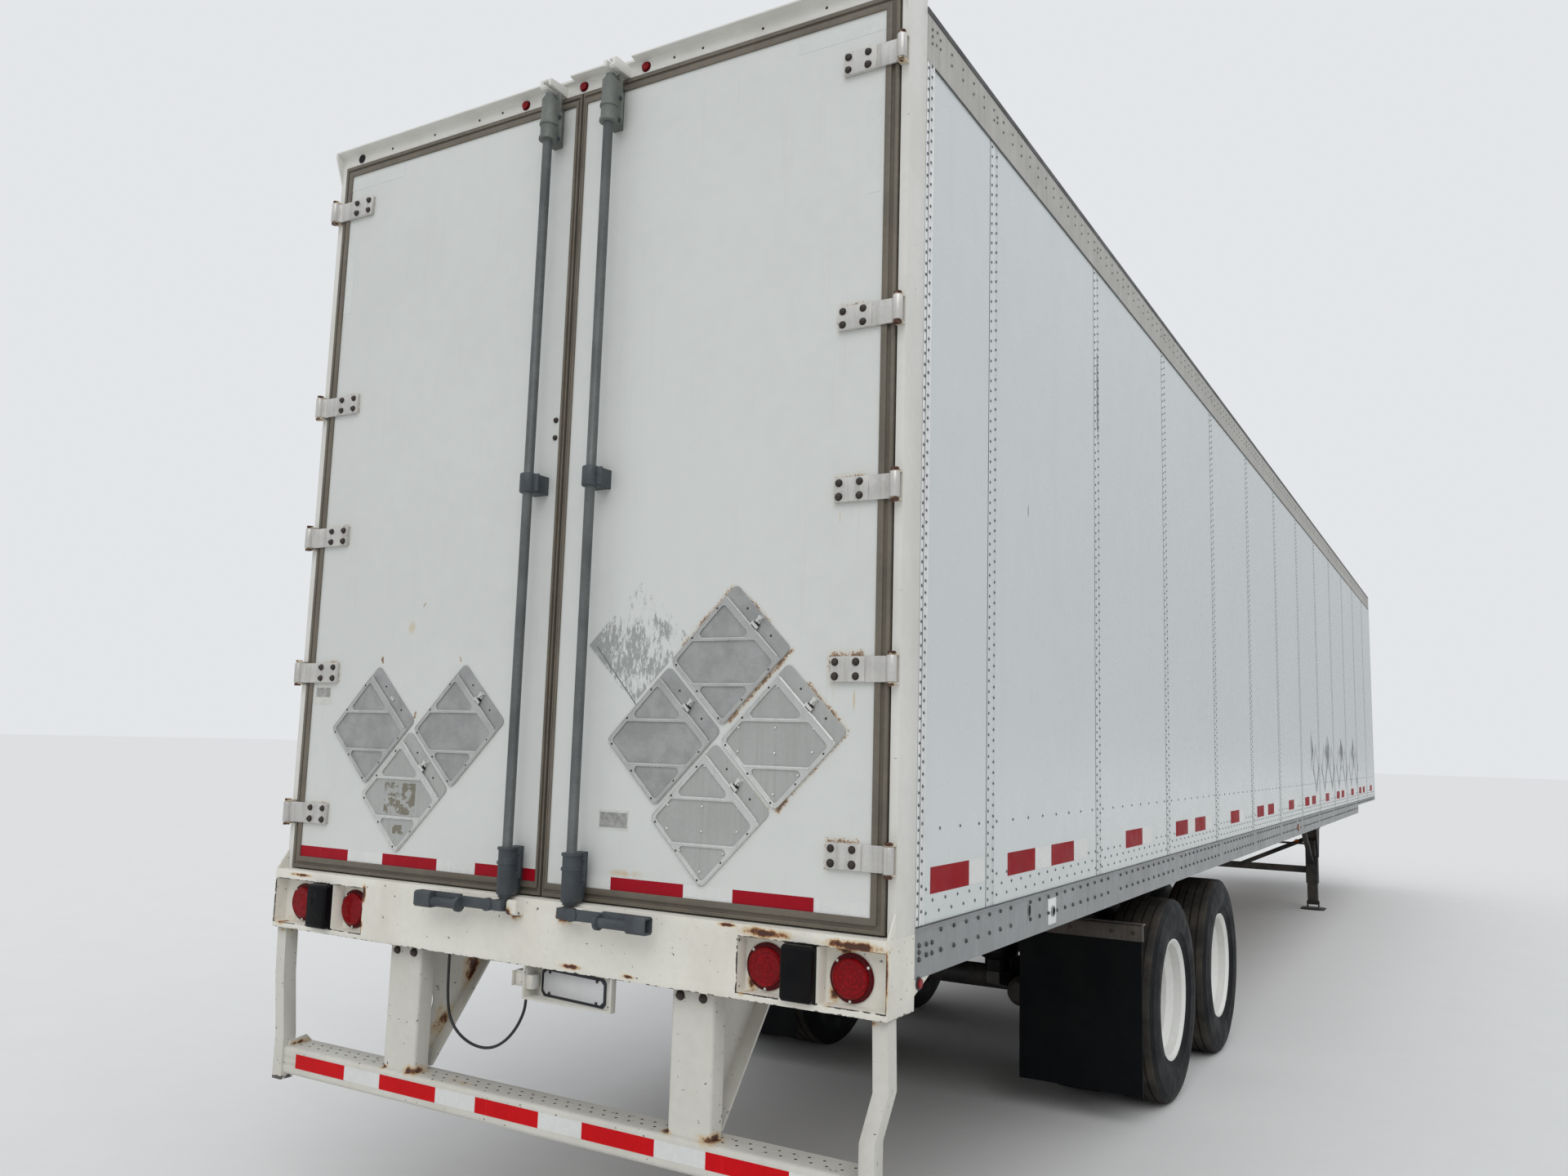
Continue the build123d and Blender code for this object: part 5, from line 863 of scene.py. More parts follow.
class Shape:
    """A mesh under construction, in the classes' millimetres, whose faces name a finish by number."""

    def __init__(self) -> None:
        """Starts an empty mesh."""
        self.mesh = bmesh.new()

    def add(self, points: Sequence[Point], faces: Iterable[Sequence[int]], finish: int = 0,
            turn: Matrix | None = None) -> None:
        """Adds points and faces.

        Args:
            points: Corners in millimetres.
            faces: Rows of corner numbers.
            finish: The faces' finish number.
            turn: A matrix that places the points.
        """
        placed = [turn @ Vector(p) if turn else Vector(p) for p in points]
        corners = [self.mesh.verts.new(p) for p in placed]
        for row in faces:
            face = self.mesh.faces.new([corners[i] for i in row])
            face.material_index = finish

    def box(self, low: Point, high: Point, finish: int = 0, turn: Matrix | None = None) -> None:
        """A box between two corners."""
        xs, ys, zs = ((low[i], high[i]) for i in range(3))
        points = [(x, y, z) for z in zs for y in ys for x in xs]
        rows = ((0, 2, 3, 1), (4, 5, 7, 6), (0, 1, 5, 4), (2, 6, 7, 3), (0, 4, 6, 2), (1, 3, 7, 5))
        self.add(points, rows, finish, turn)

    def prism(self, outline: Sequence[Pair], start: float, end: float, finish: int = 0,
              turn: Matrix | None = None) -> None:
        """An (x, z) outline carried along y from start to end."""
        count = len(outline)
        points = [(x, y, z) for y in (start, end) for x, z in outline]
        rows = [tuple(range(count)), tuple(range(2 * count - 1, count - 1, -1))]
        rows += [(i, i + count, (i + 1) % count + count, (i + 1) % count) for i in range(count)]
        self.add(points, rows, finish, turn)

    def lathe(self, outline: Sequence[Pair], turn: Matrix, sides: int = 32, finishes: Sequence[int] = (0,)) -> None:
        """A closed (radius, height) outline turned about its own z axis.

        Args:
            outline: Corners, closed from the last to the first. A radius of 0 at both ends closes on the axis.
            turn: A matrix that places the form.
            sides: Steps round the axis.
            finishes: A finish number for each stretch of the outline, or one for all.
        """
        on_axis = outline[0][0] == 0 and outline[-1][0] == 0
        rings: list[list[int]] = []
        points: list[Point] = []
        for r, h in outline:
            if r == 0:
                rings.append([len(points)] * sides)
                points.append((0.0, 0.0, h))
                continue
            rings.append(list(range(len(points), len(points) + sides)))
            points += [(r * cos(2 * pi * i / sides), r * sin(2 * pi * i / sides), h) for i in range(sides)]
        corners = [self.mesh.verts.new(turn @ Vector(p)) for p in points]
        for k in range(len(outline) - on_axis):
            a, b = rings[k], rings[(k + 1) % len(rings)]
            for i in range(sides):
                j = (i + 1) % sides
                row = list(dict.fromkeys((a[i], a[j], b[j], b[i])))
                if len(row) > 2:
                    face = self.mesh.faces.new([corners[n] for n in row])
                    face.material_index = finishes[k % len(finishes)]

    def tube(self, points: Sequence[Point], radius: float, sides: int = 10, finish: int = 0) -> None:
        """A round tube with closed ends along points."""
        centres = [Vector(p) for p in points]
        rings = []
        side = Vector((0.0, 0.0, 1.0))
        for i, centre in enumerate(centres):
            ahead = (centres[min(i + 1, len(centres) - 1)] - centres[max(i - 1, 0)]).normalized()
            across = ahead.cross(side)
            across = across.normalized() if across.length > 0.05 else ahead.cross(Vector((0.0, 1.0, 0.0))).normalized()
            side = across.cross(ahead).normalized()
            rings.append([self.mesh.verts.new(centre + radius * (cos(2 * pi * k / sides) * across
                                                                  + sin(2 * pi * k / sides) * side))
                          for k in range(sides)])
        for a, b in zip(rings, rings[1:]):
            for k in range(sides):
                face = self.mesh.faces.new((a[k], a[(k + 1) % sides], b[(k + 1) % sides], b[k]))
                face.material_index = finish
        for ring in (rings[0], rings[-1]):
            self.mesh.faces.new(ring).material_index = finish

    def plate(self, outlines: Sequence[Sequence[Pair]], thick: float, edge: float, finish: int, turn: Matrix) -> None:
        """A flat plate with rounded edges, set on its back.

        Args:
            outlines: Its outline, then those of its holes.
            thick: Its thickness.
            edge: The rounding of its edges, by which the outlines are to stand back from their true place.
            finish: The faces' finish number.
            turn: A matrix that places it, with its thickness along its own z axis.
        """
        curve = bpy.data.curves.new("plate", "CURVE")
        curve.dimensions = "2D"
        curve.fill_mode = "BOTH"
        curve.extrude = thick / 2 - edge
        curve.bevel_depth = edge
        curve.bevel_resolution = 1
        for outline in outlines:
            spline = curve.splines.new("POLY")
            spline.points.add(len(outline) - 1)
            for point, (x, y) in zip(spline.points, outline):
                point.co = (x, y, 0.0, 1.0)
            spline.use_cyclic_u = True
        item = add_object("plate", curve)
        bpy.context.view_layer.update()
        data = bpy.data.meshes.new_from_object(item.evaluated_get(bpy.context.evaluated_depsgraph_get()))
        data.transform(turn @ Matrix.Translation((0.0, 0.0, thick / 2)))
        done = len(self.mesh.faces)
        self.mesh.from_mesh(data)
        self.mesh.faces.ensure_lookup_table()
        for face in self.mesh.faces[done:]:
            face.material_index = finish
        bpy.data.objects.remove(item)
        bpy.data.curves.remove(curve)
        bpy.data.meshes.remove(data)

    def finish(self, name: str, body: Body, slot: Slot, finishes: Sequence[Finish], bevel: float = 0.0,
               smooth: float = 35.0, recalculate: bool = True) -> bpy.types.Object:
        """Makes the object, in metres, and puts it on its body.

        Args:
            name: The piece's name.
            body: The body that it rides on.
            slot: The record's slot for its finish.
            finishes: The finishes that the faces' numbers name.
            bevel: The width of bevelled edges in millimetres, or 0.
            smooth: Edges flatter than this angle, in degrees, are shaded smooth.
            recalculate: Whether the faces are turned outwards here.

        Returns:
            The finished piece.
        """
        bmesh.ops.transform(self.mesh, verts=self.mesh.verts,
                            matrix=Matrix.Translation((0.0, POST_FACE, 0.0)) @ Matrix.Scale(MILLIMETRE, 4))
        if recalculate:
            bmesh.ops.recalc_face_normals(self.mesh, faces=self.mesh.faces)
        data = bpy.data.meshes.new(name)
        self.mesh.to_mesh(data)
        self.mesh.free()
        return place_mesh(name, data, body, slot, finishes, bevel, smooth)


EDGE_ANGLE = radians(40)
FLAT_ANGLE = radians(0.5)
MERGE_GAP = 0.00002
AREA_SHARES = (0.9, 1.05)


def add_object(name: str, data: bpy.types.ID) -> bpy.types.Object:
    """Makes an object of a mesh, curve, camera or light, and puts it in the scene."""
    item = bpy.data.objects.new(name, data)
    bpy.context.scene.collection.objects.link(item)
    return item


def place_mesh(name: str, data: bpy.types.Mesh, body: Body, slot: Slot, finishes: Sequence[Finish],
               bevel: float = 0.0, smooth: float = 35.0) -> bpy.types.Object:
    """Makes an object of a mesh, bevels and shades it, and puts it on its body.

    Args:
        name: The piece's name.
        data: The mesh, in place and in metres.
        body: The body that it rides on.
        slot: Not used.
        finishes: The finishes in the order of the faces' numbers.
        bevel: The width of bevelled edges in millimetres, or 0.
        smooth: Edges flatter than this angle, in degrees, are shaded smooth.

    Returns:
        The finished piece.
    """
    for each in finishes:
        data.materials.append(each.material())
    piece = add_object(name, data)
    if bevel > 0:
        modifier = piece.modifiers.new("edges", "BEVEL")
        modifier.width = bevel * MILLIMETRE
        modifier.segments = 2
        modifier.limit_method = "ANGLE"
        modifier.angle_limit = EDGE_ANGLE
        bake(piece)
    piece.data.shade_smooth()
    piece.data.set_sharp_from_angle(angle=radians(smooth))
    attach(piece, body.value)
    log.info("%s on %s, %d faces", name, body.value, len(piece.data.polygons))
    return piece


def bake(piece: bpy.types.Object) -> None:
    """Makes a piece's modifiers part of its mesh."""
    bpy.context.view_layer.update()
    graph = bpy.context.evaluated_depsgraph_get()
    data = bpy.data.meshes.new_from_object(piece.evaluated_get(graph))
    piece.modifiers.clear()
    piece.data = data


def along_x(x: float, y: float, z: float, sign: float = 1.0) -> Matrix:
    """A matrix that puts a form's own z axis along x."""
    return Matrix.Translation((x, y, z)) @ Matrix.Rotation(sign * pi / 2, 4, "Y")


def along_y(x: float, y: float, z: float, sign: float = -1.0) -> Matrix:
    """A matrix that puts a form's own z axis along y, rearwards unless sign is 1."""
    return Matrix.Translation((x, y, z)) @ Matrix.Rotation(-sign * pi / 2, 4, "X")


def softened(node: str, name: str, body: Body, slot: Slot, finishes: Sequence[Finish], width: float,
             paint: Callable[[Vector], int] | None = None, smooth: float = 32.0) -> bpy.types.Object:
    """A copy of a CAD node with its facets joined and its hard edges rounded, which replaces the node.

    Args:
        node: The CAD node.
        name: The piece's name.
        body: The body that it rides on.
        slot: The record's slot for its finish.
        finishes: The piece's finishes.
        width: The rounding in millimetres.
        paint: Gives a face's finish number from its centre in metres.
        smooth: Edges flatter than this angle, in degrees, are shaded smooth.

    Returns:
        The finished piece.
    """
    mesh = bmesh.new()
    mesh.from_mesh(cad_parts[node].data)
    bmesh.ops.remove_doubles(mesh, verts=mesh.verts, dist=MERGE_GAP)
    bmesh.ops.dissolve_limit(mesh, angle_limit=FLAT_ANGLE, verts=mesh.verts, edges=mesh.edges)
    bmesh.ops.triangulate(mesh, faces=[face for face in mesh.faces if len(face.verts) > 4])
    area = sum(face.calc_area() for face in mesh.faces)
    for face in mesh.faces:
        face.material_index = paint(face.calc_center_median()) if paint else 0
    data = bpy.data.meshes.new(name)
    mesh.to_mesh(data)
    mesh.free()
    piece = place_mesh(name, data, body, slot, finishes, width, smooth)
    share = sum(face.area for face in piece.data.polygons) / area
    if not AREA_SHARES[0] < share < AREA_SHARES[1]:
        log.warning("%s has %.2f of the area of %s", name, share, node)
    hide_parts(node)
    return piece


def dress(node: str, finish: Finish) -> None:
    """Gives a CAD node's own object a finish."""
    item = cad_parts[node]
    if item.material_slots:
        for slot in item.material_slots:
            slot.material = finish.material()
    else:
        item.data.materials.append(finish.material())


@dataclass
class Heads:
    """Rivets or bolts at many places, as instances of one low head that a node tree sets at each point."""

    name: str
    body: Body
    slot: Slot
    finish: Finish
    radius: float
    height: float
    sides: int = 8
    taper: float = 0.55
    spread: float = 0.05
    seed: int = 4
    places: list[tuple[Point, Point]] = field(default_factory=list)

    def at(self, place: Point, aim: Point) -> None:
        """Adds a head at a place, in millimetres, that points along aim."""
        self.places.append((place, aim))

    def tree(self) -> bpy.types.GeometryNodeTree:
        """The node tree: a low cone on every point, turned to the point's own direction.

        Returns:
            A tree with named inputs for the head's sizes, its finish and the seed.
        """
        tree = bpy.data.node_groups.new(self.name + "_tree", "GeometryNodeTree")
        tree.interface.new_socket("Geometry", in_out="INPUT", socket_type="NodeSocketGeometry")
        for label, kind in (("Radius", "Float"), ("Height", "Float"), ("Taper", "Float"), ("Spread", "Float"),
                            ("Sides", "Int"), ("Seed", "Int"), ("Finish", "Material")):
            tree.interface.new_socket(label, in_out="INPUT", socket_type="NodeSocket" + kind)
        tree.interface.new_socket("Geometry", in_out="OUTPUT", socket_type="NodeSocketGeometry")
        new, link = tree.nodes.new, tree.links.new
        inputs = new("NodeGroupInput").outputs
        top, least = new("ShaderNodeMath"), new("ShaderNodeMath")
        head, aim = new("GeometryNodeMeshCone"), new("GeometryNodeInputNamedAttribute")
        turn, size = new("FunctionNodeAlignRotationToVector"), new("FunctionNodeRandomValue")
        copies, real = new("GeometryNodeInstanceOnPoints"), new("GeometryNodeRealizeInstances")
        coat = new("GeometryNodeSetMaterial")
        top.operation, least.operation = "MULTIPLY", "SUBTRACT"
        least.inputs[0].default_value = 1.0
        aim.data_type, size.data_type = "FLOAT_VECTOR", "FLOAT"
        aim.inputs["Name"].default_value = "aim"
        turn.axis = "Z"
        size.inputs[3].default_value = 1.0
        for source, target in (
            (inputs["Radius"], top.inputs[0]), (inputs["Taper"], top.inputs[1]),
            (inputs["Sides"], head.inputs["Vertices"]), (inputs["Radius"], head.inputs["Radius Bottom"]),
            (top.outputs[0], head.inputs["Radius Top"]), (inputs["Height"], head.inputs["Depth"]),
            (aim.outputs[0], turn.inputs["Vector"]), (inputs["Spread"], least.inputs[1]),
            (least.outputs[0], size.inputs[2]), (inputs["Seed"], size.inputs["Seed"]),
            (inputs["Geometry"], copies.inputs["Points"]), (head.outputs["Mesh"], copies.inputs["Instance"]),
            (turn.outputs[0], copies.inputs["Rotation"]), (size.outputs[1], copies.inputs["Scale"]),
            (copies.outputs[0], real.inputs[0]), (real.outputs[0], coat.inputs["Geometry"]),
            (inputs["Finish"], coat.inputs["Material"]), (coat.outputs[0], new("NodeGroupOutput").inputs[0]),
        ):
            link(source, target)
        return tree

    def make(self) -> bpy.types.Object:
        """Sets the heads and makes them a plain mesh.

        Returns:
            The finished piece.
        """
        data = bpy.data.meshes.new(self.name)
        data.from_pydata([tuple(metres(*place)) for place, _ in self.places], [], [])
        aims = data.attributes.new("aim", "FLOAT_VECTOR", "POINT")
        aims.data.foreach_set("vector", [value for _, aim in self.places for value in aim])
        piece = add_object(self.name, data)
        modifier = piece.modifiers.new("heads", "NODES")
        modifier.node_group = self.tree()
        values = {"Radius": self.radius * MILLIMETRE, "Height": self.height * MILLIMETRE, "Taper": self.taper,
                  "Spread": self.spread, "Sides": self.sides, "Seed": self.seed, "Finish": self.finish.material()}
        for item in modifier.node_group.interface.items_tree:
            if item.in_out == "INPUT" and item.name in values:
                modifier[item.identifier] = values[item.name]
        bake(piece)
        if self.sides > 6:
            piece.data.shade_smooth()
        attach(piece, self.body.value)
        log.info("%s on %s, %d heads", self.name, self.body.value, len(self.places))
        return piece


def steps(start: float, end: float, pitch: float) -> list[float]:
    """Evenly spaced values from start up to end."""
    return [start + i * pitch for i in range(int((end - start) / pitch) + 1)]


def rounded(outline: Sequence[Pair], radii: Sequence[float], parts: int = 4) -> list[Pair]:
    """An outline with an arc at each corner.

    Args:
        outline: The corners of a convex outline, counterclockwise.
        radii: The arcs' radii, used in turn.
        parts: Stretches in each arc.

    Returns:
        The rounded outline.
    """
    points: list[Pair] = []
    count = len(outline)
    for i in range(count):
        before, at, after = (Vector(outline[(i + k) % count]) for k in (-1, 0, 1))
        back, ahead = (before - at).normalized(), (after - at).normalized()
        half = back.angle(ahead) / 2
        reach = min(radii[i % len(radii)] / tan(half), 0.48 * min((before - at).length, (after - at).length))
        middle = at + (back + ahead).normalized() * reach / cos(half)
        first, last = at + back * reach - middle, at + ahead * reach - middle
        turn = first.angle_signed(last)
        for k in range(parts + 1):
            angle = -turn * k / parts
            points.append((middle.x + first.x * cos(angle) - first.y * sin(angle),
                           middle.y + first.x * sin(angle) + first.y * cos(angle)))
    return points


def clipped(outline: Sequence[Pair], low: float, high: float) -> list[Pair]:
    """The part of an outline whose height on a door, (a + b) / root 2, lies between two values.

    Args:
        outline: The corners (a, b) of a convex outline, on axes turned by 45 degrees.
        low: The lower value.
        high: The upper value.

    Returns:
        The part's corners, in the same order.
    """
    for sign, limit in ((1.0, high), (-1.0, -low)):
        kept: list[Pair] = []
        for (a0, b0), (a1, b1) in zip(outline, list(outline[1:]) + [outline[0]]):
            h0, h1 = ((a + b) * HALF_ROOT * sign - limit for a, b in ((a0, b0), (a1, b1)))
            if h0 <= 0:
                kept.append((a0, b0))
            if (h0 < 0) != (h1 < 0) and h0 != h1:
                share = h0 / (h0 - h1)
                kept.append((a0 + (a1 - a0) * share, b0 + (b1 - b0) * share))
        outline = kept
    return list(outline)


class Sided:
    """What is on one side of the trailer, which its name says."""

    name: str

    @property
    def side(self) -> int:
        """1 on the kerb side and -1 on the road side."""
        return 1 if self.name == "right" else -1


@dataclass
class SideWall:
    """One side of the body: joint strips, rivets, rails, tape and small fittings."""

    side: int
    rivet_pitch: float = 36.0
    column_offsets: Pair = (14.0, 61.0)
    strip_end: float = 73.0
    strip_proud: float = 1.0
    rear_strip: Pair = (131.0, 190.0)
    rear_columns: Pair = (146.0, 173.0)
    single_row: float = 1530.0
    low_rows: tuple[float, ...] = (1357.0, 1322.0, 1288.0)
    bolt_pitch: float = 102.0
    bolt_rows: Pair = (1232.0, 1172.0)
    full_rail_end: float = 13535.0
    tape_low: float = 1340.0
    tape_high: float = 1418.0
    strip_middle: float = 37.0
    strip_room: float = 45.0
    row_pitch: float = 98.0
    last_row: float = LENGTH - 180.0
    corner_rivets: tuple[Pair, ...] = ((169, 4049), (207, 4059), (170, 4026), (233, 4047), (170, 4002), (202, 4013),
                                       (234, 4017))
    rail_rows: Pair = (4050.0, 4011.0)
    seam_rows: Pair = (4039.0, 4019.0)
    front_end: float = LENGTH - 155.0
    # Where painted shadow lines stand beside the rear strip and its ridges.
    rear_lines: Point = (130.0, 155.0, 190.0)
    rear_ridges: tuple[Point, ...] = ((182.0, 190.0, 5.0), (157.0, 162.0, 4.5))
    rear_tapes: tuple[tuple[float, float, bool], ...] = ((243.0, 551.0, True), (551.0, 690.0, False))
    panel_tapes: tuple[tuple[Pair, ...], ...] = (((208, 499), (688, 974)), ((481, 783),))
    white_length: float = 185.0
    rear_bolts: tuple[tuple[float, tuple[float, ...]], ...] = ((159, (1203, 1184, 1164)), (211, (1201, 1171)),
                                                               (252, (1201, 1171)))
    lamp_seats: tuple[Point, ...] = ((157, 1098, 19), (8100, 1178, 30))
    lamp_room: float = 60.0

    @property
    def name(self) -> str:
        """The side's name."""
        return "right" if self.side > 0 else "left"

    def build(self) -> None:
        """Makes the side's pieces."""
        self.dress_nodes()
        self.strips()
        self.rivets()
        self.bolts()
        self.tapes()
        self.fittings()

    def dress_nodes(self) -> None:
        """Finishes the CAD wall."""
        dress(f"side_wall_{self.name}", Look.COMPOSITE)

    def strips(self) -> None:
        """A thin raised strip over each joint and an aluminium one beside the rear post, with dark boxes of painted
        shadow at their edges and along the rails.
        """
        shape = Shape()
        face, proud = self.side * WALL_FACE, self.side * (WALL_FACE + self.strip_proud)
        # Painted shadow lines: a dark box along each joint strip's left edge.
        lines = Shape()
        for seam in SEAMS:
            shape.box((face - self.side, seam + 2, RAIL_TOP), (proud, seam + self.strip_end, TOP_RAIL_LOW))
            lines.box((face - self.side, seam - 2, RAIL_TOP), (self.side * (WALL_FACE + 0.5), seam + 2, TOP_RAIL_LOW))
        shape.finish(f"joint_strips_{self.name}", Body.FIXED, Slot.COMPOSITE, [Look.COMPOSITE], bevel=0.6)
        post = Shape()
        start, end = self.rear_strip
        post.box((face - self.side, start, RAIL_TOP), (self.side * (WALL_FACE + 2.5), end, TOP_RAIL_LOW + 20))
        for y0, y1, height in self.rear_ridges:
            post.box((face, y0, RAIL_TOP), (self.side * (WALL_FACE + height), y1, TOP_RAIL_LOW))
        post.finish(f"rear_strip_{self.name}", Body.FIXED, Slot.ALUMINIUM, [Look.STRIP], bevel=0.8)
        # Painted shadow lines beside the rear strip and its ridges.
        for y in self.rear_lines:
            lines.box((face, y, RAIL_TOP), (self.side * (WALL_FACE + 3.2), y + 3, TOP_RAIL_LOW))
        rail = self.side * HALF_WIDTH
        low, high = sorted((rail - self.side, rail + self.side * 0.8))
        # Painted shadow lines under the top rail's lower edge and along the bottom rail's top edge.
        lines.box((low, end, TOP_RAIL_LOW - 4), (high, self.front_end, TOP_RAIL_LOW + 1))
        lines.box((low, start, RAIL_TOP - 4), (high, self.front_end, RAIL_TOP))
        lines.finish(f"sealant_{self.name}", Body.FIXED, Slot.RUBBER, [Look.SHADOW_LINE])

    def stretches(self) -> list[tuple[float, float, bool]]:
        """The tape's stretches, each with its start, its end and whether it is red."""
        rows = list(self.rear_tapes)
        for i, seam in enumerate(SEAMS):
            for start, end in self.panel_tapes[i % 2]:
                if seam + end < LENGTH - 200:
                    rows += [(seam + start, seam + end, True), (seam + end, seam + end + self.white_length, False)]
        return rows

    def clear(self, y: float) -> bool:
        """Whether a place along the wall is clear of every joint strip."""
        return min(abs(y - seam - self.strip_middle) for seam in SEAMS) > self.strip_room

    def rivets(self) -> None:
        """Columns at each joint and at the rear, rows above the bottom rail, and the top rail's pairs."""
        heads = Heads(f"wall_rivets_{self.name}", Body.FIXED, Slot.ALUMINIUM, Look.RIVET, 6.0, 3.2)
        aim = (float(self.side), 0.0, 0.0)
        face = self.side * (WALL_FACE + self.strip_proud - 0.2)
        for seam in SEAMS:
            for i, offset in enumerate(self.column_offsets):
                for z in steps(RAIL_TOP + 22 + i * self.rivet_pitch / 2, TOP_RAIL_LOW - 8, self.rivet_pitch):
                    heads.at((face, seam + offset, z), aim)
        for i, y in enumerate(self.rear_columns):
            for z in steps(RAIL_TOP + 22 + i * self.rivet_pitch / 2, TOP_RAIL_LOW + 8, self.rivet_pitch):
                heads.at((self.side * (WALL_FACE + 2.3), y, z), aim)
        flat = self.side * (WALL_FACE - 0.2)
        for y in steps(312, self.last_row, 162):
            if self.clear(y):
                heads.at((flat, y, self.single_row), aim)
        taped = [(start, end) for start, end, _ in self.stretches()]
        for i, z in enumerate(self.low_rows):
            for y in steps(212 + (self.row_pitch / 2 if i == 1 else 0), self.last_row, self.row_pitch):
                hidden = z > self.tape_low - 8 and any(start - 8 < y < end + 8 for start, end in taped)
                if self.clear(y) and not hidden:
                    heads.at((flat, y, z), aim)
        rail = self.side * (HALF_WIDTH - 0.2)
        for y, z in self.corner_rivets:
            heads.at((rail, y, z), aim)
        columns = [(y, self.rail_rows) for y in steps(330, self.last_row, self.row_pitch)]
        columns += [(seam + 58, self.seam_rows) for seam in SEAMS]
        for y, levels in columns:
            for z in levels:
                heads.at((rail, y, z), aim)
        heads.make()

    def bolts(self) -> None:
        """Pairs of bolts along the bottom rail, and a group at its rear end."""
        heads = Heads(f"rail_bolts_{self.name}", Body.FIXED, Slot.ALUMINIUM, Look.RAIL_BOLT, 9.0, 6.0, spread=0.1)
        aim = (float(self.side), 0.0, 0.0)
        rail = self.side * (HALF_WIDTH - 0.2)
        for y, levels in self.rear_bolts:
            for z in levels:
                heads.at((rail, y, z), aim)
        for i, y in enumerate(steps(318, LENGTH - 200, self.bolt_pitch)):
            if i % 12 == 7:
                continue
            for z in self.bolt_rows if y < self.full_rail_end else self.bolt_rows[:1]:
                if abs(y - self.lamp_seats[1][0]) > self.lamp_room:
                    heads.at((rail, y, z), aim)
        heads.make()

    def tapes(self) -> None:
        """Red and white tape: one red stretch on a panel, and two on the next."""
        red, white = Shape(), Shape()
        face = self.side * WALL_FACE
        proud = self.side * (WALL_FACE + 0.6)
        for start, end, is_red in self.stretches():
            shape = red if is_red else white
            shape.box((face - 0.2 * self.side, start, self.tape_low), (proud, end, self.tape_high))
        red.finish(f"side_tape_red_{self.name}", Body.FIXED, Slot.RED, [Look.SIDE_TAPE])
        white.finish(f"side_tape_white_{self.name}", Body.FIXED, Slot.COMPOSITE, [Look.WHITE_TAPE])

    def fittings(self) -> None:
        """The bottom rail's oval hole and latch plate, its marker lamps' bases and a ledge along its top."""
        shape = Shape()
        rail = HALF_WIDTH * self.side
        # The oval hole's inner faces take the dark hole finish: painted shade inside the hole.
        turn = along_x(rail - 0.6 * self.side, 1123, 1203, self.side) @ Matrix.Diagonal((1.5, 1.0, 1.0, 1.0))
        shape.lathe([(0, 0), (15, 0), (16, 2.4), (13.5, 2.4), (13, 1.4), (0, 1.4)], turn, 24, (0, 0, 0, 1, 1))
        x0, x1 = sorted((rail - 0.5 * self.side, rail + 3.5 * self.side))
        shape.box((x0, 1334, 1128), (x1, 1424, 1222), 3)
        shape.lathe([(0, 0), (19, 0), (20, 7), (14, 7), (13, 3), (0, 3)],
                    along_x(rail + 2 * self.side, 1379, 1175, self.side), 24, (0, 0, 0, 1, 1))
        for y, z, r in self.lamp_seats:
            shape.lathe([(0, -1), (r, -1), (r, 3.5), (r - 3, 5.0), (0, 5.0)], along_x(rail, y, z, self.side), 28,
                        (2, 2, 2, 2))
        low, high = sorted((rail, rail + 1.5 * self.side))
        shape.box((low, 131, 1238), (high, LENGTH - 152, 1246))
        finishes = [Look.RAIL, Look.HOLE_SHADOW, Look.PLASTIC, Look.STRIP]
        shape.finish(f"rail_fittings_{self.name}", Body.FIXED, Slot.ALUMINIUM, finishes, bevel=0.8)


HOLDER_RIVETS = ((-161, 118), (-161, 0), (-161, -118), (-60, -137), (70, -137), (-60, 137), (70, 137), (145, 57),
                 (145, -66))
HOLDER_STUDS = ((-155, 24), (-25, 26), (108, 26), (-155, -48), (-25, -50), (104, -44), (-20, 150), (-112, 74),
                (64, 72), (-104, -112), (58, -112), (-26, -172))
# The first clip box takes the dark hole finish: a painted shadow under the clip's bent tab.
CLIP_BOXES = (((121, -14, 4), (140, 6, 13), 5), ((126, -19, 12), (136, 10, 18), 4), ((135, -10, 4), (162, 4, 9), 4),
              ((158, -10, 5), (165, 4, 20), 4), ((143, -7, 16), (165, 1, 21), 4))
TORN_CLIP_BOXES = (((139, -13, 5), (147, 4, 12), 4),)
DOOR_TAPES = {
    "left": ((-1228, -953, 1), (-953, -767, 0), (-767, -490, 1), (-490, -305, 0), (-305, -27, 1)),
    "right": ((199, 290, 0), (290, 574, 1), (574, 755, 0), (755, 1035, 1), (1035, 1213, 0)),
}
LABELS = {
    "left": ((-1206, 1868, -1112, 1948, 0.5), (-1199, 1898, -1119, 1934, 0.7)),
    "right": ((229, 1478, 352, 1542, 0.5), (234, 1486, 346, 1534, 0.8)),
}
TOP_STRIPS = {"left": ((-1225, -918), (-1217, -1172)), "right": ((899, 1222), (1157, 1205))}


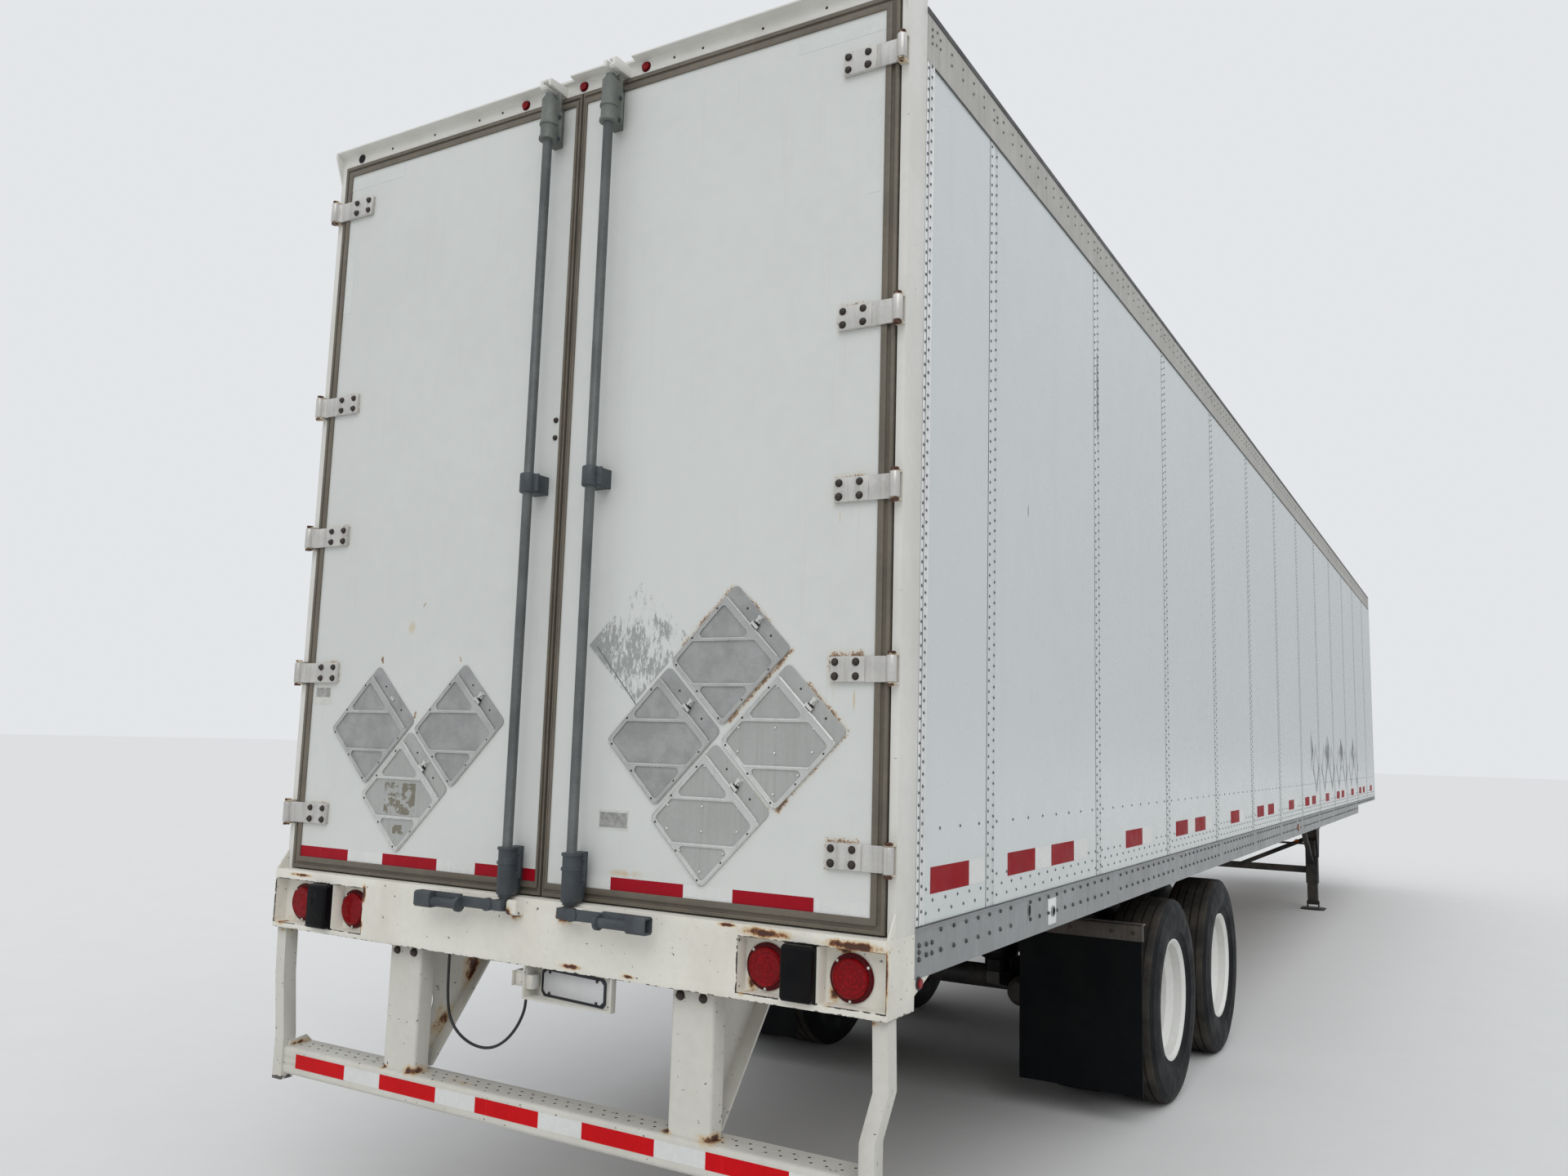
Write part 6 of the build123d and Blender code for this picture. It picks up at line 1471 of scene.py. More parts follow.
@dataclass
class Door(Sided):
    """One rear door with its tape, bolts, holders, labels and lock."""

    name: str
    strap_face: float = -18.0
    strap_ends: Pair = (1079.5, 1192.0)
    strap_half: float = 36.5
    strap_bolts: Pair = (1094.0, 1163.0)
    strap_bolt_off: float = 21.0
    rod_reach: float = 18.5
    rod_bare: tuple[Pair, ...] = ((1404.0, 3896.0), (1236.0, 1240.0), (4062.0, inf))
    high_castings: float = 3500.0
    clamp_z: float = 2638.0
    clamp_reach: float = 34.0
    guide_bolts: tuple[float, ...] = (1318.0, 1384.0, 3908.0, 3990.0)
    clamp_bolt_off: float = 13.0
    tape_low: float = 1286.0
    tape_high: float = 1330.0
    top_levels: tuple[Pair, ...] = ((3978.0, 4026.0), (3450.0, 3755.0))
    border: float = 15.0
    fold: float = 120.0
    fold_border: float = 25.0
    ribs: tuple[Pair, ...] = ((55.0, 400.0), (-87.0, 43.0), (-400.0, -99.0))
    edge: float = 3.4

    @property
    def body(self) -> Body:
        """The door's body."""
        return Body.DOOR_RIGHT if self.side > 0 else Body.DOOR_LEFT

    def build(self) -> None:
        """Makes the door's pieces."""
        dress(f"door_panel_{self.name}", Look.DOOR_RIGHT if self.side > 0 else Look.DOOR_LEFT)
        softened(f"door_edge_{self.name}", f"edge_frame_{self.name}", self.body, Slot.SEAL, [Look.SEAL], 1.5)
        softened(f"door_hinges_{self.name}", f"hinge_straps_{self.name}", self.body, Slot.GALVANISED, [Look.HINGE],
                 1.6)
        self.straps()
        self.lock()
        self.holders()
        self.tapes()
        self.labels()

    def straps(self) -> None:
        """A thicker bolted end on each hinge strap, with its four bolts."""
        shape = Shape()
        bolts = Heads(f"hinge_bolts_{self.name}", self.body, Slot.CAST, Look.BOLT, 13.5, 9.0, 10, 0.6, 0.1)
        for z in HINGE_ZS:
            x0, x1 = sorted(self.side * end for end in self.strap_ends)
            shape.box((x0, self.strap_face - 2.5, z - self.strap_half), (x1, self.strap_face + 1, z + self.strap_half))
            for x in self.strap_bolts:
                for off in (-self.strap_bolt_off, self.strap_bolt_off):
                    bolts.at((self.side * x, self.strap_face - 2.3, z + off), REARWARDS)
        shape.finish(f"strap_ends_{self.name}", self.body, Slot.GALVANISED, [Look.HINGE], bevel=1.2)
        bolts.make()

    def lock(self) -> None:
        """The lock gear's softened copy, zinc on the rod and dark castings elsewhere, with its bolts."""
        rod = LOCK_XS[self.name]
        axis = metres(rod, ROD_Y, self.clamp_z)

        def paint(centre: Vector) -> int:
            """The rod's own faces are 0, the low castings' are 1, and the high ones' are 2."""
            on_rod = hypot(centre.x - axis.x, centre.y - axis.y) < self.rod_reach * MILLIMETRE
            clamped = abs(centre.z - axis.z) < self.clamp_reach * MILLIMETRE
            bare = any(low * MILLIMETRE < centre.z < high * MILLIMETRE for low, high in self.rod_bare)
            if on_rod and bare and not clamped:
                return 0
            return 2 if centre.z > self.high_castings * MILLIMETRE else 1

        softened(f"door_lock_{self.name}", f"lock_gear_{self.name}", self.body, Slot.LOCK,
                 [Look.ROD, Look.GUIDE, Look.GUIDE_HIGH], 1.4, paint)
        bolts = Heads(f"lock_bolts_{self.name}", self.body, Slot.CAST, Look.GUIDE, 8.0, 7.0, 6, 0.9, 0.05)
        for z in self.guide_bolts:
            bolts.at((rod + 31, -49.7, z), REARWARDS)
        for off in (-self.clamp_bolt_off, self.clamp_bolt_off):
            bolts.at((rod + 27, ROD_Y + 0.5, self.clamp_z + off), REARWARDS)
        bolts.make()
        clamp = Shape()
        clamp.lathe([(0, -34), (27, -34), (29, -31), (29, 31), (27, 34), (0, 34)],
                    Matrix.Translation((rod, ROD_Y, self.clamp_z)), 24)
        clamp.box((rod + 20, ROD_Y - 6, self.clamp_z - 30), (rod + 50, ROD_Y + 3, self.clamp_z + 30))
        clamp.box((rod - 34, ROD_Y - 6, self.clamp_z - 26), (rod - 22, ROD_Y + 34, self.clamp_z + 26))
        clamp.finish(f"rod_clamp_{self.name}", self.body, Slot.LOCK, [Look.GUIDE], bevel=2.0)

    def holders(self) -> None:
        """The placard holders: a backing sheet, a pressed frame with three windows, a hinge strip and a clip."""
        shape = Shape()
        rivets = Heads(f"holder_rivets_{self.name}", self.body, Slot.ALUMINIUM, Look.BOLT, 4.2, 2.6)
        studs = Heads(f"holder_studs_{self.name}", self.body, Slot.ALUMINIUM, Look.SCREW, 5.6, 3.0)
        edge, border = self.edge, self.border - self.edge
        outer = rounded([(-LONG + edge, SHORT - edge), (-LONG + edge, edge - SHORT), (self.fold - edge, edge - SHORT),
                         (self.fold - edge, SHORT - edge)], (15.0, 15.0, 4.0, 4.0))
        inner = [(-LONG + border, SHORT - border), (-LONG + border, border - SHORT),
                 (self.fold - self.fold_border + edge, border - SHORT),
                 (self.fold - self.fold_border + edge, SHORT - border)]
        windows = [rounded(clipped(inner, low - edge, high + edge), (15.0,), 5) for low, high in self.ribs]
        sheet = rounded([(-LONG + 4, SHORT - 4), (-LONG + 4, 4 - SHORT), (self.fold + 2, 4 - SHORT),
                         (self.fold + 2, SHORT - 4)], (13.0,))
        strip = rounded([(self.fold - 20, SHORT - 1), (self.fold - 20, 1 - SHORT), (LONG - 1, 1 - SHORT),
                         (LONG - 1, SHORT - 1)], (2.0, 2.0, 17.0, 17.0))
        for holder in HOLDERS[self.name]:
            turn = Matrix(((HALF_ROOT, -HALF_ROOT, 0.0, holder.x), (0.0, 0.0, -1.0, DOOR_FACE),
                           (HALF_ROOT, HALF_ROOT, 0.0, holder.z), (0.0, 0.0, 0.0, 1.0)))
            look = 2 * holder.finish
            shape.plate([sheet], 2.4, 0.4, look, turn)
            # The frame and, in ridges, its beads take the lighter rim finish: a painted highlight.
            shape.plate([outer, *windows], 9.0, edge, look + 1, turn)
            shape.plate([strip], 5.0, 0.9, look, turn)
            self.ridges(shape, turn, look + 1)
            self.clip(shape, turn, holder.clip)
            for a, b in HOLDER_RIVETS:
                place = turn @ Vector((a, b, 4.8 if a > self.fold else 8.8))
                rivets.at(tuple(place), REARWARDS)
            if holder.studs:
                for x, z in HOLDER_STUDS:
                    studs.at((holder.x + x, DOOR_FACE - 2.8, holder.z + z), REARWARDS)
        finishes = [Look.HOLDER, Look.HOLDER_RIM, Look.HOLDER_BRIGHT, Look.BRIGHT_RIM, Look.SCREW, Look.HOLE_SHADOW]
        piece = shape.finish(f"holders_{self.name}", self.body, Slot.ALUMINIUM, finishes, smooth=42.0,
                             recalculate=False)
        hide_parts(f"door_placards_{self.name}")
        rivets.make()
        if studs.places:
            studs.make()

    def ridges(self, shape: Shape, turn: Matrix, finish: int) -> None:
        """The rolled fold, the rim beads and the bead along each rib of one holder."""
        low, high = 5.0 - LONG, self.fold - 6.0
        side = SHORT - 4.5
        rows = [(4.0 if finish > 1 else 3.2, (self.fold - 1.0, 13 - SHORT), (self.fold - 1.0, SHORT - 13)),
                (2.2, (high, side), (low + 8, side)), (2.2, (low, side - 8), (low, 8 - side)),
                (2.2, (low + 8, -side), (high, -side))]
        for level in (49.0, -93.0):
            reach = level * 2 ** 0.5
            ends = [(a, reach - a) for a in (max(low + 6, reach - side + 6), min(high - 16, reach + side - 6))]
            rows.append((2.0, ends[0], ends[1]))
        for radius, start, end in rows:
            line = [turn @ Vector((start[0] + (end[0] - start[0]) * k / 4, start[1] + (end[1] - start[1]) * k / 4, 8.6))
                    for k in range(5)]
            shape.tube([tuple(point) for point in line], radius, 8, finish)

    def clip(self, shape: Shape, turn: Matrix, whole: bool) -> None:
        """A holder's spring clip, or the bent tab that is left of it."""
        for low, high, finish in CLIP_BOXES if whole else TORN_CLIP_BOXES:
            shape.box(low, high, finish, turn)

    def tapes(self) -> None:
        """Red and white tape along the door's foot, and white strips at its top corner."""
        for red, finish, slot in ((1, Look.RED_TAPE, Slot.RED), (0, Look.WHITE_TAPE, Slot.DOOR)):
            shape = Shape()
            for start, end, is_red in DOOR_TAPES[self.name]:
                if is_red == red:
                    shape.box((start, DOOR_FACE - 0.6, self.tape_low), (end, DOOR_FACE + 0.3, self.tape_high))
            shape.finish(f"door_tape_{'red' if red else 'white'}_{self.name}", self.body, slot, [finish])
        strips = Shape()
        for (start, end), (low, high) in zip(TOP_STRIPS[self.name], self.top_levels):
            strips.box((start, DOOR_FACE - 0.6, low), (end, DOOR_FACE + 0.3, high))
        strips.finish(f"corner_strips_{self.name}", self.body, Slot.DOOR, [Look.SIDE_STRIP])

    def labels(self) -> None:
        """Blank labels, and two bolts near the doors' meeting edge."""
        shape = Shape()
        for i, (x0, z0, x1, z1, proud) in enumerate(LABELS[self.name]):
            shape.box((x0, DOOR_FACE - proud, z0), (x1, DOOR_FACE + 0.2, z1), i)
        shape.finish(f"blank_labels_{self.name}", self.body, Slot.DOOR, [Look.LABEL, Look.FOIL])
        if self.side < 0:
            bolts = Heads("door_bolts_left", self.body, Slot.CAST, Look.BOLT, 11.0, 7.0, 8, 0.7)
            for z in (2874, 2811):
                bolts.at((-45, DOOR_FACE - 0.2, z), REARWARDS)
            bolts.make()


@dataclass
class RearFrame:
    """Posts, header, sill, hinge butts, lamps and dock bumpers."""

    lamp_xs: Pair = (880.0, 1160.0)
    lamp_z: float = 1119.0
    lamp_seat: float = 6.0
    left_shift: float = 22.0
    lamp_outline: tuple[Pair, ...] = ((0, 0), (69, 0), (69, 5), (66, 8), (58, 8.4), (57, 9), (56.5, 15), (53, 19),
                                      (45, 20.8), (43, 20.2), (30, 22.0), (29, 21.4), (14, 22.8), (0, 23.2))
    flange_parts: int = 5
    screw_circle: float = 63.0
    screw_angles: Point = (135.0, 33.0, 268.0)
    bumper_middle: Point = (1020.0, -81.0, 1125.0)
    bumper_scars: tuple[tuple[int, ...], ...] = ((8, 44, 15, 12), (-22, 18, 10, 18), (20, -30, 12, 9))
    header_z: float = 4115.0
    header_screws: tuple[float, ...] = (-1000.0, -760.0, -520.0, -400.0, -140.0, 140.0, 400.0, 520.0, 760.0, 1000.0,
                                        1180.0)

    def build(self) -> None:
        """Makes the rear frame's pieces."""
        for node, name, look, width in (("rear_frame", "post_frame", Look.FRAME, 2.5),
                                        ("rear_sill", "sill_body", Look.SILL, 1.6),
                                        ("hinge_butts", "hinge_plates", Look.BUTT, 1.2)):
            softened(node, name, Body.FIXED, Slot.PAINT, [look], width)
        self.bumpers()
        self.lamps()
        self.header()

    def bumpers(self) -> None:
        """The rubber blocks, worn round and a little dented."""
        piece = softened("dock_bumpers", "bumper_blocks", Body.FIXED, Slot.RUBBER, [Look.BUMPER], 17.0)
        piece.data.set_sharp_from_angle(angle=radians(55))
        shape = Shape()
        x, y, z = self.bumper_middle
        for side in SIDES:
            for dx, dz, wide, tall in self.bumper_scars:
                turn = along_y(side * x + dx, y, z + dz) @ Matrix.Diagonal((wide, tall, 1.0, 1.0))
                shape.lathe([(0, 0), (1, 0), (0.8, 1.6), (0.45, 2.0), (0, 0.8)], turn, 14)
        shape.finish("bumper_scars", Body.FIXED, Slot.RUBBER, [Look.BUMPER], smooth=60.0)

    def lamps(self) -> None:
        """Round lamps: a flange with three screws and a domed lens with moulded rings."""
        shape = Shape()
        screws = Heads("lamp_screws", Body.FIXED, Slot.GALVANISED, Look.SCREW, 6.0, 3.6, 10, 0.5, 0.0)
        lens_parts = len(self.lamp_outline) - 1 - self.flange_parts
        kinds = (0,) * self.flange_parts + (1,) * lens_parts
        for side in SIDES:
            for lamp_x in self.lamp_xs:
                x = side * (lamp_x + (self.left_shift if side < 0 else 0.0))
                shape.lathe(self.lamp_outline, along_y(x, self.lamp_seat, self.lamp_z), 48, kinds)
                for angle in self.screw_angles:
                    screws.at((x + self.screw_circle * cos(radians(angle)), self.lamp_seat - 8.0,
                               self.lamp_z + self.screw_circle * sin(radians(angle))), REARWARDS)
        piece = shape.finish("round_lamps", Body.FIXED, Slot.RED, [Look.FLANGE, Look.LENS])
        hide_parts("tail_lamps")
        screws.make()

    def header(self) -> None:
        """The header's marker lamps' rims, an empty lamp ring and the screws between them."""
        shape = Shape()
        z = self.header_z
        rim = ((0, 0), (19, 0), (19, 2), (17.5, 3), (15, 3), (14, 2), (0, 2))
        for x in (-280, 0, 280):
            shape.lathe(rim, along_y(x, 0.5, z), 28, (2, 2, 2, 2, 2, 2))
        # The empty ring's inner disc takes the dark hole finish: painted shade inside the ring.
        shape.lathe(rim, along_y(-1180, 0.5, z), 28, (0, 0, 0, 0, 0, 1))
        shape.finish("marker_rims", Body.FIXED, Slot.PLASTIC, [Look.PLASTIC, Look.HOLE_SHADOW, Look.FLANGE])
        screws = Heads("header_screws", Body.FIXED, Slot.CAST, Look.BOLT, 5.5, 3.0)
        for x in self.header_screws:
            screws.at((x, 0.2, z + 2), REARWARDS)
        screws.make()


@dataclass
class Guard:
    """The underride guard's tape, bolts and the grip holes along its bar."""

    bar_top: float = 592.0
    bar_back: float = -18.0
    post_x: float = 621.0
    hole_rows: Pair = (26.0, 62.0)
    hole_pitch: float = 50.0
    post_half: float = 84.0
    post_back: float = 70.0
    tape_edges: tuple[float, ...] = (-1137, -871, -688, -412, -227, 51, 231, 513, 700, 985, 1172)
    tape_low: float = 522.0
    tape_high: float = 572.0

    def build(self) -> None:
        """Makes the guard's pieces."""
        softened("rear_guard", "guard_frame", Body.FIXED, Slot.PAINT, [Look.GUARD], 2.5)
        red, white = Shape(), Shape()
        face = self.bar_back
        for i, (start, end) in enumerate(zip(self.tape_edges, self.tape_edges[1:])):
            shape = red if i % 2 == 0 else white
            shape.box((start, face - 0.7, self.tape_low), (end, face + 2.5, self.tape_high))
        red.finish("guard_tape_red", Body.FIXED, Slot.RED, [Look.GUARD_TAPE])
        white.finish("guard_tape_white", Body.FIXED, Slot.PAINT, [Look.WHITE_TAPE])
        # Flat dark discs of painted shade stand in for the grip holes, each ringed by a low rim of the guard's paint.
        holes = Heads("guard_holes", Body.FIXED, Slot.PAINT, Look.HOLE_SHADOW, 5.6, 0.7, 8, 0.9, 0.0)
        rims = Heads("guard_hole_rims", Body.FIXED, Slot.PAINT, Look.GUARD, 7.0, 0.5, 10, 0.8, 0.0)
        for i, y in enumerate(self.hole_rows):
            for x in steps(-1170 + i * self.hole_pitch / 2, 1170, self.hole_pitch):
                if abs(abs(x) - self.post_x) < self.post_half and y < self.post_back:
                    continue
                for heads in (rims, holes):
                    heads.at((x, y, self.bar_top - 0.1), UPWARDS)
        holes.make()
        rims.make()
        bolts = Heads("guard_bolts", Body.FIXED, Slot.CAST, Look.BOLT, 17.0, 11.0, 10, 0.62, 0.1)
        for side in SIDES:
            for x in (576, 660):
                bolts.at((side * x, -0.2, 1000), REARWARDS)
        bolts.make()


@dataclass
class PlateHolder:
    """The plate holder with a blank plate, its lamp's lens and the terminal box's cover."""

    left: Pair = (-14.0, 14.0)
    right: Pair = (341.0, -30.0)
    low: float = 926.0
    high: float = 1018.0
    plate_turn: float = -0.1233
    plate_half: float = 150.0
    plate_cut: float = 14.0
    bolt_off: Pair = (110.0, 34.0)
    lamp_boxes: tuple[tuple[Point, Point, int], ...] = (
        ((6, -33, 950), (11, -2, 994), 0), ((-67, -49, 956), (-63.4, -1, 1004), 1),
        ((-60, -38.2, 962), (-30, -35.4, 998), 1),
    )

    def build(self) -> None:
        """Makes the holder's pieces."""
        softened("plate_holder", "plate_bracket", Body.FIXED, Slot.PAINT, [Look.GUARD], 1.2)
        (x0, y0), (x1, y1) = self.left, self.right
        middle = Vector(((x0 + x1) / 2, (y0 + y1) / 2 - 2.2, (self.low + self.high) / 2))
        turn = Matrix.Translation(middle) @ Matrix.Rotation(self.plate_turn, 4, "Z")
        half, tall, cut = self.plate_half, (self.high - self.low) / 2, self.plate_cut
        outline = [(-half + cut, -tall), (half - cut, -tall), (half, -tall + cut), (half, tall - cut),
                   (half - cut, tall), (-half + cut, tall), (-half, tall - cut), (-half, -tall + cut)]
        shape = Shape()
        shape.prism(outline, -1.4, 1.4, 2, turn)
        inner = [(x * 0.93, z * 0.80) for x, z in outline]
        shape.prism(inner, -2.2, -1.2, 0, turn)
        for side in SIDES:
            for up in SIDES:
                place = along_y(side * self.bolt_off[0], -2.4, up * self.bolt_off[1])
                shape.lathe([(0, 0), (6, 0), (5, 3), (0, 3.4)], turn @ place, 16, (1, 1, 1))
        shape.finish("blank_plate", Body.FIXED, Slot.PAINT, [Look.PLATE, Look.BOLT, Look.PLATE_RIM], bevel=0.5)
        lamp = Shape()
        for low, high, finish in self.lamp_boxes:
            lamp.box(low, high, finish)
        lamp.finish("plate_lamp", Body.FIXED, Slot.PLASTIC, [Look.LABEL, Look.GUARD], bevel=1.2)


@dataclass
class WheelPair(Sided):
    """A pair of tyres on one hub, with grooved treads, wheel nuts and a valve."""

    place: str
    name: str
    tyre_xs: Pair = (810.0, 1153.0)
    radius: float = AXLE_Z
    bead: float = 288.0
    grooves: tuple[float, ...] = (-70.0, -25.0, 25.0, 70.0)
    segments: int = 96
    nuts: int = 10
    nut_circle: float = 142.9
    nut_face: float = 993.0
    hub_nuts: int = 8
    hub_circle: float = 88.0
    hub_face: float = 1109.0

    @property
    def body(self) -> Body:
        """The pair's body."""
        return Body(f"wheels_{self.place}_{self.name}")

    def outline(self) -> tuple[list[Pair], list[int]]:
        """The tyre's (radius, width) outline from one bead to the other, and the finish of each stretch."""
        top = self.radius - 0.4
        tread: list[Pair] = [(top - 7, -112.0), (top - 2.4, -104.0)]
        for x in self.grooves:
            wide = 6.0 if abs(x) > 50 else 5.0
            sag = 0.9 * (abs(x) / 70) ** 2
            tread += [(top - sag, x - wide), (top - 12, x - wide + 1.5), (top - 12, x + wide - 1.5),
                      (top - sag, x + wide)]
        tread += [(top - 2.4, 104.0), (top - 7, 112.0)]
        wall: list[Pair] = [(top - 18, 119.0), (top - 30, 124.0), (top - 32, 127.0), (top - 36, 127.4),
                            (top - 70, 136.0), (top - 98, 139.5), (top - 120, 139.0), (top - 150, 131.0),
                            (top - 158, 131.5), (top - 162, 127.0), (top - 180, 118.0), (self.bead + 22, 110.5),
                            (self.bead + 14, 110.0), (self.bead + 2, 101.0), (self.bead - 0.2, 96.0)]
        points = [(r, -w) for r, w in reversed(wall)] + tread + wall + [(self.bead + 6, 60.0), (self.bead + 6, -60.0)]
        kinds = [1] * len(wall) + [0] * (len(tread) - 1) + [1] * (len(wall) + 3)
        return points, kinds

    def build(self) -> None:
        """Makes the pair's pieces."""
        y = AXLE_YS[self.place]
        points, kinds = self.outline()
        shape = Shape()
        for x in self.tyre_xs:
            shape.lathe(points, along_x(self.side * x, y, AXLE_Z), self.segments, kinds)
        piece = shape.finish(f"road_tyres_{self.place}_{self.name}", self.body, Slot.TYRE, [Look.TREAD, Look.SIDEWALL],
                             smooth=38.0)
        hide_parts(f"tyres_{self.place}_{self.name}")
        dress(f"wheel_{self.place}_{self.name}", Look.WHEEL)
        nuts = Heads(f"wheel_nuts_{self.place}_{self.name}", self.body, Slot.CAST, Look.NUT, 16.5, 24.0, 6, 0.86, 0.0)
        aim = (float(self.side), 0.0, 0.0)
        for count, start, face, circle in ((self.nuts, 0.2, self.nut_face, self.nut_circle),
                                           (self.hub_nuts, 0.0, self.hub_face, self.hub_circle)):
            for i in range(count):
                angle = 2 * pi * i / count + start
                nuts.at((self.side * face, y + circle * cos(angle), AXLE_Z + circle * sin(angle)), aim)
        nuts.make()
        bits = Shape()
        valve = ((1043, 248), (1075, 240), (1100, 236))
        bits.tube([(self.side * x, y + off, AXLE_Z) for x, off in valve], 5.0, 8)
        bits.lathe([(0, 0), (60, 0), (60, 4), (52, 8), (0, 8)], along_x(self.side * 1148, y, AXLE_Z, self.side), 32)
        bits.finish(f"hub_bits_{self.place}_{self.name}", self.body, Slot.CAST, [Look.NUT])


@dataclass
class MudFlap:
    """A rubber flap that hangs with a slight bow, and the bar that clamps its top."""

    side: int
    inner: float = 645.0
    outer: float = 1255.0
    face: float = 2885.0
    low: float = 150.0
    high: float = 915.0
    thick: float = 8.0
    clamp_bolts: tuple[float, ...] = (710.0, 905.0, 1110.0, 1215.0)

    def build(self) -> None:
        """Makes the flap and its clamp bar."""
        name = "right" if self.side > 0 else "left"
        shape = Shape()
        across, down = 18, 26
        points: list[Point] = []
        for back in (0.0, self.thick):
            for j in range(down + 1):
                for i in range(across + 1):
                    u, v = i / across, j / down
                    x = self.side * (self.inner + (self.outer - self.inner) * u)
                    bow = 4.0 * sin(pi * u) * v + 3.0 * sin(2.3 * pi * u + 0.6) * v * v - 3.0 * v
                    points.append((x, self.face + back + bow, self.high - (self.high - self.low) * v))
        wide, total = across + 1, (across + 1) * (down + 1)
        rows = []
        for j in range(down):
            for i in range(across):
                a = j * wide + i
                rows.append((a, a + 1, a + wide + 1, a + wide))
                rows.append((a + total, a + total + wide, a + total + wide + 1, a + total + 1))
        rim = list(range(wide)) + [j * wide + across for j in range(1, down + 1)]
        rim += [down * wide + i for i in range(across - 1, -1, -1)] + [j * wide for j in range(down - 1, 0, -1)]
        rows += [(a, b, b + total, a + total) for a, b in zip(rim, rim[1:] + rim[:1])]
        shape.add(points, rows)
        piece = shape.finish(f"rubber_flap_{name}", Body.FIXED, Slot.RUBBER, [Look.FLAP])
        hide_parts("mud_flaps")
        bar = Shape()
        x0, x1 = sorted((self.side * (self.inner - 5), self.side * (self.outer + 4)))
        bar.box((x0, self.face - 5, self.high - 46), (x1, self.face + 1, self.high + 32))
        bar.box((x0, self.face - 5, self.high + 27), (x1, self.face + 12, self.high + 32))
        bar.finish(f"flap_clamp_{name}", Body.FIXED, Slot.GALVANISED, [Look.CLAMP], bevel=1.5)
        bolts = Heads(f"flap_bolts_{name}", Body.FIXED, Slot.CAST, Look.BOLT, 10.0, 7.0, 6, 0.9)
        for x in self.clamp_bolts:
            bolts.at((self.side * x, self.face - 4.8, self.high - 8), REARWARDS)
        bolts.make()


@dataclass
class Underside:
    """The chassis pieces' finishes, with brake hoses and landing gear bolts."""

    leg_x: float = 860.0
    leg_y: float = 12600.0
    leg_side: float = 74.0
    leg_back: float = 134.0
    gusset_offs: tuple[float, ...] = (-190.0, -130.0, -70.0, 70.0, 130.0, 190.0)
    gusset_rows: tuple[Pair, ...] = ((1075.0, 1.0), (965.0, 0.8))
    shell_rows: Point = (640.0, 700.0, 760.0)
    shell_off: float = 36.0
    hose_radius: float = 8.0
    hoses_right: tuple[tuple[Point, ...], ...] = (
        ((180, 5780, 735), (180, 5700, 700), (340, 5560, 800), (340, 5300, 865), (340, 4800, 868), (340, 4560, 800),
         (470, 4480, 690), (560, 4440, 605)),
        ((362, 5560, 800), (362, 5300, 880), (362, 3560, 882), (362, 3330, 800), (470, 3240, 690), (560, 3195, 605)),
    )

    def build(self) -> None:
        """Dresses the CAD nodes below the floor and adds what hangs there."""
        for node, finish in (("crossmembers", Look.BEAMS), ("upper_coupler", Look.CHASSIS), ("kingpin", Look.CAST),
                             ("body_rails", Look.CHASSIS), ("axles", Look.CHASSIS), ("air_springs", Look.BUMPER),
                             ("brake_chambers", Look.CAST), ("shock_absorbers", Look.CHASSIS),
                             ("air_tank", Look.CHASSIS), ("flap_brackets", Look.BEAMS), ("floor", Look.WOOD)):
            dress(node, finish)
        for node, name, width in (("bogie_frame", "slider_frame", 2.5), ("landing_legs", "leg_shells", 2.5),
                                  ("landing_braces", "leg_braces", 2.0), ("landing_struts", "leg_struts", 2.0)):
            softened(node, name, Body.FIXED, Slot.BLACK_STEEL, [Look.CHASSIS], width)
        dress("landing_crank", Look.CAST)
        bolts = Heads("leg_bolts", Body.FIXED, Slot.CAST, Look.BOLT, 13.0, 10.0, 6, 0.9)
        for side in SIDES:
            aim = (float(side), 0.0, 0.0)
            for off in self.gusset_offs:
                for z, share in self.gusset_rows:
                    bolts.at((side * (self.leg_x + self.leg_side), self.leg_y + off * share, z), aim)
            for z in self.shell_rows:
                for off in (-self.shell_off, self.shell_off):
                    bolts.at((side * self.leg_x + off, self.leg_y - self.leg_back, z), REARWARDS)
        bolts.make()
        self.hoses()

    def hoses(self) -> None:
        """Air lines from the tank to the brake chambers, along the slider's rails."""
        shape = Shape()
        for side in SIDES:
            for route in self.hoses_right:
                shape.tube([(side * x, y, z) for x, y, z in route], self.hose_radius, 8)
        shape.finish("brake_hoses", Body.FIXED, Slot.RUBBER, [Look.PLASTIC])


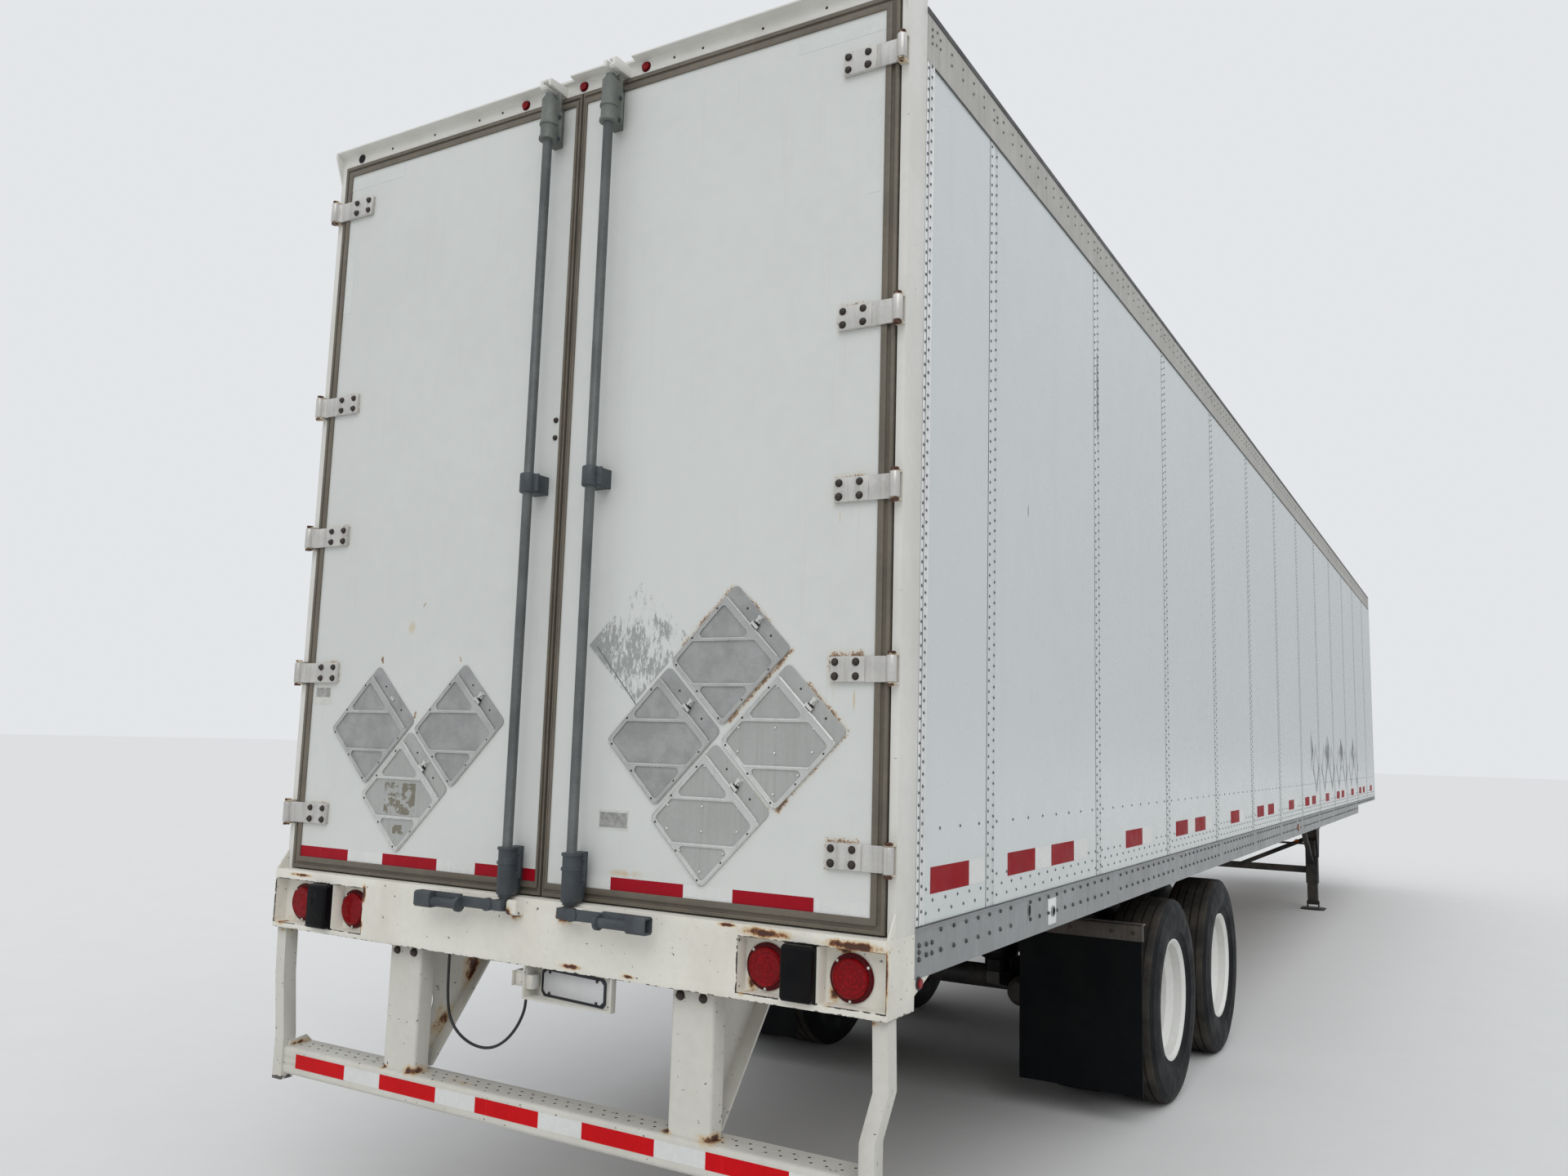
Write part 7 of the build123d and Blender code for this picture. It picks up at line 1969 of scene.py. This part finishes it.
@dataclass
class Nose:
    """The front wall, its corner caps' rivets, the service box and its couplers."""

    face: float = LENGTH
    box_z: float = 1420.0
    columns: tuple[float, ...] = (-1100.0, -820.0, -420.0, 0.0, 420.0, 820.0, 1100.0)
    column_ends: Pair = (1290.0, 4060.0)
    rows: Pair = (1240.0, 4085.0)
    row_end: float = 1180.0
    pitch: float = 60.0
    box_room: Pair = (300.0, 120.0)
    box_bolt: Pair = (232.0, 74.0)
    seal_x: float = 170.0

    def build(self) -> None:
        """Dresses the nose and adds its rivets and glands."""
        dress("front_wall", Look.COMPOSITE)
        softened("nose_box", "service_box", Body.FIXED, Slot.ALUMINIUM, [Look.RAIL], 2.0)
        dress("air_couplers", Look.CAST)
        dress("electric_socket", Look.PLASTIC)
        rivets = Heads("nose_rivets", Body.FIXED, Slot.ALUMINIUM, Look.RIVET, 6.0, 3.0)
        for x in self.columns:
            for z in steps(*self.column_ends, self.pitch):
                if abs(x) > self.box_room[0] or abs(z - self.box_z) > self.box_room[1]:
                    rivets.at((x, self.face - 0.2, z), FORWARDS)
        for x in steps(-self.row_end, self.row_end, self.pitch):
            for z in self.rows:
                rivets.at((x, self.face - 0.2, z), FORWARDS)
        rivets.make()
        bolts = Heads("box_bolts", Body.FIXED, Slot.CAST, Look.BOLT, 8.0, 6.0, 6, 0.9)
        for side in SIDES:
            for up in SIDES:
                x, z = side * self.box_bolt[0], self.box_z + up * self.box_bolt[1]
                bolts.at((x, self.face + 27.8, z), FORWARDS)
        bolts.make()
        seals = Shape()
        for side in SIDES:
            seals.lathe([(11, 0), (20, 0), (20, 3), (17, 6), (12, 6), (11, 3)],
                        along_y(side * self.seal_x, self.face + 56, self.box_z, 1.0), 28)
        seals.finish("coupler_seals", Body.FIXED, Slot.PLASTIC, [Look.PLASTIC])


@dataclass
class LampWire:
    """The wire that hangs from the sill to the plate lamp's terminal box."""

    radius: float = 5.0
    length: float = 0.78
    route: tuple[Point, ...] = (
        (-452, 48, 1010), (-452, 48, 930), (-446, 46, 852), (-431, 45, 790), (-390, 46, 744), (-330, 44, 718),
        (-262, 38, 712), (-200, 31, 725), (-145, 24, 756), (-99, 17, 799), (-63, 7, 847), (-38, -5, 893),
        (-38, -5, 955),
    )

    def build(self) -> None:
        """Makes the wire as one smooth curve."""
        curve = bpy.data.curves.new("lamp_wire", "CURVE")
        curve.dimensions = "3D"
        curve.bevel_depth = self.radius * MILLIMETRE
        curve.bevel_resolution = 3
        curve.use_fill_caps = True
        spline = curve.splines.new("NURBS")
        spline.points.add(len(self.route) - 1)
        for point, place in zip(spline.points, self.route):
            point.co = (*metres(*place), 1.0)
        spline.order_u = 3
        spline.use_endpoint_u = True
        spline.resolution_u = 8
        curve.materials.append(Look.PLASTIC.material())
        wire = add_object("lamp_wire", curve)
        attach(wire, Body.FIXED.value)
        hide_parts("plate_lamp_wire")
        tuple(metres(*self.route[0]))
        log.info("lamp_wire, %.2f m", self.length)


@dataclass
class BodySkin:
    """The body's remaining CAD nodes: rails, roof and lamps."""

    def build(self) -> None:
        """Dresses the nodes."""
        dress("top_rails", Look.TOP_RAIL)
        dress("bottom_rails", Look.RAIL)
        dress("roof", Look.ROOF)
        dress("red_lamps", Look.LENS)
        dress("amber_lamps", Look.AMBER)
        edge = Shape()
        for side in SIDES:
            x = side * HALF_WIDTH
            low, high = sorted((x + side * 2.0, x - side * 9))
            edge.box((low, 131, 4087), (high, LENGTH - 160, 4107))
        edge.finish("rail_top_bead", Body.FIXED, Slot.PLASTIC, [Look.PLASTIC])


@dataclass
class Studio:
    """The camera at the photograph's place, a pale floor and soft light."""

    camera_at: Point = (2.741, -11.146, 1.7737)
    camera_turn: tuple[float, float, float, float] = (0.63426, 0.72727, 0.18768, 0.18323)
    lens: float = 27.41
    sensor: float = 36.0
    far: float = 400.0
    floor_size: float = 160.0
    zenith: float = 0.94
    horizon: float = 0.46
    sky_colour: Colour = (0.95, 0.97, 1.0)
    seen_colour: Colour = (0.90, 0.92, 0.95)
    seen_sky: float = 0.86
    sun: float = 0.72
    sun_spread: float = 40.0
    sun_turn: float = 28.0
    sun_tilt: float = 48.0

    def build(self) -> None:
        """Makes the camera, the floor and the lights."""
        self.camera()
        self.floor()
        self.light()
        bpy.context.scene.view_settings.view_transform = "Standard"

    def camera(self) -> None:
        """The camera, for a 1920 by 1440 image."""
        data = bpy.data.cameras.new("camera")
        data.lens = self.lens
        data.sensor_width = self.sensor
        data.clip_end = self.far
        camera = add_object("camera", data)
        camera.matrix_world = Matrix.Translation(self.camera_at) @ Quaternion(self.camera_turn).to_matrix().to_4x4()
        bpy.context.scene.camera = camera

    def floor(self) -> None:
        """A wide pale floor that keeps the trailer's shadow."""
        data = bpy.data.meshes.new("floor_plane")
        size = self.floor_size
        data.from_pydata([(-size, -size, 0), (size, -size, 0), (size, size, 0), (-size, size, 0)], [], [(0, 1, 2, 3)])
        finish = Finish("studio_floor", (0.74, 0.74, 0.73), 0.9, tone=0.01, grain=0.0)
        data.materials.append(finish.material())
        plane = add_object("floor_plane", data)

    def light(self) -> None:
        """A sky that brightens upwards, which the camera itself sees even and pale, and one soft sun."""
        world = bpy.data.worlds.new("sky")
        world.use_nodes = True
        tree = world.node_tree
        tree.nodes.clear()
        path = tree.nodes.new("ShaderNodeLightPath")
        seen = tree.nodes.new("ShaderNodeMath")
        seen.operation = "MAXIMUM"
        tree.links.new(path.outputs["Is Camera Ray"], seen.inputs[0])
        tree.links.new(path.outputs["Is Transmission Ray"], seen.inputs[1])
        place = tree.nodes.new("ShaderNodeTexCoord")
        split = tree.nodes.new("ShaderNodeSeparateXYZ")
        tree.links.new(place.outputs["Generated"], split.inputs[0])
        height = tree.nodes.new("ShaderNodeMapRange")
        height.interpolation_type = "SMOOTHSTEP"
        for target, value in zip(height.inputs[1:5], (-0.05, 0.75, self.horizon, self.zenith)):
            target.default_value = value
        tree.links.new(split.outputs[2], height.inputs[0])
        mix = tree.nodes.new("ShaderNodeMixShader")
        tree.links.new(seen.outputs[0], mix.inputs[0])
        skies = ((self.sky_colour, height.outputs[0]), (self.seen_colour, self.seen_sky))
        for i, (colour, strength) in enumerate(skies):
            shade = tree.nodes.new("ShaderNodeBackground")
            shade.inputs["Color"].default_value = (*colour, 1.0)
            if isinstance(strength, float):
                shade.inputs["Strength"].default_value = strength
            else:
                tree.links.new(strength, shade.inputs["Strength"])
            tree.links.new(shade.outputs[0], mix.inputs[i + 1])
        output = tree.nodes.new("ShaderNodeOutputWorld")
        tree.links.new(mix.outputs[0], output.inputs["Surface"])
        bpy.context.scene.world = world
        data = bpy.data.lights.new("sun", "SUN")
        data.energy = self.sun
        data.angle = radians(self.sun_spread)
        lamp = add_object("sun", data)
        lamp.matrix_world = (Matrix.Rotation(radians(self.sun_turn), 4, "Z")
                             @ Matrix.Rotation(radians(self.sun_tilt), 4, "X"))


def main() -> None:
    """Builds the studio and the trailer's sub-assemblies in order."""
    logging.basicConfig(level=logging.INFO, format="%(name)s: %(message)s")
    assemblies = [Studio(), LampWire(), BodySkin(), SideWall(1), SideWall(-1), RearFrame(), Door("left"), Door("right"),
                  Guard(), PlateHolder(), MudFlap(1), MudFlap(-1), Underside(), Nose()]
    assemblies += [WheelPair(place, name) for place in AXLE_YS for name in ("left", "right")]
    for assembly in assemblies:
        assembly.build()


if __name__ == "__main__":
    main()
